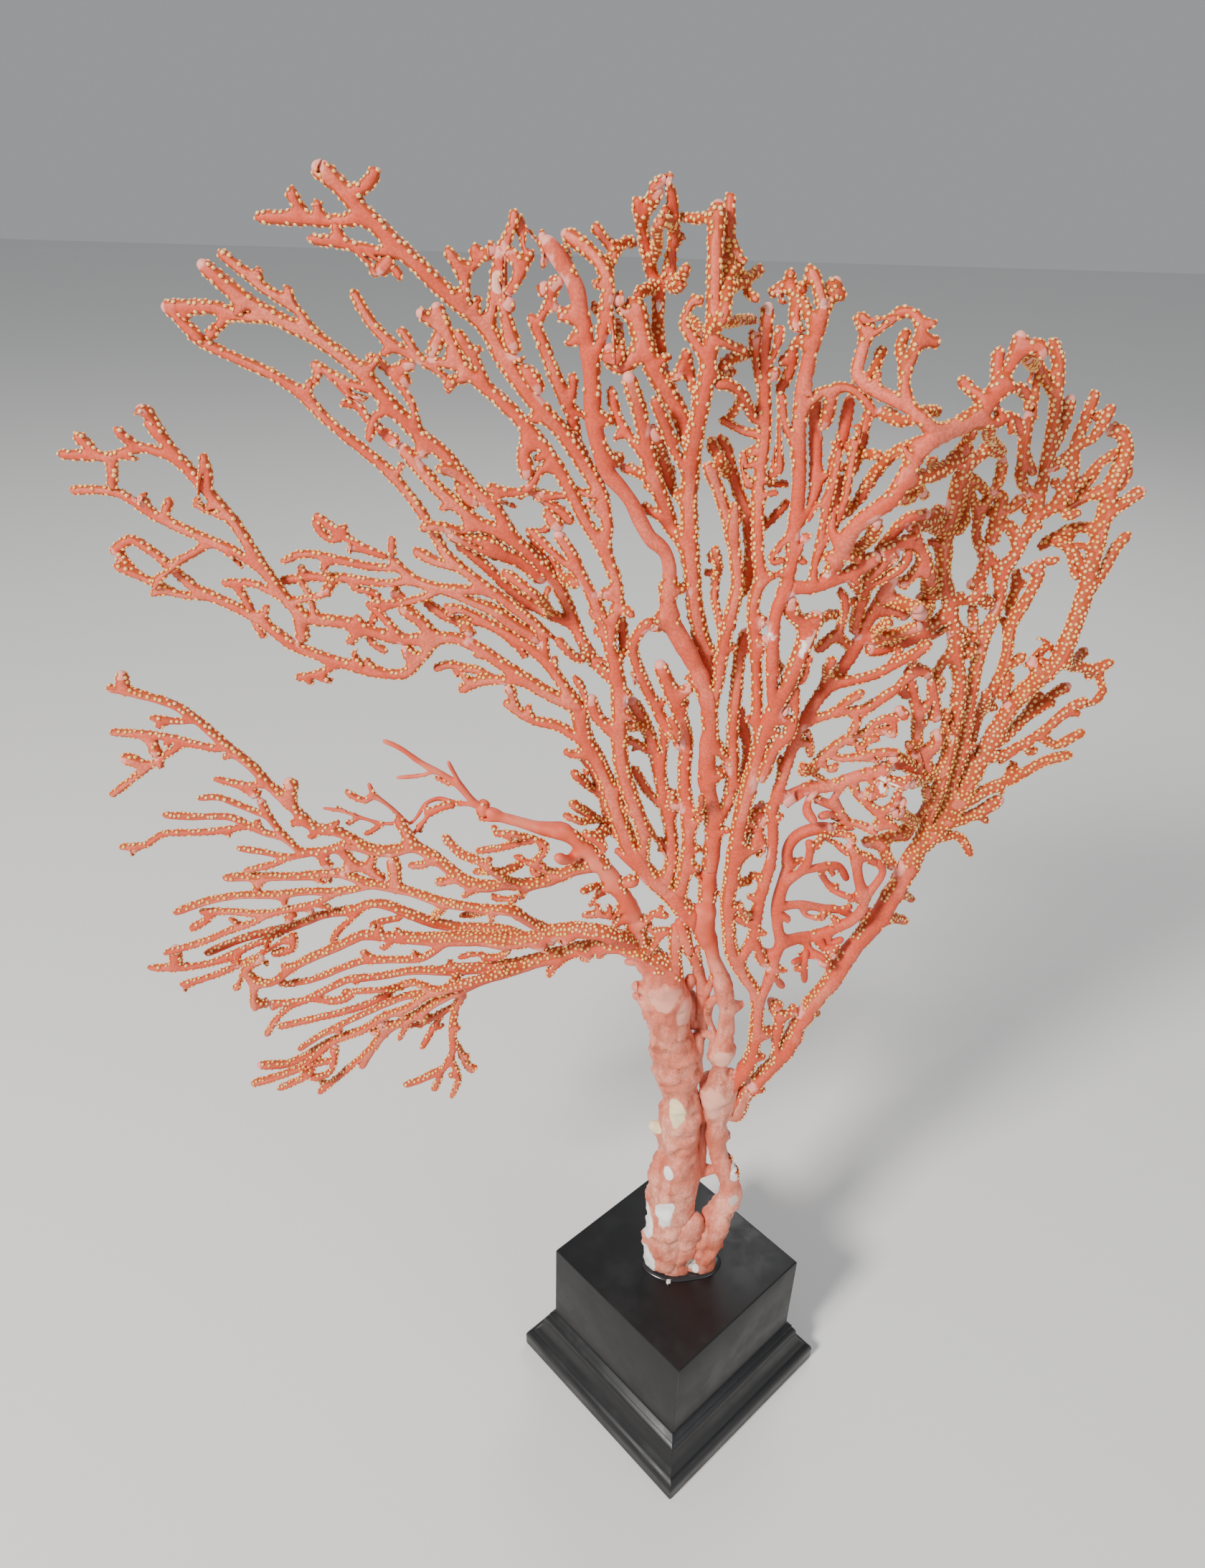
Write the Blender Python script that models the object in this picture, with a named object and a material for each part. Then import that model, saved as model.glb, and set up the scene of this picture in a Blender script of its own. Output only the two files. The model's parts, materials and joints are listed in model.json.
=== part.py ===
# Sea fan standing on a square black plinth.
# Millimetres in the driving dimensions, metres in the model; +Z up, the front faces -Y.
# The origin is the centre of the plinth's underside.
import math

import bmesh
import bpy
import numpy as np

MM = 0.001

# Plinth: half widths and heights from the underside up, and its turn about Z.
PLINTH_TURN = 43.72
PLINTH_PROFILE = (
    (40.4, 0.0),
    (40.9, 0.5),
    (40.9, 4.5),
    (40.6, 7.2),
    (38.6, 8.6),
    (38.2, 9.5),
    (36.9, 11.2),
    (36.3, 13.0),
    (35.6, 15.5),
    (35.5, 17.4),
    (33.8, 19.0),
    (34.2, 19.9),
    (32.5, 21.5),
    (32.5, 59.1),
    (31.9, 59.7),
)
PLINTH_TOP = PLINTH_PROFILE[-1][1]

# The fan was laid out by eye on an upright plane; a strand at another depth lies on the same
# line of sight, so its width and height follow from its depth.
EYE = np.array((-33.3, -272.5, 431.7))
FOOT_DEPTH = -4.0
FOOT_BLEND = 50.0
FOOT_GAP = 0.3

STEP = 3.0  # spacing of the points along a strand
ROOM = 1.2  # clearance between neighbouring strands
ROUNDS = 70  # passes of the spacing
FORK_NEAR = 3.0  # a strand may touch its parent this close to its fork
FORK_REACH = 16.0  # and has its full clearance this far past it
MOST_SHIFT = 10.0
PATH_ERROR = 1.1  # how far a solid strand may leave its path
SHORTEST = 14.0  # twigs under this length are not solids here
STEM_SIDES = 8
LIMB_SIDES = 4
STEM_GROW = 1.06  # corner radius of a ring, over the strand's own radius
LIMB_GROW = 1.13
STEM_FLAT = 0.85
TIP_SCALE = 0.8
JOINT_GAP = 0.3
FORK_ROOM = 0.15  # room that ends the stretch where a fork still touches its parent
PARENT_SPAN = 22.0  # how far that stretch is looked for along a fork
SIBLING_SPAN = 16.0
SIBLING_NEAR = 3.5
SIBLING_ROOTS = 6.0
LEAVE_LIMB = 1.08  # a fork has left its parent past the two radii scaled by this
LEAVE_STEM = 0.95
LEAVE_GAP = 0.3
FORK_BIAS = 0.55  # the fork's face lies between its root and the point where it leaves
FORK_HALF = 0.85  # half of that face's height, over the fork's radius
FORK_LEAN = 0.4
CUT_AFTER = 1.3
RING_ROOM = 0.25
SHIFT_BLUR = 2.2
ROOT_BLEND = 10.0

CORAL_RED = (0.62, 0.125, 0.062, 1.0)
CORAL_PALE = (0.76, 0.33, 0.22, 1.0)
BLACK_PAINT = (0.012, 0.012, 0.013, 1.0)

# Each strand: name, parent, depth of its tip, radius at its root and tip, and its path as
# across,up or across,up,radius.
STRANDS = (
    ("main", None, 0, 8, 2.8,
     "-5.2,54.5,6.8 -5.1,60,7.3 -4.8,66,7.8 -4.6,72,8.1 -4,80,8.3 -4,91,8.8 -3.5,101,8.7 -3,110,8.1 "
     "-2.8,118,7 -3.4,127,7.3 -3.1,135,7.5 -3,143,6.3 -4.8,150,6.1 -5.5,158,7.8 -6.9,166,7.4 "
     "-9.2,175,6.9 -10,183,7 -11,190,6.6 -12,196,6 -14,201,5.4 -20,207,4.8 -21.5,214,4.1 -23,221,3.5 "
     "-26,229,3.2 -30,235,3.2 -33,240,3.1 -37,245,2.9 -41,249,2.8 -45,252,3.3 -51,252,2.4 -56,254,2.2 "
     "-62,255.5,2 -67,258,2.3"),
    ("side", None, -1, 4.6, 2.2,
     "8.1,54.5,5.4 9.1,60,5.4 9.9,66,5.5 10.3,72,5.6 12.2,80,5.9 15.2,88,5.3 17.9,95,4.4 16.7,103,4 "
     "13.7,111,3.7 10.8,119,3.3 9.8,127,3.3 9.6,134,3.7 9,141,4.6 8.8,148,5.2 9,154,3.4 8.6,160,3 "
     "8.4,166,4.6 9,172,3.3 9.6,178,3 9,184,3 7.6,190,2.9 7,195,3.8 5,200,3.2 3,205,2.6 2,210,3 "
     "-0.3,214.5,4.2 -0.8,221,3.5 -0.8,228,3.4 -0.8,238,3 -0.5,248,3 -1,257,3 -3.5,268,3 -4.5,277,3 "
     "-4,286,3 -5,295,3 -8,302.5,3 -11,308.5,3 -14,313.5,3 -17,318,3 -18,325,2.4 -17.5,332,2.3 "
     "-19,337.5,2.3 -23,339.5,2.3 -26,344.5,2.3 -28,349.5,2.2 -32,354,2.2 -35.5,357,2.2 -37,364,2.6 "
     "-38.3,371,2.6 -38.5,379,2.5 -40,386,2.4 -41,392,2.4 -42.5,398,2.3 -46,403,2.3 -50,408,2.2"),
    ("is", "main", 1, 2.6, 2.3, "-3,155 -0.2,161 0.9,172 1.3,182 0.4,193 -2,203 -4.4,209.5"),
    ("kn1", "main", -1, 2.4, 2.2, "-11,190 -17,193 -22.5,193"),
    ("kn2", "main", 1, 1.8, 1.8, "-10,184 -17,188.5 -22,189.5"),
    ("kn3", "main", 0, 2, 1.9, "-3.4,127 -9,129 -14,130"),
    ("kn4", "main", 0, 1.5, 1.5, "-18,203 -21,203.5 -25,203"),
    ("K", "main", -1, 2.5, 1.3,
     "-33,240,2.5 -38,239.5,2.5 -42,237.5,2.4 -46,235,2.4 -51,232.5,2.4 -57,231.5,2.3 -62,232,2.3 "
     "-67,230.5,2.3 -72,231,2.3 -76,234.5,2.2 -80,239,2.2 -85,243,2.1 -89,245,2.1 -94,242.5,2.1 "
     "-100,242.5,2.1 -108,245,2 -114,242,1.4 -122,241,1.4 -126,246,1.3 -130,253,1.3 -132,260,1.3"),
    ("J", "K", 0, 2, 1.4,
     "-99,242.5 -105,246.5 -111,249.5 -117,249.5 -121,255 -127,262 -133,271 -139,277 -146,285 -152,290 "
     "-160,292 -169,294"),
    ("J3", "J", 2, 1.3, 1.2, "-137,275 -144,276 -155,279 -163,280 -171,280"),
    ("J3a", "J3", -1, 1.2, 1.1, "-150,277.5 -157,273 -165,267 -170,263 -175,259"),
    ("J2", "J", -2, 1.2, 1.1, "-145,284 -152,284 -159,285"),
    ("J8", "K", 1, 1.3, 1.2, "-126,246 -133,248 -142,254 -150,252.5 -161,253"),
    ("J9", "J8", -1, 1.2, 1.1, "-135,249 -142,249 -150,247 -162,247 -168,242 -176,241"),
    ("J7", "K", -1, 1.1, 1.1, "-130,253 -137,257 -144,260 -150,259"),
    ("J5", "J", 1, 1.2, 1.1, "-129,265 -135,263.5 -144,266"),
    ("L1", "K", 1, 1.2, 1.1, "-119,241 -126,239 -133,241 -141,242"),
    ("L2", "L1", 0, 1.2, 1.1, "-126,239 -131,236 -140,234"),
    ("S1", "M", 1, 2, 1.5,
     "-50,214 -55,218 -60,222 -67,222 -75,223 -82,224.5 -90,228 -96,229 -104,231 -112,235 -118,233 "
     "-128,232 -138,232 -147,231"),
    ("Kc", "K", 1, 1.5, 1.6, "-60,232 -65,236 -69,240 -74,241.5 -77,245 -79.5,249"),
    ("Kd", "Kc", -1, 1.2, 1.2, "-66,237 -71,236"),
    ("Kb", "K", -2, 1.6, 1.2,
     "-44,236 -50,237.5 -54,240 -50,243 -48.5,246 -51,248.5 -56,247.5 -62,245 -70,243.5"),
    ("Kb2", "Kb", -2, 1.2, 1.3, "-53,248 -60,250.5 -66,249.5 -64,253"),
    ("Kb3", "Kb", -1, 1.1, 1.1, "-51,238 -56,241.5 -59,242"),
    ("S1a", "S1", -1, 1.5, 1.3, "-58,220.5 -61,225 -58,227.5"),
    ("S1b", "S1a", 1, 1.2, 1.2, "-60.5,224 -63,226.5 -66,227"),
    ("S1c", "S1", 1, 1.1, 1.1, "-66,222 -71,220 -76,219.5"),
    ("L3", "S1", 0, 1.4, 1.4, "-100,230 -107,228 -114,227 -122,227 -132,225 -143,225 -153,222.5 -164,217"),
    ("L4", "L3", 1, 1.3, 1.2, "-112,227.5 -119,222.5 -127,220 -137,217.5 -147,218.5 -156,218"),
    ("L4b", "L4", -1, 1.2, 1.2, "-132,218.5 -140,214 -148,211 -156,206 -163,203.5 -170,201"),
    ("S2", "M", 3, 2.2, 1.4,
     "-45,215 -52,213.5 -60,214 -68,215 -76,214.5 -84,216 -90,218 -95,222 -102,224 -106,221 -112,219.5 "
     "-118,218.5 -125,214 -132,212 -142,209 -150,205 -157,201"),
    ("L5a", "S2", 1, 1.2, 1.2, "-130,212.5 -138,207 -146,203 -154,198 -163,195 -176,195"),
    ("L5b", "L5a", -1, 1.1, 1.2, "-133,210.5 -139,201.5 -147,197 -156,192 -167,188"),
    ("L6a", "S2", -1, 1.2, 1.3, "-104,222.5 -110,216 -115,212 -116,206"),
    ("M", "main", -3, 3.4, 1.4,
     "-21,210,3.4 -27,212.5,3.3 -33,214.5,3.3 -39,215.5,3.2 -45,215,3.1 -52,211.5,3 -60,209.5,3 "
     "-68,210.5,2.9 -76,210.5,2.8 -84,210,2.7 -92,209.5,2.1 -100,210.5,2 -107,211,2 -112,207,1.9 "
     "-119,203.5,1.8 -126,199.5,1.7 -132,195,1.7 -137,189.5,1.6 -142,190.5,1.5 -144,185,1.5 "
     "-144,178,1.4"),
    ("L8", "M", 1, 1.5, 1.3, "-79,210 -84,205 -89,201.5 -98,201 -107,200.5 -115,197 -122,192 -132,190"),
    ("N", "main", 0, 3.2, 1.3,
     "-13.5,199,3.4 -20.5,206.5,3.4 -26,209.5,3.2 -32,209.5,3 -38,208,2.9 -44,206,2.8 -50,203.5,2.7 "
     "-56,201,2.6 -62,200,2.5 -70,199,2.4 -78,197.5,2.2 -86,197,1.5 -94,197,1.5 -101,194,1.4 "
     "-112,193,1.4 -120,188,1.4 -128,182.5,1.3 -140,181,1.3"),
    ("L9b", "N", 1, 1.2, 1.1, "-126,184 -135,179 -139,173 -142,167"),
    ("N2", "N", -1, 2.2, 1.2,
     "-52,202.5,2.2 -60,198,2.1 -66,195.5,2 -73,193,2 -80,190,1.9 -87,187.5,1.8 -94,186.5,1.4 "
     "-99,184.5,1.4 -104,181,1.3 -112,176,1.3 -121,170,1.3 -127,166,1.2 -132,161,1.2"),
    ("L10", "N2", 0, 1.4, 1.3, "-84,189 -92,192.5 -99,189 -105,183 -114,179 -126,175 -138,171"),
    ("L10b", "L10", 1, 1.2, 1.1, "-95,191 -101,188.5 -107,188 -115,187"),
    ("L12", "N2", 1, 1.4, 1.8,
     "-83,188.5 -90,183.5 -97,179.5 -103,177.5 -108,171 -116,168.5 -123,163.5 -131,157.5 -137,154 "
     "-147,153.5"),
    ("L12b", "L12", -1, 1.3, 1.5, "-118,167.5 -124,160 -131,154 -138,149.5 -144,147 -150,144.5"),
    ("L12c", "L12b", 0, 1.2, 1.3, "-127,157 -127,151 -133,147.5 -141,142.5"),
    ("N3", "N2", 0, 1.8, 1.8,
     "-66,195.5 -73,191 -79,188 -84,185 -89,180.5 -95,175.5 -101,172.5 -105,166.5 -109,160 -112,153.5"),
    ("L13b", "N3", 1, 1.2, 1.3, "-106,164 -112,158.5 -117,152 -122,147 -127.5,141"),
    ("L13c", "N3", -1, 1.1, 1.1, "-92,178 -96,172 -98,167"),
    ("N4", "N3", -1, 1.5, 1.4,
     "-74,190.5 -78,184 -80,177 -80.5,170 -80,164 -82,158 -84,154 -88,152 -93,148 -98,146"),
    ("N4a", "N4", 1, 1.2, 1.2, "-80.3,171 -78,163 -77,158 -74,153"),
    ("N4b", "N4", -1, 1.2, 1.1, "-81,160 -79.5,153 -79,148 -82,141"),
    ("N4c", "N4", 1, 1.2, 1.3, "-84,154 -86,149 -88,144"),
    ("N4d", "N4", 1, 1.1, 1.1, "-78,184 -83,180 -89,175 -92,173"),
    ("N4e", "N4d", -1, 1.1, 1.1, "-81,181.5 -86,174 -91,163"),
    ("tw1", "N", -1, 1.5, 1.9, "-33,210 -36.5,206.5 -38,202.5"),
    ("tw2", "N", 1, 1.4, 1.6, "-40,207.5 -45,203 -48,199.5 -48.5,196"),
    ("cu1", "M", -1, 1.2, 1.3, "-56,210.5 -61,205.5 -65,202.8 -70,203"),
    ("cu2", "cu1", -1, 1.1, 1, "-68,202.9 -72,205 -77,202.5"),
    ("tw3", "main", -5, 1.4, 1.2, "-24,223 -28,220.5 -33,221.5 -38.5,221"),
    ("tw4", "main", -2, 1.3, 1.3, "-28,232.5 -33,233 -35,229 -36,224.5"),
    ("tw5", "tw4", -1, 1.2, 1.4, "-33,233 -36,231.5 -39,229.5"),
    ("dr1", "main", 0, 1.5, 0.8, "-64,256.5 -70,260 -74,266 -80,270.5 -85,273 -90,278 -95,280"),
    ("dr2", "dr1", 1, 1, 0.7, "-70,260 -76,260 -80,262 -85,260 -83,256 -89,248"),
    ("dr3", "dr2", 0, 0.8, 0.7, "-84,259.5 -89,251.5 -93,257 -99,262 -100,266"),
    ("dr4", "dr3", 1, 0.7, 0.6, "-90,253 -97,252 -104,254.5 -110,257 -114,257"),
    ("dr5", "dr1", -1, 0.8, 0.7, "-73,264.5 -75.5,270 -77,274"),
    ("dr6", "dr1", -1, 0.7, 0.7, "-80,270.5 -86,268.5 -92,268"),
    ("dr7", "main", 1, 1.2, 1.1, "-60,255 -67,256 -69,254.5"),
    ("A1", "CL", 1, 1.9, 1.8, "-25,247 -30,252 -32,260 -34,268 -37,275 -41,279"),
    ("a1t", "A1", -1, 1.5, 1.6, "-30,252 -35,256.5 -39,259 -42.5,261.5"),
    ("a1u", "A1", 1, 1.4, 1.3, "-32,260 -36,266 -40,269.5 -42,272"),
    ("a1v", "a1t", 0, 1.3, 1.2, "-33,254.5 -38,254.5 -41,255.5 -44.5,257.5"),
    ("a1w", "CL", -1, 1.4, 1.3, "-37,278.5 -41,276.5 -44.5,278.5"),
    ("dead1", "main", -1, 1.6, 2, "-38,246 -41,242.5 -43,240.5 -46.5,242.5"),
    ("dead2", "CL", 1, 1.3, 1.3, "-22,241 -26,242.5 -29,246"),
    ("A3", "CL", -1, 2.8, 1.8,
     "-17,234.5,2.8 -18.3,241,2.8 -20,248,2.7 -22,256,2.7 -25,264,2.7 -28,272,2.7 -29,280,2.6 "
     "-29,288,2.6 -29.5,295,2.6 -30,301,2.6 -32,309,2 -34.5,317,1.9 -37,324,1.9 -40.5,330,1.9 "
     "-43,336,1.8 -47,341.5,1.8"),
    ("A4", "A5", 1, 1.7, 1.4, "-13.5,254 -17,260 -20.5,266 -25,274"),
    ("a4k", "A5", 0, 1.3, 1.3, "-12,245 -15.5,248 -17.5,250.5"),
    ("A5", "CL", 1, 2.4, 2,
     "-12.5,230.5 -12.3,238 -12.2,246 -12.8,251 -14,257 -16,266 -18,275 -20,283 -23,290 -26.5,295.5"),
    ("A5b", "A5", -1, 1.9, 1.7,
     "-16,266 -16,274 -16.5,282 -17,288.5 -20,294 -23,300 -25,305 -27,310 -25,315 -21.5,318.5"),
    ("a5c", "A5", 0, 1.3, 1.3, "-18,275 -22,280 -25,282 -28,282.5"),
    ("a5d", "A5b", -1, 1.2, 1.2, "-16.8,287 -13.5,281.5 -12.5,285 -15.5,290"),
    ("A6", "CL", 0, 2.6, 2.3,
     "-9,226 -8.6,233 -7.8,241 -7.5,249 -8.2,257 -10,265 -11,274 -10,282 -12,289 -14.5,295 -17,301 "
     "-19.5,307"),
    ("CL", "side", -1, 3.6, 1.6,
     "-1,214.5,3.5 -6,220.5,3.6 -6,222,3.5 -9,226.5,3.5 -13,231,3.4 -18,235,3.4 -22,241,3.3 "
     "-25,247,3.2 -28,256,3.1 -31,265,3 -34,274,2.9 -38,281,2.8 -40,288,2.8 -41,293,2.7 -47,295,2.2 "
     "-52,298,2.2 -57,301.5,2.1 -62,305,2 -67,309,2 -73,312,1.9 -80,311,1.8 -88,310.5,2 -96,313,1.9 "
     "-104,315.5,1.9 -112,315.5,1.9 -117,321,1.8 -122,330,1.8 -127,341,1.7 -134,350,1.7 -140,359,1.6 "
     "-145,366,1.6"),
    ("a7k", "side", 0, 1.3, 1.4, "-6,298 -10,299.5 -11.5,303"),
    ("a6x", "A6", -1, 1.2, 1.2, "-8,256 -4.5,260.5 -5,265"),
    ("A7b", "side", 1, 2.3, 1.8, "-0.8,253 2.5,261 3.5,269 3,277 2,285 2,293 2,301 2,309 3.5,317"),
    ("A7c", "A7b", 1, 1.8, 1.5, "2.8,263 6.3,270 7.2,278 6.2,285 3.8,290.5"),
    ("a7t", "side", 0, 1.2, 1.2, "-18,325 -20,329"),
    ("RR", "side", 0, 2.6, 2,
     "-4.5,291,2.6 -5,299,2.6 -6.5,307,2.6 -9,315,2.6 -11,323,2.6 -12,331,2.6 -13,339,2.6 -14,347,2.6 "
     "-14.2,355,2.6 -14,363,2.6 -13,370,2.6 -12,377,2.3 -11.5,384,2.2 -11,391,2.2 -11.5,398,2.1 "
     "-12,406,2.1 -12,416,2"),
    ("r0", "side", -1, 2.2, 1.8,
     "-4.3,289 -2.5,297 -3,306 -2.2,314 -1,322 0,330 -1.5,337 -4,345 -6.5,352 -10.5,359.5"),
    ("r1", "r0", 1, 1.4, 1.2, "-2.4,311 -4,319 -6.5,325 -5.5,331 -9,332"),
    ("r1b", "r1", 0, 1.1, 1.3, "-6,328.5 -5.3,333.5 -7,338.5"),
    ("r2", "r0", 1, 2, 1.6, "-1,322 2,329 2.5,336 1.5,343 0,349.5 -4,356 -5,362 -8,366"),
    ("r2b", "r2", 0, 1.3, 1.2, "2,338 4.5,343 8,347 10.5,351"),
    ("A3u", "A3", 0, 2.2, 1.9,
     "-29.5,295,2.2 -33,301,2.1 -37,307,2 -40.5,313,1.9 -43,320,1.8 -46,327,2.2 -50,332,2.1 "
     "-55,337,2.1 -61,341,2.1 -67,343,2 -71,347,2 -76,351,2 -80,356,1.9 -85,362,1.9"),
    ("E0", "CL", -1, 1.9, 1.5, "-36,278 -41,284.5 -47,287.5 -53,287.3 -57,290.5 -61,293.5"),
    ("cw1", "CL", -1, 1.6, 1.7, "-54,299.5 -60,299.5 -66,299.8 -70,298 -73,296"),
    ("cw2", "cw1", 1, 1.3, 1.3, "-62,299.7 -67,302.5 -72,303 -76,304.5 -79.5,302"),
    ("E2", "CL", 1, 1.9, 1.5,
     "-40.5,290 -44,297 -48,304 -54,310 -60,313.5 -66,317 -72,316 -77,318.5 -81,322"),
    ("E2b", "E2", 0, 1.3, 1.3, "-64,316 -69.5,318.5 -72,320.5 -76,320"),
    ("e3", "CL", -1, 1.3, 1.3, "-38,287 -37.5,294 -40,299 -42,301.5"),
    ("E4", "E2", 1, 1.8, 1.5,
     "-45,300,1.8 -48.5,309,1.8 -52,316.5,1.7 -58,321,1.7 -64,325.5,1.7 -70,330,1.6 -75,334.5,1.6 "
     "-76,336,1.5 -79,344,1.5 -84,351,1.5 -91,358.5,1.5 -100,365,1.5 -107,373,1.5 -114,378,1.5 "
     "-124,381,1.5 -132,386,1.5"),
    ("E4g", "E4", 0, 1.6, 1.5, "-62,324.5 -69,325 -76,325 -83,327 -89,333"),
    ("G2", "E4g", 1, 1.3, 1.3, "-83,327 -92,326 -100,327.5 -109,327.5 -118,326"),
    ("G1", "E4g", -1, 1.2, 1.2, "-87,330.5 -95,330.5 -103,332.5 -111,334 -117,331"),
    ("G3", "E4g", 1, 1.2, 1.2, "-89,333 -95,335 -101,339 -107,344"),
    ("F1", "E4g", -1, 1.2, 1.2, "-76,325 -82,322 -88,320.5 -95,320.5"),
    ("E4h", "E4", 1, 1.3, 1.7, "-70,330 -76,331.5 -83,335.5"),
    ("e5a", "A3u", -1, 1.4, 1.4, "-66,342.5 -71,340.5 -76,342 -81,341"),
    ("B", "A3u", -1, 2.2, 2,
     "-54,336 -58,342 -62,347 -66,350 -70,355 -74,360 -81,365 -87,372 -93,379 -101,385 -110,389 "
     "-119,394 -127,401"),
    ("B1", "B", 1, 1.5, 1.9, "-108,388 -116,388.5 -125,391.5 -137,391"),
    ("B2", "B", -1, 1.3, 1.3, "-100,384.5 -105,391 -112,395 -122,403"),
    ("B3", "B", 1, 1.2, 1.2, "-88,373.5 -95,375 -104,380"),
    ("B4", "B", -1, 1.2, 1.2, "-86,371 -91,367 -92,362"),
    ("b6", "B", 1, 1.2, 1.2, "-78,363 -81,372 -86,379 -91,382"),
    ("bb", "B", -1, 1.3, 1.3, "-68,352.5 -73,355 -76,356.5"),
    ("D1", "CL", 0, 1.4, 1.3, "-138,356 -147,359.5 -155,356.5 -168,357"),
    ("D2", "CL", 1, 1.5, 1.3, "-120,326 -128,333.5 -137,337.5 -146,341.5 -156,349 -167,348"),
    ("D2b", "D2", -1, 1.2, 1.2, "-133,336 -139,333 -146,329"),
    ("D11", "CL", -1, 1.3, 1.3, "-86,310.5 -91,316 -96,321"),
    ("D6", "CL", 1, 1.2, 1.2, "-117,321 -125,325.5 -133,325"),
    ("D3", "CL", 1, 1.2, 1.2, "-127,341 -132,343.5 -137,346"),
    ("E", "CL", 1, 1.8, 1.5,
     "-78,311 -83,305 -88,299.5 -96,301 -106,304 -117,308 -124,315 -133,320 -140,323 -146,330 -154,337 "
     "-160,332"),
    ("E6", "E", -1, 1.3, 1.2, "-104,303.5 -110,300 -117,298.5"),
    ("E7", "E", -1, 1.3, 1.2, "-136,321.5 -145,321 -153,326 -160,329"),
    ("e7", "A3u", 1, 1.7, 1.5, "-41,315 -47,318.5 -53,321.5 -58,325 -63,330 -68,335 -72,337.5"),
    ("e7t", "e7", 0, 1.3, 1.5, "-46,318 -52,324 -56,327.5 -60.5,330.5"),
    ("e9", "A3u", 1, 1.4, 1.5, "-46,327 -48,333 -51,338 -54,342"),
    ("a3t", "A3u", -1, 1.4, 1.5, "-36,305.5 -42,307 -44.5,309.5 -46.5,312.5"),
    ("b1x", "A3", -1, 1.2, 1.2, "-34,316 -38,321"),
    ("b2", "A3", 0, 1.5, 1.3, "-29.8,298 -28.5,306 -29,313 -29.5,319"),
    ("b4", "A3", -1, 2, 2.2,
     "-32,309,2 -32.5,316,2 -30.5,323,2 -31.5,330,2 -35,336,2 -34,343,2 -35,350,2 -38.5,356,2.4 "
     "-42,361.5,2.4 -46,366.5,2.4 -51,371.5,2.3 -56,377,2.3 -60,383,2.3 -62,388,2.3 -66,391.5,2.3 "
     "-72,396,2.3 -78,401.5,2.3 -84,407,2.2 -90,412.5,2.2 -98,421,2.2"),
    ("b4k", "b4", -1, 1.3, 1.3, "-31,321.5 -28,321 -26.5,319"),
    ("b5", "b4", 1, 2, 1.9,
     "-35,336 -39,343 -42,349 -45,355 -49,361 -53,366 -58,371 -64,376 -69,380 -71,385 -73.5,391 "
     "-74.5,394"),
    ("b5a", "b5", -1, 1.4, 1.4, "-47,358 -53,356 -53,351 -58,350.5 -64,352"),
    ("b5b", "b5", 1, 1.4, 1.8, "-72,387.5 -76,391 -79,391.5"),
    ("b5c", "b5", 1, 1.4, 1.4, "-66,378 -72,381 -78,380.5 -84,384 -90,389 -93,396"),
    ("b5d", "b5", -1, 1.4, 1.7, "-66,378 -70,378 -73,375"),
    ("b5e", "b5c", 1, 1.2, 1.2, "-76,380.5 -79,383.5 -83,388"),
    ("u1a", "b4", 1, 1.6, 1.6, "-88,410.5 -95,409.5 -104,410 -113,410"),
    ("u1b", "b4", -1, 1.3, 1.3, "-80,403.5 -88,404 -95,405.5 -102,406"),
    ("u1c", "b4", 1, 1.4, 1.5, "-64,390 -66.5,396 -68.5,401 -71.5,405"),
    ("u1d", "u1c", -1, 1.3, 1.7, "-67,398 -64.5,402.5 -65,406"),
    ("u1e", "b4", -1, 1.5, 1.2, "-62,388 -61,395 -60.5,401 -59,406 -56.5,409 -56,413"),
    ("u1f", "u1e", 1, 1.3, 1.3, "-61,393 -57,396.5 -54.5,401 -52.5,405"),
    ("u1g", "b4", 1, 1.4, 1.4, "-60,385 -56.5,386 -55,381"),
    ("u1h", "b5", 0, 1.4, 1.5, "-61,373.5 -64,379 -67,383.5 -70,388"),
    ("s2", "b4", 1, 2, 1.6, "-40,358.5 -41.5,366 -44.5,373 -48,380 -50.5,387 -53,392"),
    ("s2t", "s2", -1, 1.4, 1.4, "-42,367.5 -42.5,373 -43,379"),
    ("s2u", "s2", 1, 1.3, 1.3, "-52,389.5 -49,394 -46,393"),
    ("s3a", "side", -1, 1.3, 1.4, "-40.5,389 -43.5,388.5 -44,385"),
    ("s3b", "side", 1, 1.2, 1.2, "-44,400.5 -44.5,403.5 -45.5,406"),
    ("s4", "side", -1, 1.9, 1.9, "-38.4,375 -36.5,383 -36,391 -35,398 -37,403.5 -42,407 -46,409"),
    ("s4a", "s4", 1, 1.5, 1.4, "-35.8,399 -34.5,405 -31,408 -29.5,406.8"),
    ("s4b", "s4", -1, 1.3, 1.3, "-36,390 -38.5,394.5"),
    ("s4c", "s4", 1, 1.6, 1.5, "-37,383 -31.5,381.5 -32.5,386 -33,391"),
    ("s4d", "s4a", -1, 1.3, 1.4, "-34.3,404.5 -36.5,408 -39,410.5"),
    ("s6", "RR", -1, 2.4, 2.1, "-13,337 -18,342 -20,349 -23,355.5 -25,362 -26,368 -28,374 -30.5,380"),
    ("s6a", "s6", 1, 1.4, 1.5, "-22,354 -26.5,357 -31.5,358"),
    ("s6b", "s6", 1, 1.5, 1.4, "-24.5,360 -29,364.5 -33,370.5 -34,376.5"),
    ("s6c", "s6", -1, 1.4, 1.5, "-20,345 -24,347.5 -25.5,349"),
    ("s7", "RR", -1, 1.6, 1.6, "-14.2,353 -18,361 -21,368.5 -24,374.5"),
    ("s7b", "RR", 1, 1.5, 1.4, "-14.1,350 -18.5,352 -19.5,359"),
    ("s8", "RR", 0, 2.6, 2.8, "-14,363 -17.5,371 -22,377 -25.5,383 -28,389.5 -30,396.5"),
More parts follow.
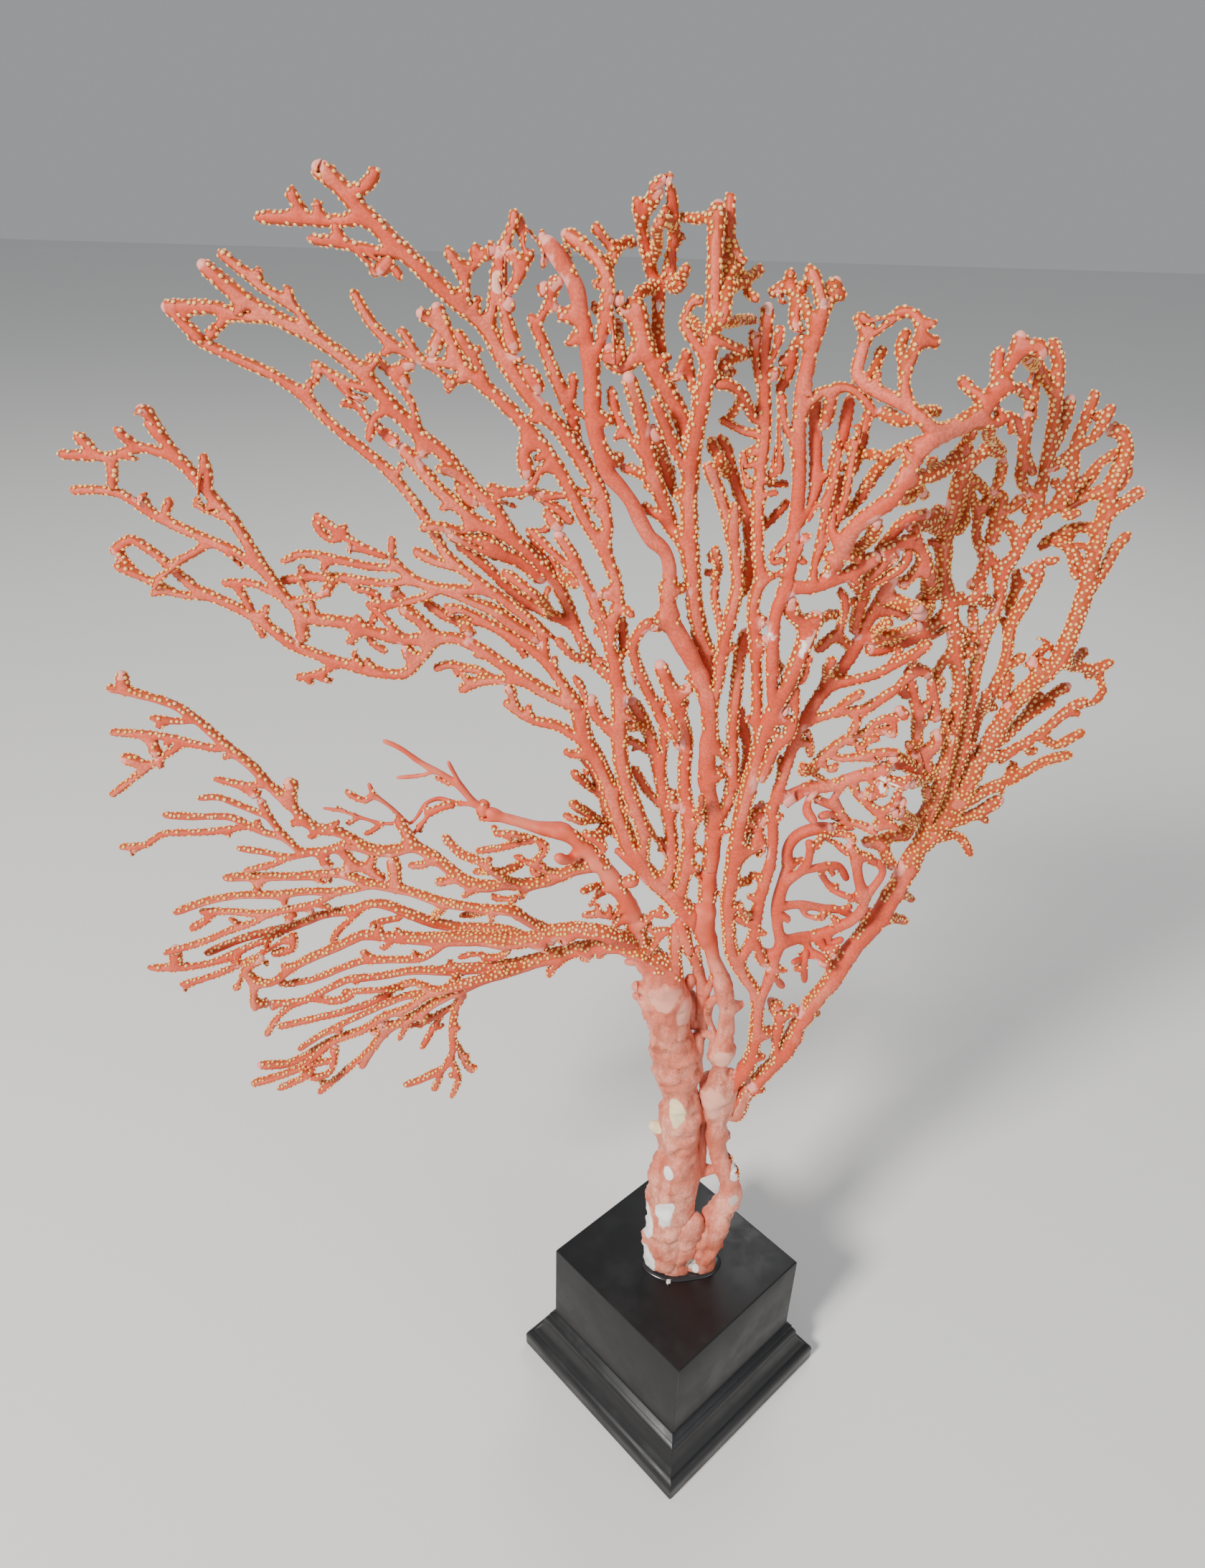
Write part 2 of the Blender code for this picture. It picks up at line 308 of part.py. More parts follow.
    ("s8b", "s8", 1, 1.7, 1.5, "-18,372.5 -20,380 -23,385.5 -24,391 -23.5,396 -26.5,403 -28,409 -29.5,416"),
    ("s8c", "s8b", -1, 1.3, 1.3, "-25.5,400.5 -24.5,406 -25,411"),
    ("s8d", "s8b", 0, 1.4, 1.3, "-23.5,396 -22,402 -21,409 -21.5,415 -23.5,420.5 -27,417"),
    ("s8e", "s8d", 1, 1.2, 1.3, "-21.5,406 -19,409.5"),
    ("s8f", "s8d", -1, 1.2, 1.3, "-22.5,399 -19,400 -18,402.5"),
    ("s8g", "s8d", 1, 1.2, 1.2, "-21,411 -24,414"),
    ("s9a", "RR", 1, 1.7, 1.3, "-11.3,386 -8.5,394 -8.8,402 -8.8,409 -9.5,417.5"),
    ("s9b", "s9a", -1, 1.3, 1.2, "-8.7,399 -6,403.5 -5,398.5 -1.5,396"),
    ("s9c", "RR", -1, 1.5, 1.3, "-11.7,381 -15,387 -18.5,391 -17,396 -13.5,395.5"),
    ("s9d", "RR", 1, 1.4, 1.4, "-12.5,373 -15.5,378 -17,385"),
    ("s9e", "RR", -1, 1.3, 1.2, "-11.5,384 -7.5,386.5 -3,385"),
    ("s9f", "RR", 1, 1.2, 1.2, "-11.6,381 -8,379 -5.5,381"),
    ("s9g", "s9c", 1, 1.1, 1.2, "-13,384 -14.5,390 -16,392"),
    ("s9h", "s9a", 1, 1.2, 1.1, "-10,390 -6,392 -1.5,392"),
    ("s9i", "s9a", 0, 1.2, 1.3, "-8.6,397 -5,400 -1,403"),
    ("s9j", "RR", 1, 1.2, 1.1, "-12,412 -16,412 -20,412.5"),
    ("H3", "side", -1, 2.6, 2.9,
     "9,147,2.8 13.5,151,2.8 16.5,156,3.2 18,161,3.4 19,167,2.5 19,174,2.5 19,181,2.4 18.8,187,2.4 "
     "16.5,194,2.4 13.5,199,2.3 10,203,2.3 7.5,211,2.7 6.5,219,2.7 5.5,227,2.7 5.8,236,2.7 6.2,246,2.7 "
     "6.5,256,2.7 8,267,2.7 9.5,276,2.7 10.3,284,2.7 12,291,2.7 14.5,297,2.4 16.5,304,2.6 18.5,311,2.7 "
     "19.8,317,2.8 21.5,322.5,2.9"),
    ("a8n", "H3", 0, 1.5, 1.3, "19.8,317 24,321.5 26.5,321.5"),
    ("A8b", "H3", 0, 2, 1.8,
     "10,281,2 8.5,290,2 7.5,299,1.9 6.5,308,1.9 5.3,316,1.9 4,324,1.9 5.8,331,1.8 4,337,1.8 "
     "3.5,345,1.8 2.5,352,1.8 2.8,360,1.8 3,368,1.8 2,375,1.8 1,383,1.8 0.8,390,1.8 1,396,1.8"),
    ("A8c", "H3", -2, 2, 2,
     "11.2,287 11,296 11.2,304 10.5,312 9.8,319 11.8,327 13,335 12.6,343 12.8,351 12.2,359 11,367 "
     "10.6,375 11.2,383 12.5,390 13.5,396"),
    ("a8k", "A8c", 0, 1.8, 2.3, "11.2,304 12.8,306.5"),
    ("tp1", "A8c", 1, 1.7, 1.6, "12.5,390 9.5,394.5 7,398 3.5,400 1,397"),
    ("tp2", "A8c", 0, 1.9, 2.2, "13,393 14.5,398 16,401.5"),
    ("tp3", "tp2", -1, 1.3, 1.5, "14.5,398 18,397.5"),
    ("tp4", "A8c", -1, 1.7, 1.5, "13.3,394.5 11.5,400 8.8,403.5"),
    ("tp5", "A8c", 1, 1.5, 1.4, "12,386 8,389 7.5,381 5,376"),
    ("r3a", "A8b", -1, 1.3, 1.3, "2,376 4,383.5 4.2,391"),
    ("r3b", "A8b", 1, 1.2, 1, "2.7,358 6,354 10,355"),
    ("r3c", "A8b", 1, 1.2, 1.2, "2.8,362 -1,358 -2,362.5"),
    ("r3d", "A8b", -1, 1.2, 1.1, "3,366 -3.5,367.5 -8,370"),
    ("r3e", "A8b", 0, 1.2, 1.3, "1.5,379 -2,384 -2,390"),
    ("BD", "H3", 0, 2, 1.9,
     "11.5,201.5,2 13.2,209,2 14.8,217,2 15,226,2 16,235,2 17.5,244,2 17,252,1.9 15.5,260,1.9 "
     "17,269,1.9 18.5,278,1.9 19.8,286,1.9 25,298.5,2.1 29,304.5,2.1 32.5,312,2 34.5,320,2 "
     "37.5,327,1.9 39.5,333,1.9"),
    ("bd1", "BD", 1, 1.5, 1.3, "16.2,237 13.5,239 11.5,236.5"),
    ("bd2", "BD", -1, 1.4, 1.3, "14.9,219 11,222 9.5,226"),
    ("bd3", "BD", 1, 1.4, 1.3, "15.8,262 12.5,258 12.3,264"),
    ("bd4", "BD", 1, 1.3, 1.3, "17.5,272 16.2,279"),
    ("hk", "BD", -1, 1.3, 1.5, "19.3,283 23,284 25,281.5 24,278.8"),
    ("knb", "side", 1, 1.6, 1.8, "8.5,187 12,187.5 14,186"),
    ("RL", "H3", 0, 2.1, 2.2,
     "19,184 20.5,194 21.5,200 22,207 23.5,212.5 21.5,219 20.3,226 21.3,234 22.5,241 21,248 23,252.5 "
     "28,255 34,255.5"),
    ("rl1", "RL", 1, 1.5, 1.3, "22.5,208 17.5,209 15,213"),
    ("rl2", "RL", 1, 1.4, 1.5, "20.8,197 24,197.5 26,194.5"),
    ("rl3", "RL", -1, 1.7, 1.5, "21,232 25.5,238 28.3,243 28.5,248 27,251"),
    ("rl4", "rl3", 1, 1.5, 1.5, "26.5,239.5 33,242 37.5,242.5 40.5,237"),
    ("rl5", "rl4", -1, 1.3, 1.2, "31,241.5 35,235 38,231.5 43,230.5"),
    ("rl6", "RL", 1, 1.6, 1.4, "20.4,225 26.5,228 33,226.5 39,226 44,224"),
    ("rl7", "rl6", -1, 1.2, 1.2, "28,227.8 29.5,222 35,222.5"),
    ("rl8", "RL", -1, 1.3, 1.4, "20.3,226 22.5,222.5 25.5,221"),
    ("NT", "RL", 0, 2.1, 1.8,
     "23,212.5 28,214.5 34,216 39,218.5 44,221.5 47,226 46,232 43.5,238 42,245 39,250.5"),
    ("nt1", "NT", 1, 1.6, 1.5, "46,231 49.5,236 51.5,241 48,244.5"),
    ("nt2", "NT", -1, 1.4, 1.4, "30,215 33,209 38.5,206.5"),
    ("nt3", "nt2", 0, 1.3, 1.3, "31.5,211 31.5,204 32.5,197"),
    ("nt4", "nt2", 1, 1.2, 1.2, "31.5,207 27.5,204.5"),
    ("nt5", "NT", 1, 1.4, 1.5, "36,217 38.5,212 42.5,215"),
    ("X1", "BD", 0, 2.2, 2, "16,262 21,266.5 25,269 31,269 37,272.5 43,274.5 48,275.5"),
    ("X2", "X1", -1, 1.9, 1.6, "22,267 25,261 29,256.5"),
    ("X3", "X1", 1, 1.8, 1.5, "29,269 33,265 36,259.5 40,255"),
    ("X4", "X3", -1, 1.5, 1.4, "34,263.5 32,259.5 29,259"),
    ("X5", "X1", 1, 1.7, 1.6, "34,271 39,267.5 44,263 48,258.5 53,255.5"),
    ("X6", "X5", 0, 1.5, 1.4, "46.5,260.5 50.5,264 51,269"),
    ("X7", "X1", -2, 2.3, 2.4, "43,274.5 48,271 54,270.5"),
    ("X8", "X3", 1, 1.4, 1.3, "37.5,257.8 43,256.5 47,253.5"),
    ("X9", "X1", 1, 1.7, 1.4, "24,268.5 25.5,275 28.5,280 33,284.5 37,286.5 42,286.5 47,290"),
    ("X10", "X9", -1, 1.4, 1.3, "26,276 31,278 37,279 43,281 49,281"),
    ("X11", "X9", 1, 1.3, 1.3, "33,284.5 37.5,283.5 38,279.5"),
    ("X12", "X9", 0, 1.3, 1.4, "38,286.8 42,291.5 48,292"),
    ("x9a", "X9", -1, 1.2, 1.3, "25,273.5 22.5,276"),
    ("W1a", "BD", -1, 1.4, 1.5, "28.5,304 25,304 27,309"),
    ("W2", "BD", 1, 1.7, 1.5, "25,298.5 31,302 38,304 43.5,307.5 44,313"),
    ("W2a", "W2", -1, 1.5, 1.7, "42,306.5 47,310 52,314.5"),
    ("W3", "BD", 1, 1.6, 1.5, "20,287.5 26,291.5 31.5,293.5 37,293.5 41.5,297 46,301.5"),
    ("W3a", "W3", -1, 1.3, 1.5, "30,293 32,296.5 36.5,299.5"),
    ("W3b", "W3", 0, 1.4, 1.4, "34,293.6 36.5,289.5 34,286"),
    ("W4", "BD", 1, 2, 1.8, "33.3,315 38,314.5 44,317 49,319"),
    ("W4a", "W4", -1, 1.2, 1.5, "36,314.8 38,319 40.5,319.5"),
    ("W5", "BD", -1, 1.9, 1.9, "37,326 44,324.5 48.5,323.5"),
    ("W6", "BD", -1, 1.4, 1.3, "32,311 27,315.5 29,323 26,328.5"),
    ("Y1", "A8c", -1, 2, 2.3, "12,328 19,328.5 25,331 30,333.5 35,338"),
    ("Y2", "Y1", -1, 1.9, 1.7, "30,333.5 30,340 25,337.5"),
    ("Y3", "Y1", 1, 1.9, 2, "35,338 40,341 44,341 46.5,337 47.5,331.5"),
    ("Y3a", "Y3", -1, 1.3, 1.4, "39,340.5 41,343.5 43.5,342.8"),
    ("Y4", "Y1", 1, 1.7, 1.8, "33,336.5 37,343 40,347.5 46,348.5"),
    ("Y5", "Y1", -1, 2.6, 2.7,
     "22,329.7 25,338 27,344.5 31,348.5 36,351.5 38,357.5 40.5,364.5 47,369 53,372.5 56,378 57.5,383"),
    ("y5a", "Y5", 1, 1.6, 1.7, "55.8,377.5 55,383 54.5,388"),
    ("y5b", "Y5", -1, 1.7, 1.8, "57,381 58.5,386 59,391.5"),
    ("y5c", "Y5", -1, 1.6, 1.7, "52.5,372 50.5,378 46.5,380.8"),
    ("y5d", "Y5", 1, 1.6, 1.5, "55,376 60,380.5 64,376.5"),
    ("y5e", "Y5", 1, 1.8, 1.5, "50,371 57,370.5 61,373.5 64,368"),
    ("Y6", "Y5", 1, 2.1, 2, "37,354.5 42,357.5 47,359 50,363.5 53,365.5"),
    ("y6a", "Y6", -1, 1.3, 1.6, "43,358 44,361.5"),
    ("y6b", "Y6", -1, 1.2, 1.5, "40,356.5 43.5,353"),
    ("Y7", "Y5", -1, 1.8, 1.6, "40,362.5 35,364 31.5,360 29,355 27,350"),
    ("Y8", "Y5", -1, 1.9, 1.7, "40.5,364.5 41,370.5 36,374 29,376.5 22.5,380 23.5,387 24.5,392.5"),
    ("y8a", "Y8", 0, 1.3, 1.3, "23.8,389.5 21,394"),
    ("y8b", "Y8", 1, 1.7, 1.5, "38,372.8 33.5,378.5 35,385 36.5,391.5 33,395.5 29,393.5"),
    ("y8c", "y8b", -1, 1.2, 1.6, "35.8,388 41,388.5"),
    ("y8d", "y8b", 1, 1.4, 1.5, "33.7,379.5 31.5,386 33,391"),
    ("y8e", "Y8", 1, 1.4, 1.4, "27,377.3 27,384 28.5,387"),
    ("y8f", "Y8", 1, 1.3, 1.3, "38.5,373 43.5,373"),
    ("Z1", "A8c", 2, 1.9, 1.7, "13,337 16,344 17,352 16,360 15,368 14,376"),
    ("Z2", "Y5", 2, 1.7, 1.6, "24.5,337 21,344.5 22,352 20,360 22,368 22,376"),
    ("Z2a", "Z2", 0, 1.3, 1.4, "20.5,358 20.3,366"),
    ("Z3", "Z2", 1, 1.5, 1.5, "22,352 25.5,360 26.5,368 27,374"),
    ("FR", "side", 24, 3.2, 2.2,
     "9,138,3.2 15,141.5,3.2 18.5,147,3.2 21,152.5,3.3 25,158.5,3.4 28.5,164,3.3 31,171,3.4 "
     "32.5,178,3.4 34.5,185,3.4 37.5,191.5,3.5 41,198,3.5 43,205,3.5 46,212,3.6 50,219,3.6 53,226,3.6 "
     "55.5,234,3.7 57.5,242,3.7 60,250,3.7 63.5,257,3.8 66,262,3.8 69.5,271,3 72,280,3 74.5,289,2.9 "
     "77,297,2.8 81,303.5,2.8 86,308.5,2.7 88,317,2.6 88.7,326,2.6 88.5,335,2.5 88.5,344,2.4 "
     "88.5,352,2.4 88,358,2.3 90.5,364,2.3 88.5,369.5,2.2 83,370.5,2.2"),
    ("fr1", "FR", 0, 1.9, 1.9, "24,156.5 25,164 26,172 26.5,179 26,185"),
    ("fr2", "fr1", 0, 1.8, 1.8, "26.3,181 24,187.5 21.5,190"),
    ("fr3", "FR", 12, 1.4, 1.6, "51.5,222 57,224 61,222"),
    ("fr4", "FR", 14, 1.3, 1.2, "55.5,234 58.5,232.5 61.5,230"),
    ("fr5", "FR", 12, 1.6, 1.8, "34.5,185 38.5,184"),
    ("fr6", "FR", 8, 1.5, 1.5, "47.5,214.5 46.5,220.5 49.5,227"),
    ("lo1", "FR", 15, 1.5, 1.5, "61.5,253 67,254.5 72,253.5 75.5,247"),
    ("lo2", "FR", 18, 1.8, 2.1, "63,256.5 70,259 76,263 81,267.5"),
    ("lo3", "FR", 20, 1.9, 1.6, "66.5,264 72,267.5 78,271.5 83,273.5 88,279.5 97,282"),
    ("lo3a", "lo3", 22, 1.4, 1.6, "76,270.3 79.5,275.5 82,279"),
    ("rw1", "FR", 24, 1.5, 1.4, "82.5,305 79.5,309.5 81,314 84.5,313.5"),
    ("rw2", "FR", 23, 1.5, 1.4, "86,308.5 91.5,308.5 96.5,308 101,310.5"),
    ("rw3", "rw2", 24, 1.3, 1.6, "89.5,308.5 93,314"),
    ("rw4", "rw2", 23, 1.2, 1, "96.5,308 99.5,304 101,300.5"),
    ("rw5", "FR", 26, 1.5, 1.5, "88.6,325 92,333 93,341 96,345.5"),
    ("rw6", "FR", 25, 1.6, 1.4, "88.3,331 85,337 82.5,342 77,342.5"),
    ("rw7", "FR", 26, 1.6, 1.5, "88.5,345 84,347 79,344.5 74,340.5"),
    ("rw8", "FR", 24, 1.5, 1.9, "88.4,348 92,352.5 97,356.5"),
    ("rw9", "FR", 25, 1.8, 1.6, "88,356 82.5,354 77.5,350.5"),
    ("rw10", "FR", 24, 1.3, 1.3, "88,358 92.5,362.5 90.5,357"),
    ("lo4", "FR", 20, 1.7, 1.5, "72,279 78,281 83.5,285.5 88.5,290 91.5,295.5 97,299"),
    ("lo4a", "lo4", 21, 1.3, 1.6, "86,287.5 92,284 95,287 98.5,289.5"),
    ("lo4b", "lo4", 19, 1.2, 1.4, "79,281.5 84,281.5 87,283.5"),
    ("lo5", "FR", 27, 1.7, 1.5, "72.5,281.5 78,287.5 82,294.5 84,301"),
    ("lo5a", "lo5", 25, 1.3, 1.7, "82.5,295.5 87,300 91.5,303.5"),
    ("RD", "FR", 17, 1.8, 1.7,
     "68,267.5 67,276 67.5,285 68.2,293 70.5,299 72,305 72.5,312 71.5,319 74,326 76,332 75,338"),
    ("rd1", "RD", 23, 1.3, 1.4, "69,292 69.5,301"),
    ("rd2", "RD", 21, 1.3, 1.5, "74.5,307 77,312"),
    ("rd3", "RD", 24, 1.4, 1.3, "72,316.5 69,321 71,328 70,335"),
    ("RE", "FR", 20, 2.1, 1.5,
     "64,258,2.1 65,268,2.1 66,278,2.1 66,288,2.1 65.5,298,2.1 65,308,2 65.5,317,2 68,325,2 66.5,332,2 "
     "65,336,1.5 61,339.5,1.5 57.5,343,1.5 58,350,1.5 61.5,357,1.5 60.5,363.5,1.5"),
    ("re2", "RE", 18, 1.3, 1.4, "57.7,348 54.5,354 52.5,360"),
    ("re3", "RE", 24, 1.9, 1.6, "66.5,333 69.5,341 71.5,349 71.5,358 71,367 70.5,376 69,385 66,390"),
    ("re4", "re3", 21, 1.6, 1.6, "71,351 66,357.5 65,366 64.5,374"),
    ("re5", "re3", 26, 1.7, 1.5, "70.5,345 76,351.5 78.5,358.5 77,366 78.5,374 79,379"),
    ("re6", "re5", 24, 1.4, 1.4, "78.4,360 81,367 84,376"),
    ("re7", "re3", 27, 1.4, 1.7, "71.5,361 73.5,369.5 73.5,378"),
    ("re8", "re3", 22, 1.4, 1.3, "70.6,375 67,380.5 63,386.5"),
    ("RF", "FR", 12, 2.2, 2.4,
     "60.5,251.5 60.5,258 61.5,265 62.5,273 62.5,283 62.5,293 62,302 59.5,310 57,318 54.5,326 51.5,333 "
     "50.5,341 51,350 51.5,358 52.5,365"),
    ("rf1", "RF", 13, 1.3, 1.5, "62.4,296 60.5,300.5"),
    ("rf2", "RF", 10, 1.5, 1.4, "62.8,279 60,287 59.5,295"),
    ("rf3", "RF", 13, 1.4, 1.3, "56,322 60,326.5 63.5,331"),
    ("rf4", "RF", 10, 1.6, 1.5, "58.5,313.5 55.5,308.5 54,301"),
    ("rf5", "RF", 9, 1.3, 1.5, "54.5,326 48,327.5"),
    ("RG", "RF", 6, 1.9, 1.7, "62.7,270 57,277.5 53,285 52,293 49.5,300 47,307"),
    ("rg1", "RG", 8, 1.4, 1.4, "52.3,291 55,297.5 54,304"),
    ("rg2", "RG", 4, 1.3, 1.5, "54,283 50.5,283.5"),
    ("rg3", "RF", 8, 1.4, 1.5, "62,262 58.5,266.5 58.5,271"),
    ("re9", "RE", 14, 1.5, 1.4, "65.2,313 62,319 60.5,326"),
)

# Where a strand becomes the next limb: a point on its path, or None for its own fork.
LIMBS = {
    "main": (((-19.5, 206.3), "left_limb", LIMB_SIDES),),
    "side": (
        ((8.5, 158.5), "centre_limb", LIMB_SIDES),
        ((-0.8, 240.0), "middle_limb_d", LIMB_SIDES),
        ((-18.0, 322.0), "top_limb_a", LIMB_SIDES),
    ),
    "FR": (
        (None, "right_limb", LIMB_SIDES),
        ((67.0, 264.0), "right_lobe_outer", LIMB_SIDES),
    ),
}
FORKS = {
    "is": "inner_stem",
    "CL": "middle_left_limb",
    "K": "lower_left_limb",
    "M": "left_bundle_upper",
    "N": "left_bundle_lower",
    "N2": "left_bundle_bottom",
    "S1": "left_bundle_top",
    "S2": "left_bundle_middle",
    "J": "far_left_limb",
    "E": "left_lower_loop",
    "A1": "short_left_limb",
    "A3": "middle_limb_a",
    "A3u": "upper_left_limb_a",
    "E4": "upper_left_limb_b",
    "B": "upper_left_limb_c",
    "b4": "upper_left_limb_d",
    "b5": "upper_left_limb_e",
    "A5": "middle_limb_b",
    "A6": "middle_limb_c",
    "RR": "top_limb_b",
    "s8": "top_limb_c",
    "r0": "top_limb_d",
    "H3": "upright_limb",
    "A8b": "top_limb_e",
    "A8c": "top_limb_f",
    "BD": "right_centre_limb",
    "RL": "right_net_lower",
    "X1": "right_net_upper",
    "Y1": "upper_right_limb_a",
    "Y5": "upper_right_limb_b",
    "RE": "right_lobe_inner",
    "RF": "right_lobe_left",
    "re3": "right_lobe_top",
    "RD": "right_lobe_middle",
}
STEMS = {"main": "main_stem", "side": "side_stem"}
PALE_LIMBS = ("main_stem", "side_stem", "inner_stem")


def ease(x):
    return x * x * (3 - 2 * x)


def lengths(points):
    steps = np.linalg.norm(np.diff(points, axis=0), axis=1)
    return np.concatenate(([0.0], np.cumsum(steps)))


def point_at(points, along, s):
    return np.array([np.interp(s, along, points[:, i]) for i in range(points.shape[1])]).T


def nearest(p, points, along):
    """Where along a path it comes nearest to p, and how near."""
    start = points[:-1]
    d = points[1:] - start
    t = np.clip(((p - start) * d).sum(1) / np.maximum((d * d).sum(1), 1e-12), 0, 1)
    away = np.linalg.norm(start + d * t[:, None] - p, axis=1)
    i = int(np.argmin(away))
    return along[i] + t[i] * (along[i + 1] - along[i]), away[i]


def read_strands():
    strands = {}
    for name, parent, depth, root_radius, tip_radius, text in STRANDS:
        rows = [[float(v) for v in p.split(",")] for p in text.split()]
        flat = np.array([row[:2] for row in rows])
        along = lengths(flat)
        if len(rows[0]) > 2:
            radii = np.array([row[2] for row in rows])
        else:
            radii = np.interp(along, (0, along[-1]), (root_radius, tip_radius))
        count = max(3, int(math.ceil(along[-1] / STEP)) + 1)
        s = np.linspace(0, along[-1], count)
        strands[name] = {
            "name": name,
            "parent": parent,
            "depth": depth,
            "flat": point_at(flat, along, s),
            "width": np.interp(s, along, radii),
            "s": s,
            "ease": ease(s / s[-1]),
            "shift": np.zeros(count),
            "sides": LIMB_SIDES if parent else STEM_SIDES,
        }
    return strands


def parents_first(strands):
    order = []
    while len(order) < len(strands):
        for name, strand in strands.items():
            ready = strand["parent"] is None or strand["parent"] in order
            if ready and name not in order:
                order.append(name)
    return order


def close_pairs(strands, order, flat, widths, owner, arcs):
    """Point pairs of different strands that may touch, and how much clearance each needs."""
    first, second, weights = [], [], []
    for i in range(len(flat)):
        away = np.linalg.norm(flat[i + 1:] - flat[i], axis=1)
        reach = widths[i] + widths[i + 1:] + ROOM + 2.0
        near = np.nonzero((away < reach) & (owner[i + 1:] != owner[i]))[0] + i + 1
        for j in near:
            a, b = strands[order[owner[i]]], strands[order[owner[j]]]
            weight = 1.0
            kid = None
            if a["parent"] == b["name"]:
                kid, mum, past, there = a, b, arcs[i], arcs[j]
            elif b["parent"] == a["name"]:
                kid, mum, past, there = b, a, arcs[j], arcs[i]
            if kid:
                width = float(np.interp(kid["join"], mum["s"], mum["width"]))
                if past < FORK_NEAR and abs(there - kid["join"]) < 5 + width:
                    continue
                weight = min(1.0, max(0.0, (past - 2.0) / FORK_REACH))
            elif a["parent"] and a["parent"] == b["parent"]:
                apart = abs(a["join"] - b["join"])
                if arcs[i] < SIBLING_NEAR and arcs[j] < SIBLING_NEAR and apart < SIBLING_ROOTS:
                    continue
                if apart < SIBLING_SPAN:
                    weight = min(1.0, max(0.0, (max(arcs[i], arcs[j]) - 2.0) / FORK_REACH))
            first.append(i)
            second.append(j)
            weights.append(weight)
    return np.array(first), np.array(second), np.array(weights)


def place_in_depth(strands, order):
    for name in order:
        strand = strands[name]
        if strand["parent"]:
            mum = strands[strand["parent"]]
            root = float(np.interp(strand["join"], mum["s"], mum["y"]))
            shift = strand["shift"] * np.minimum(1, strand["s"] / ROOT_BLEND)
            strand["y"] = root + (strand["depth"] - root) * strand["ease"] + shift
        else:
            low = ease(np.clip(1 - strand["s"] / FOOT_BLEND, 0, 1))
            strand["y"] = strand["depth"] * strand["ease"] + FOOT_DEPTH * low


def spread_strands(strands, order):
    """Moves neighbouring strands apart in depth until each has its room."""
    for name in order:
        strand = strands[name]
        if strand["parent"]:
            mum = strands[strand["parent"]]
            strand["join"], _ = nearest(strand["flat"][0], mum["flat"], mum["s"])
    flat = np.vstack([strands[n]["flat"] for n in order])
    widths = np.concatenate([strands[n]["width"] for n in order])
    arcs = np.concatenate([strands[n]["s"] for n in order])
    owner = np.concatenate([np.full(len(strands[n]["s"]), k) for k, n in enumerate(order)])
    i, j, weight = close_pairs(strands, order, flat, widths, owner, arcs)
    pairs, pair_of = np.unique(owner[i] * 1000 + owner[j], return_inverse=True)
    bell = np.exp(-0.5 * (np.arange(-5, 6) / SHIFT_BLUR) ** 2)
    bell /= bell.sum()
    sign = None
    for turn in range(ROUNDS):
        place_in_depth(strands, order)
        y = np.concatenate([strands[n]["y"] for n in order])
        scale = (y - EYE[1]) / -EYE[1]
        across = EYE[0] + (flat[:, 0] - EYE[0]) * scale
        up = EYE[2] + (flat[:, 1] - EYE[2]) * scale
        solid = np.column_stack((across, y, up))
        thick = widths * scale
        if turn == ROUNDS - 1:
            break
        need = (thick[i] + thick[j] + ROOM) * weight
        d = solid[j] - solid[i]
        want = np.sqrt(np.maximum(need ** 2 - d[:, 0] ** 2 - d[:, 2] ** 2, 0))
        if sign is None:
            total = np.zeros(len(pairs))
            np.add.at(total, pair_of, d[:, 1] * (want > 0))
            other = np.where(pairs % 2 == 0, 1.0, -1.0)
            sign = np.where(np.abs(total) > 0.2, np.sign(total), other)[pair_of]
        lack = np.maximum(want - d[:, 1] * sign, 0) * (want > 0)
        push = np.minimum(lack, 3.0) * sign * 0.5
        move = np.zeros(len(flat))
        hits = np.zeros(len(flat))
        np.add.at(move, j, push)
        np.add.at(move, i, -push)
        np.add.at(hits, j, lack > 0)
        np.add.at(hits, i, lack > 0)
        move = move / np.maximum(hits, 1)
        start = 0
        for name in order:
            strand = strands[name]
            count = len(strand["s"])
            own = move[start:start + count]
            start += count
            if strand["parent"]:
                padded = np.concatenate((np.full(5, own[0]), own, np.full(5, own[-1])))
                shift = strand["shift"] + 0.9 * np.convolve(padded, bell, "valid")
                shift = np.clip(shift, -MOST_SHIFT, MOST_SHIFT)
                bend = np.zeros(count)
                bend[1:-1] = shift[:-2] - 2 * shift[1:-1] + shift[2:]
                strand["shift"] = shift + 0.25 * bend
    start = 0
    for name in order:
        strand = strands[name]
        count = len(strand["s"])
        strand["path"] = solid[start:start + count]
        strand["radius"] = thick[start:start + count]
        strand["along"] = lengths(strand["path"])
        start += count


def bends(points, radii):
    """The points that keep a strand within PATH_ERROR of its path."""
    keep = {0, len(points) - 1}
    spans = [(0, len(points) - 1)]
    while spans:
        a, b = spans.pop()
        if b - a < 2:
            continue
        d = points[b] - points[a]
        length = max(float(np.linalg.norm(d)), 1e-9)
        t = np.clip(((points[a + 1:b] - points[a]) @ d) / length ** 2, 0, 1)
        off = np.linalg.norm(points[a + 1:b] - points[a] - t[:, None] * d, axis=1)
        thin = np.abs(radii[a + 1:b] - radii[a] - t * (radii[b] - radii[a]))
        off = np.maximum(off, thin * 1.6)
        i = int(np.argmax(off))
        if off[i] > PATH_ERROR:
            keep.add(a + 1 + i)
            spans += [(a, a + 1 + i), (a + 1 + i, b)]
    return sorted(keep)


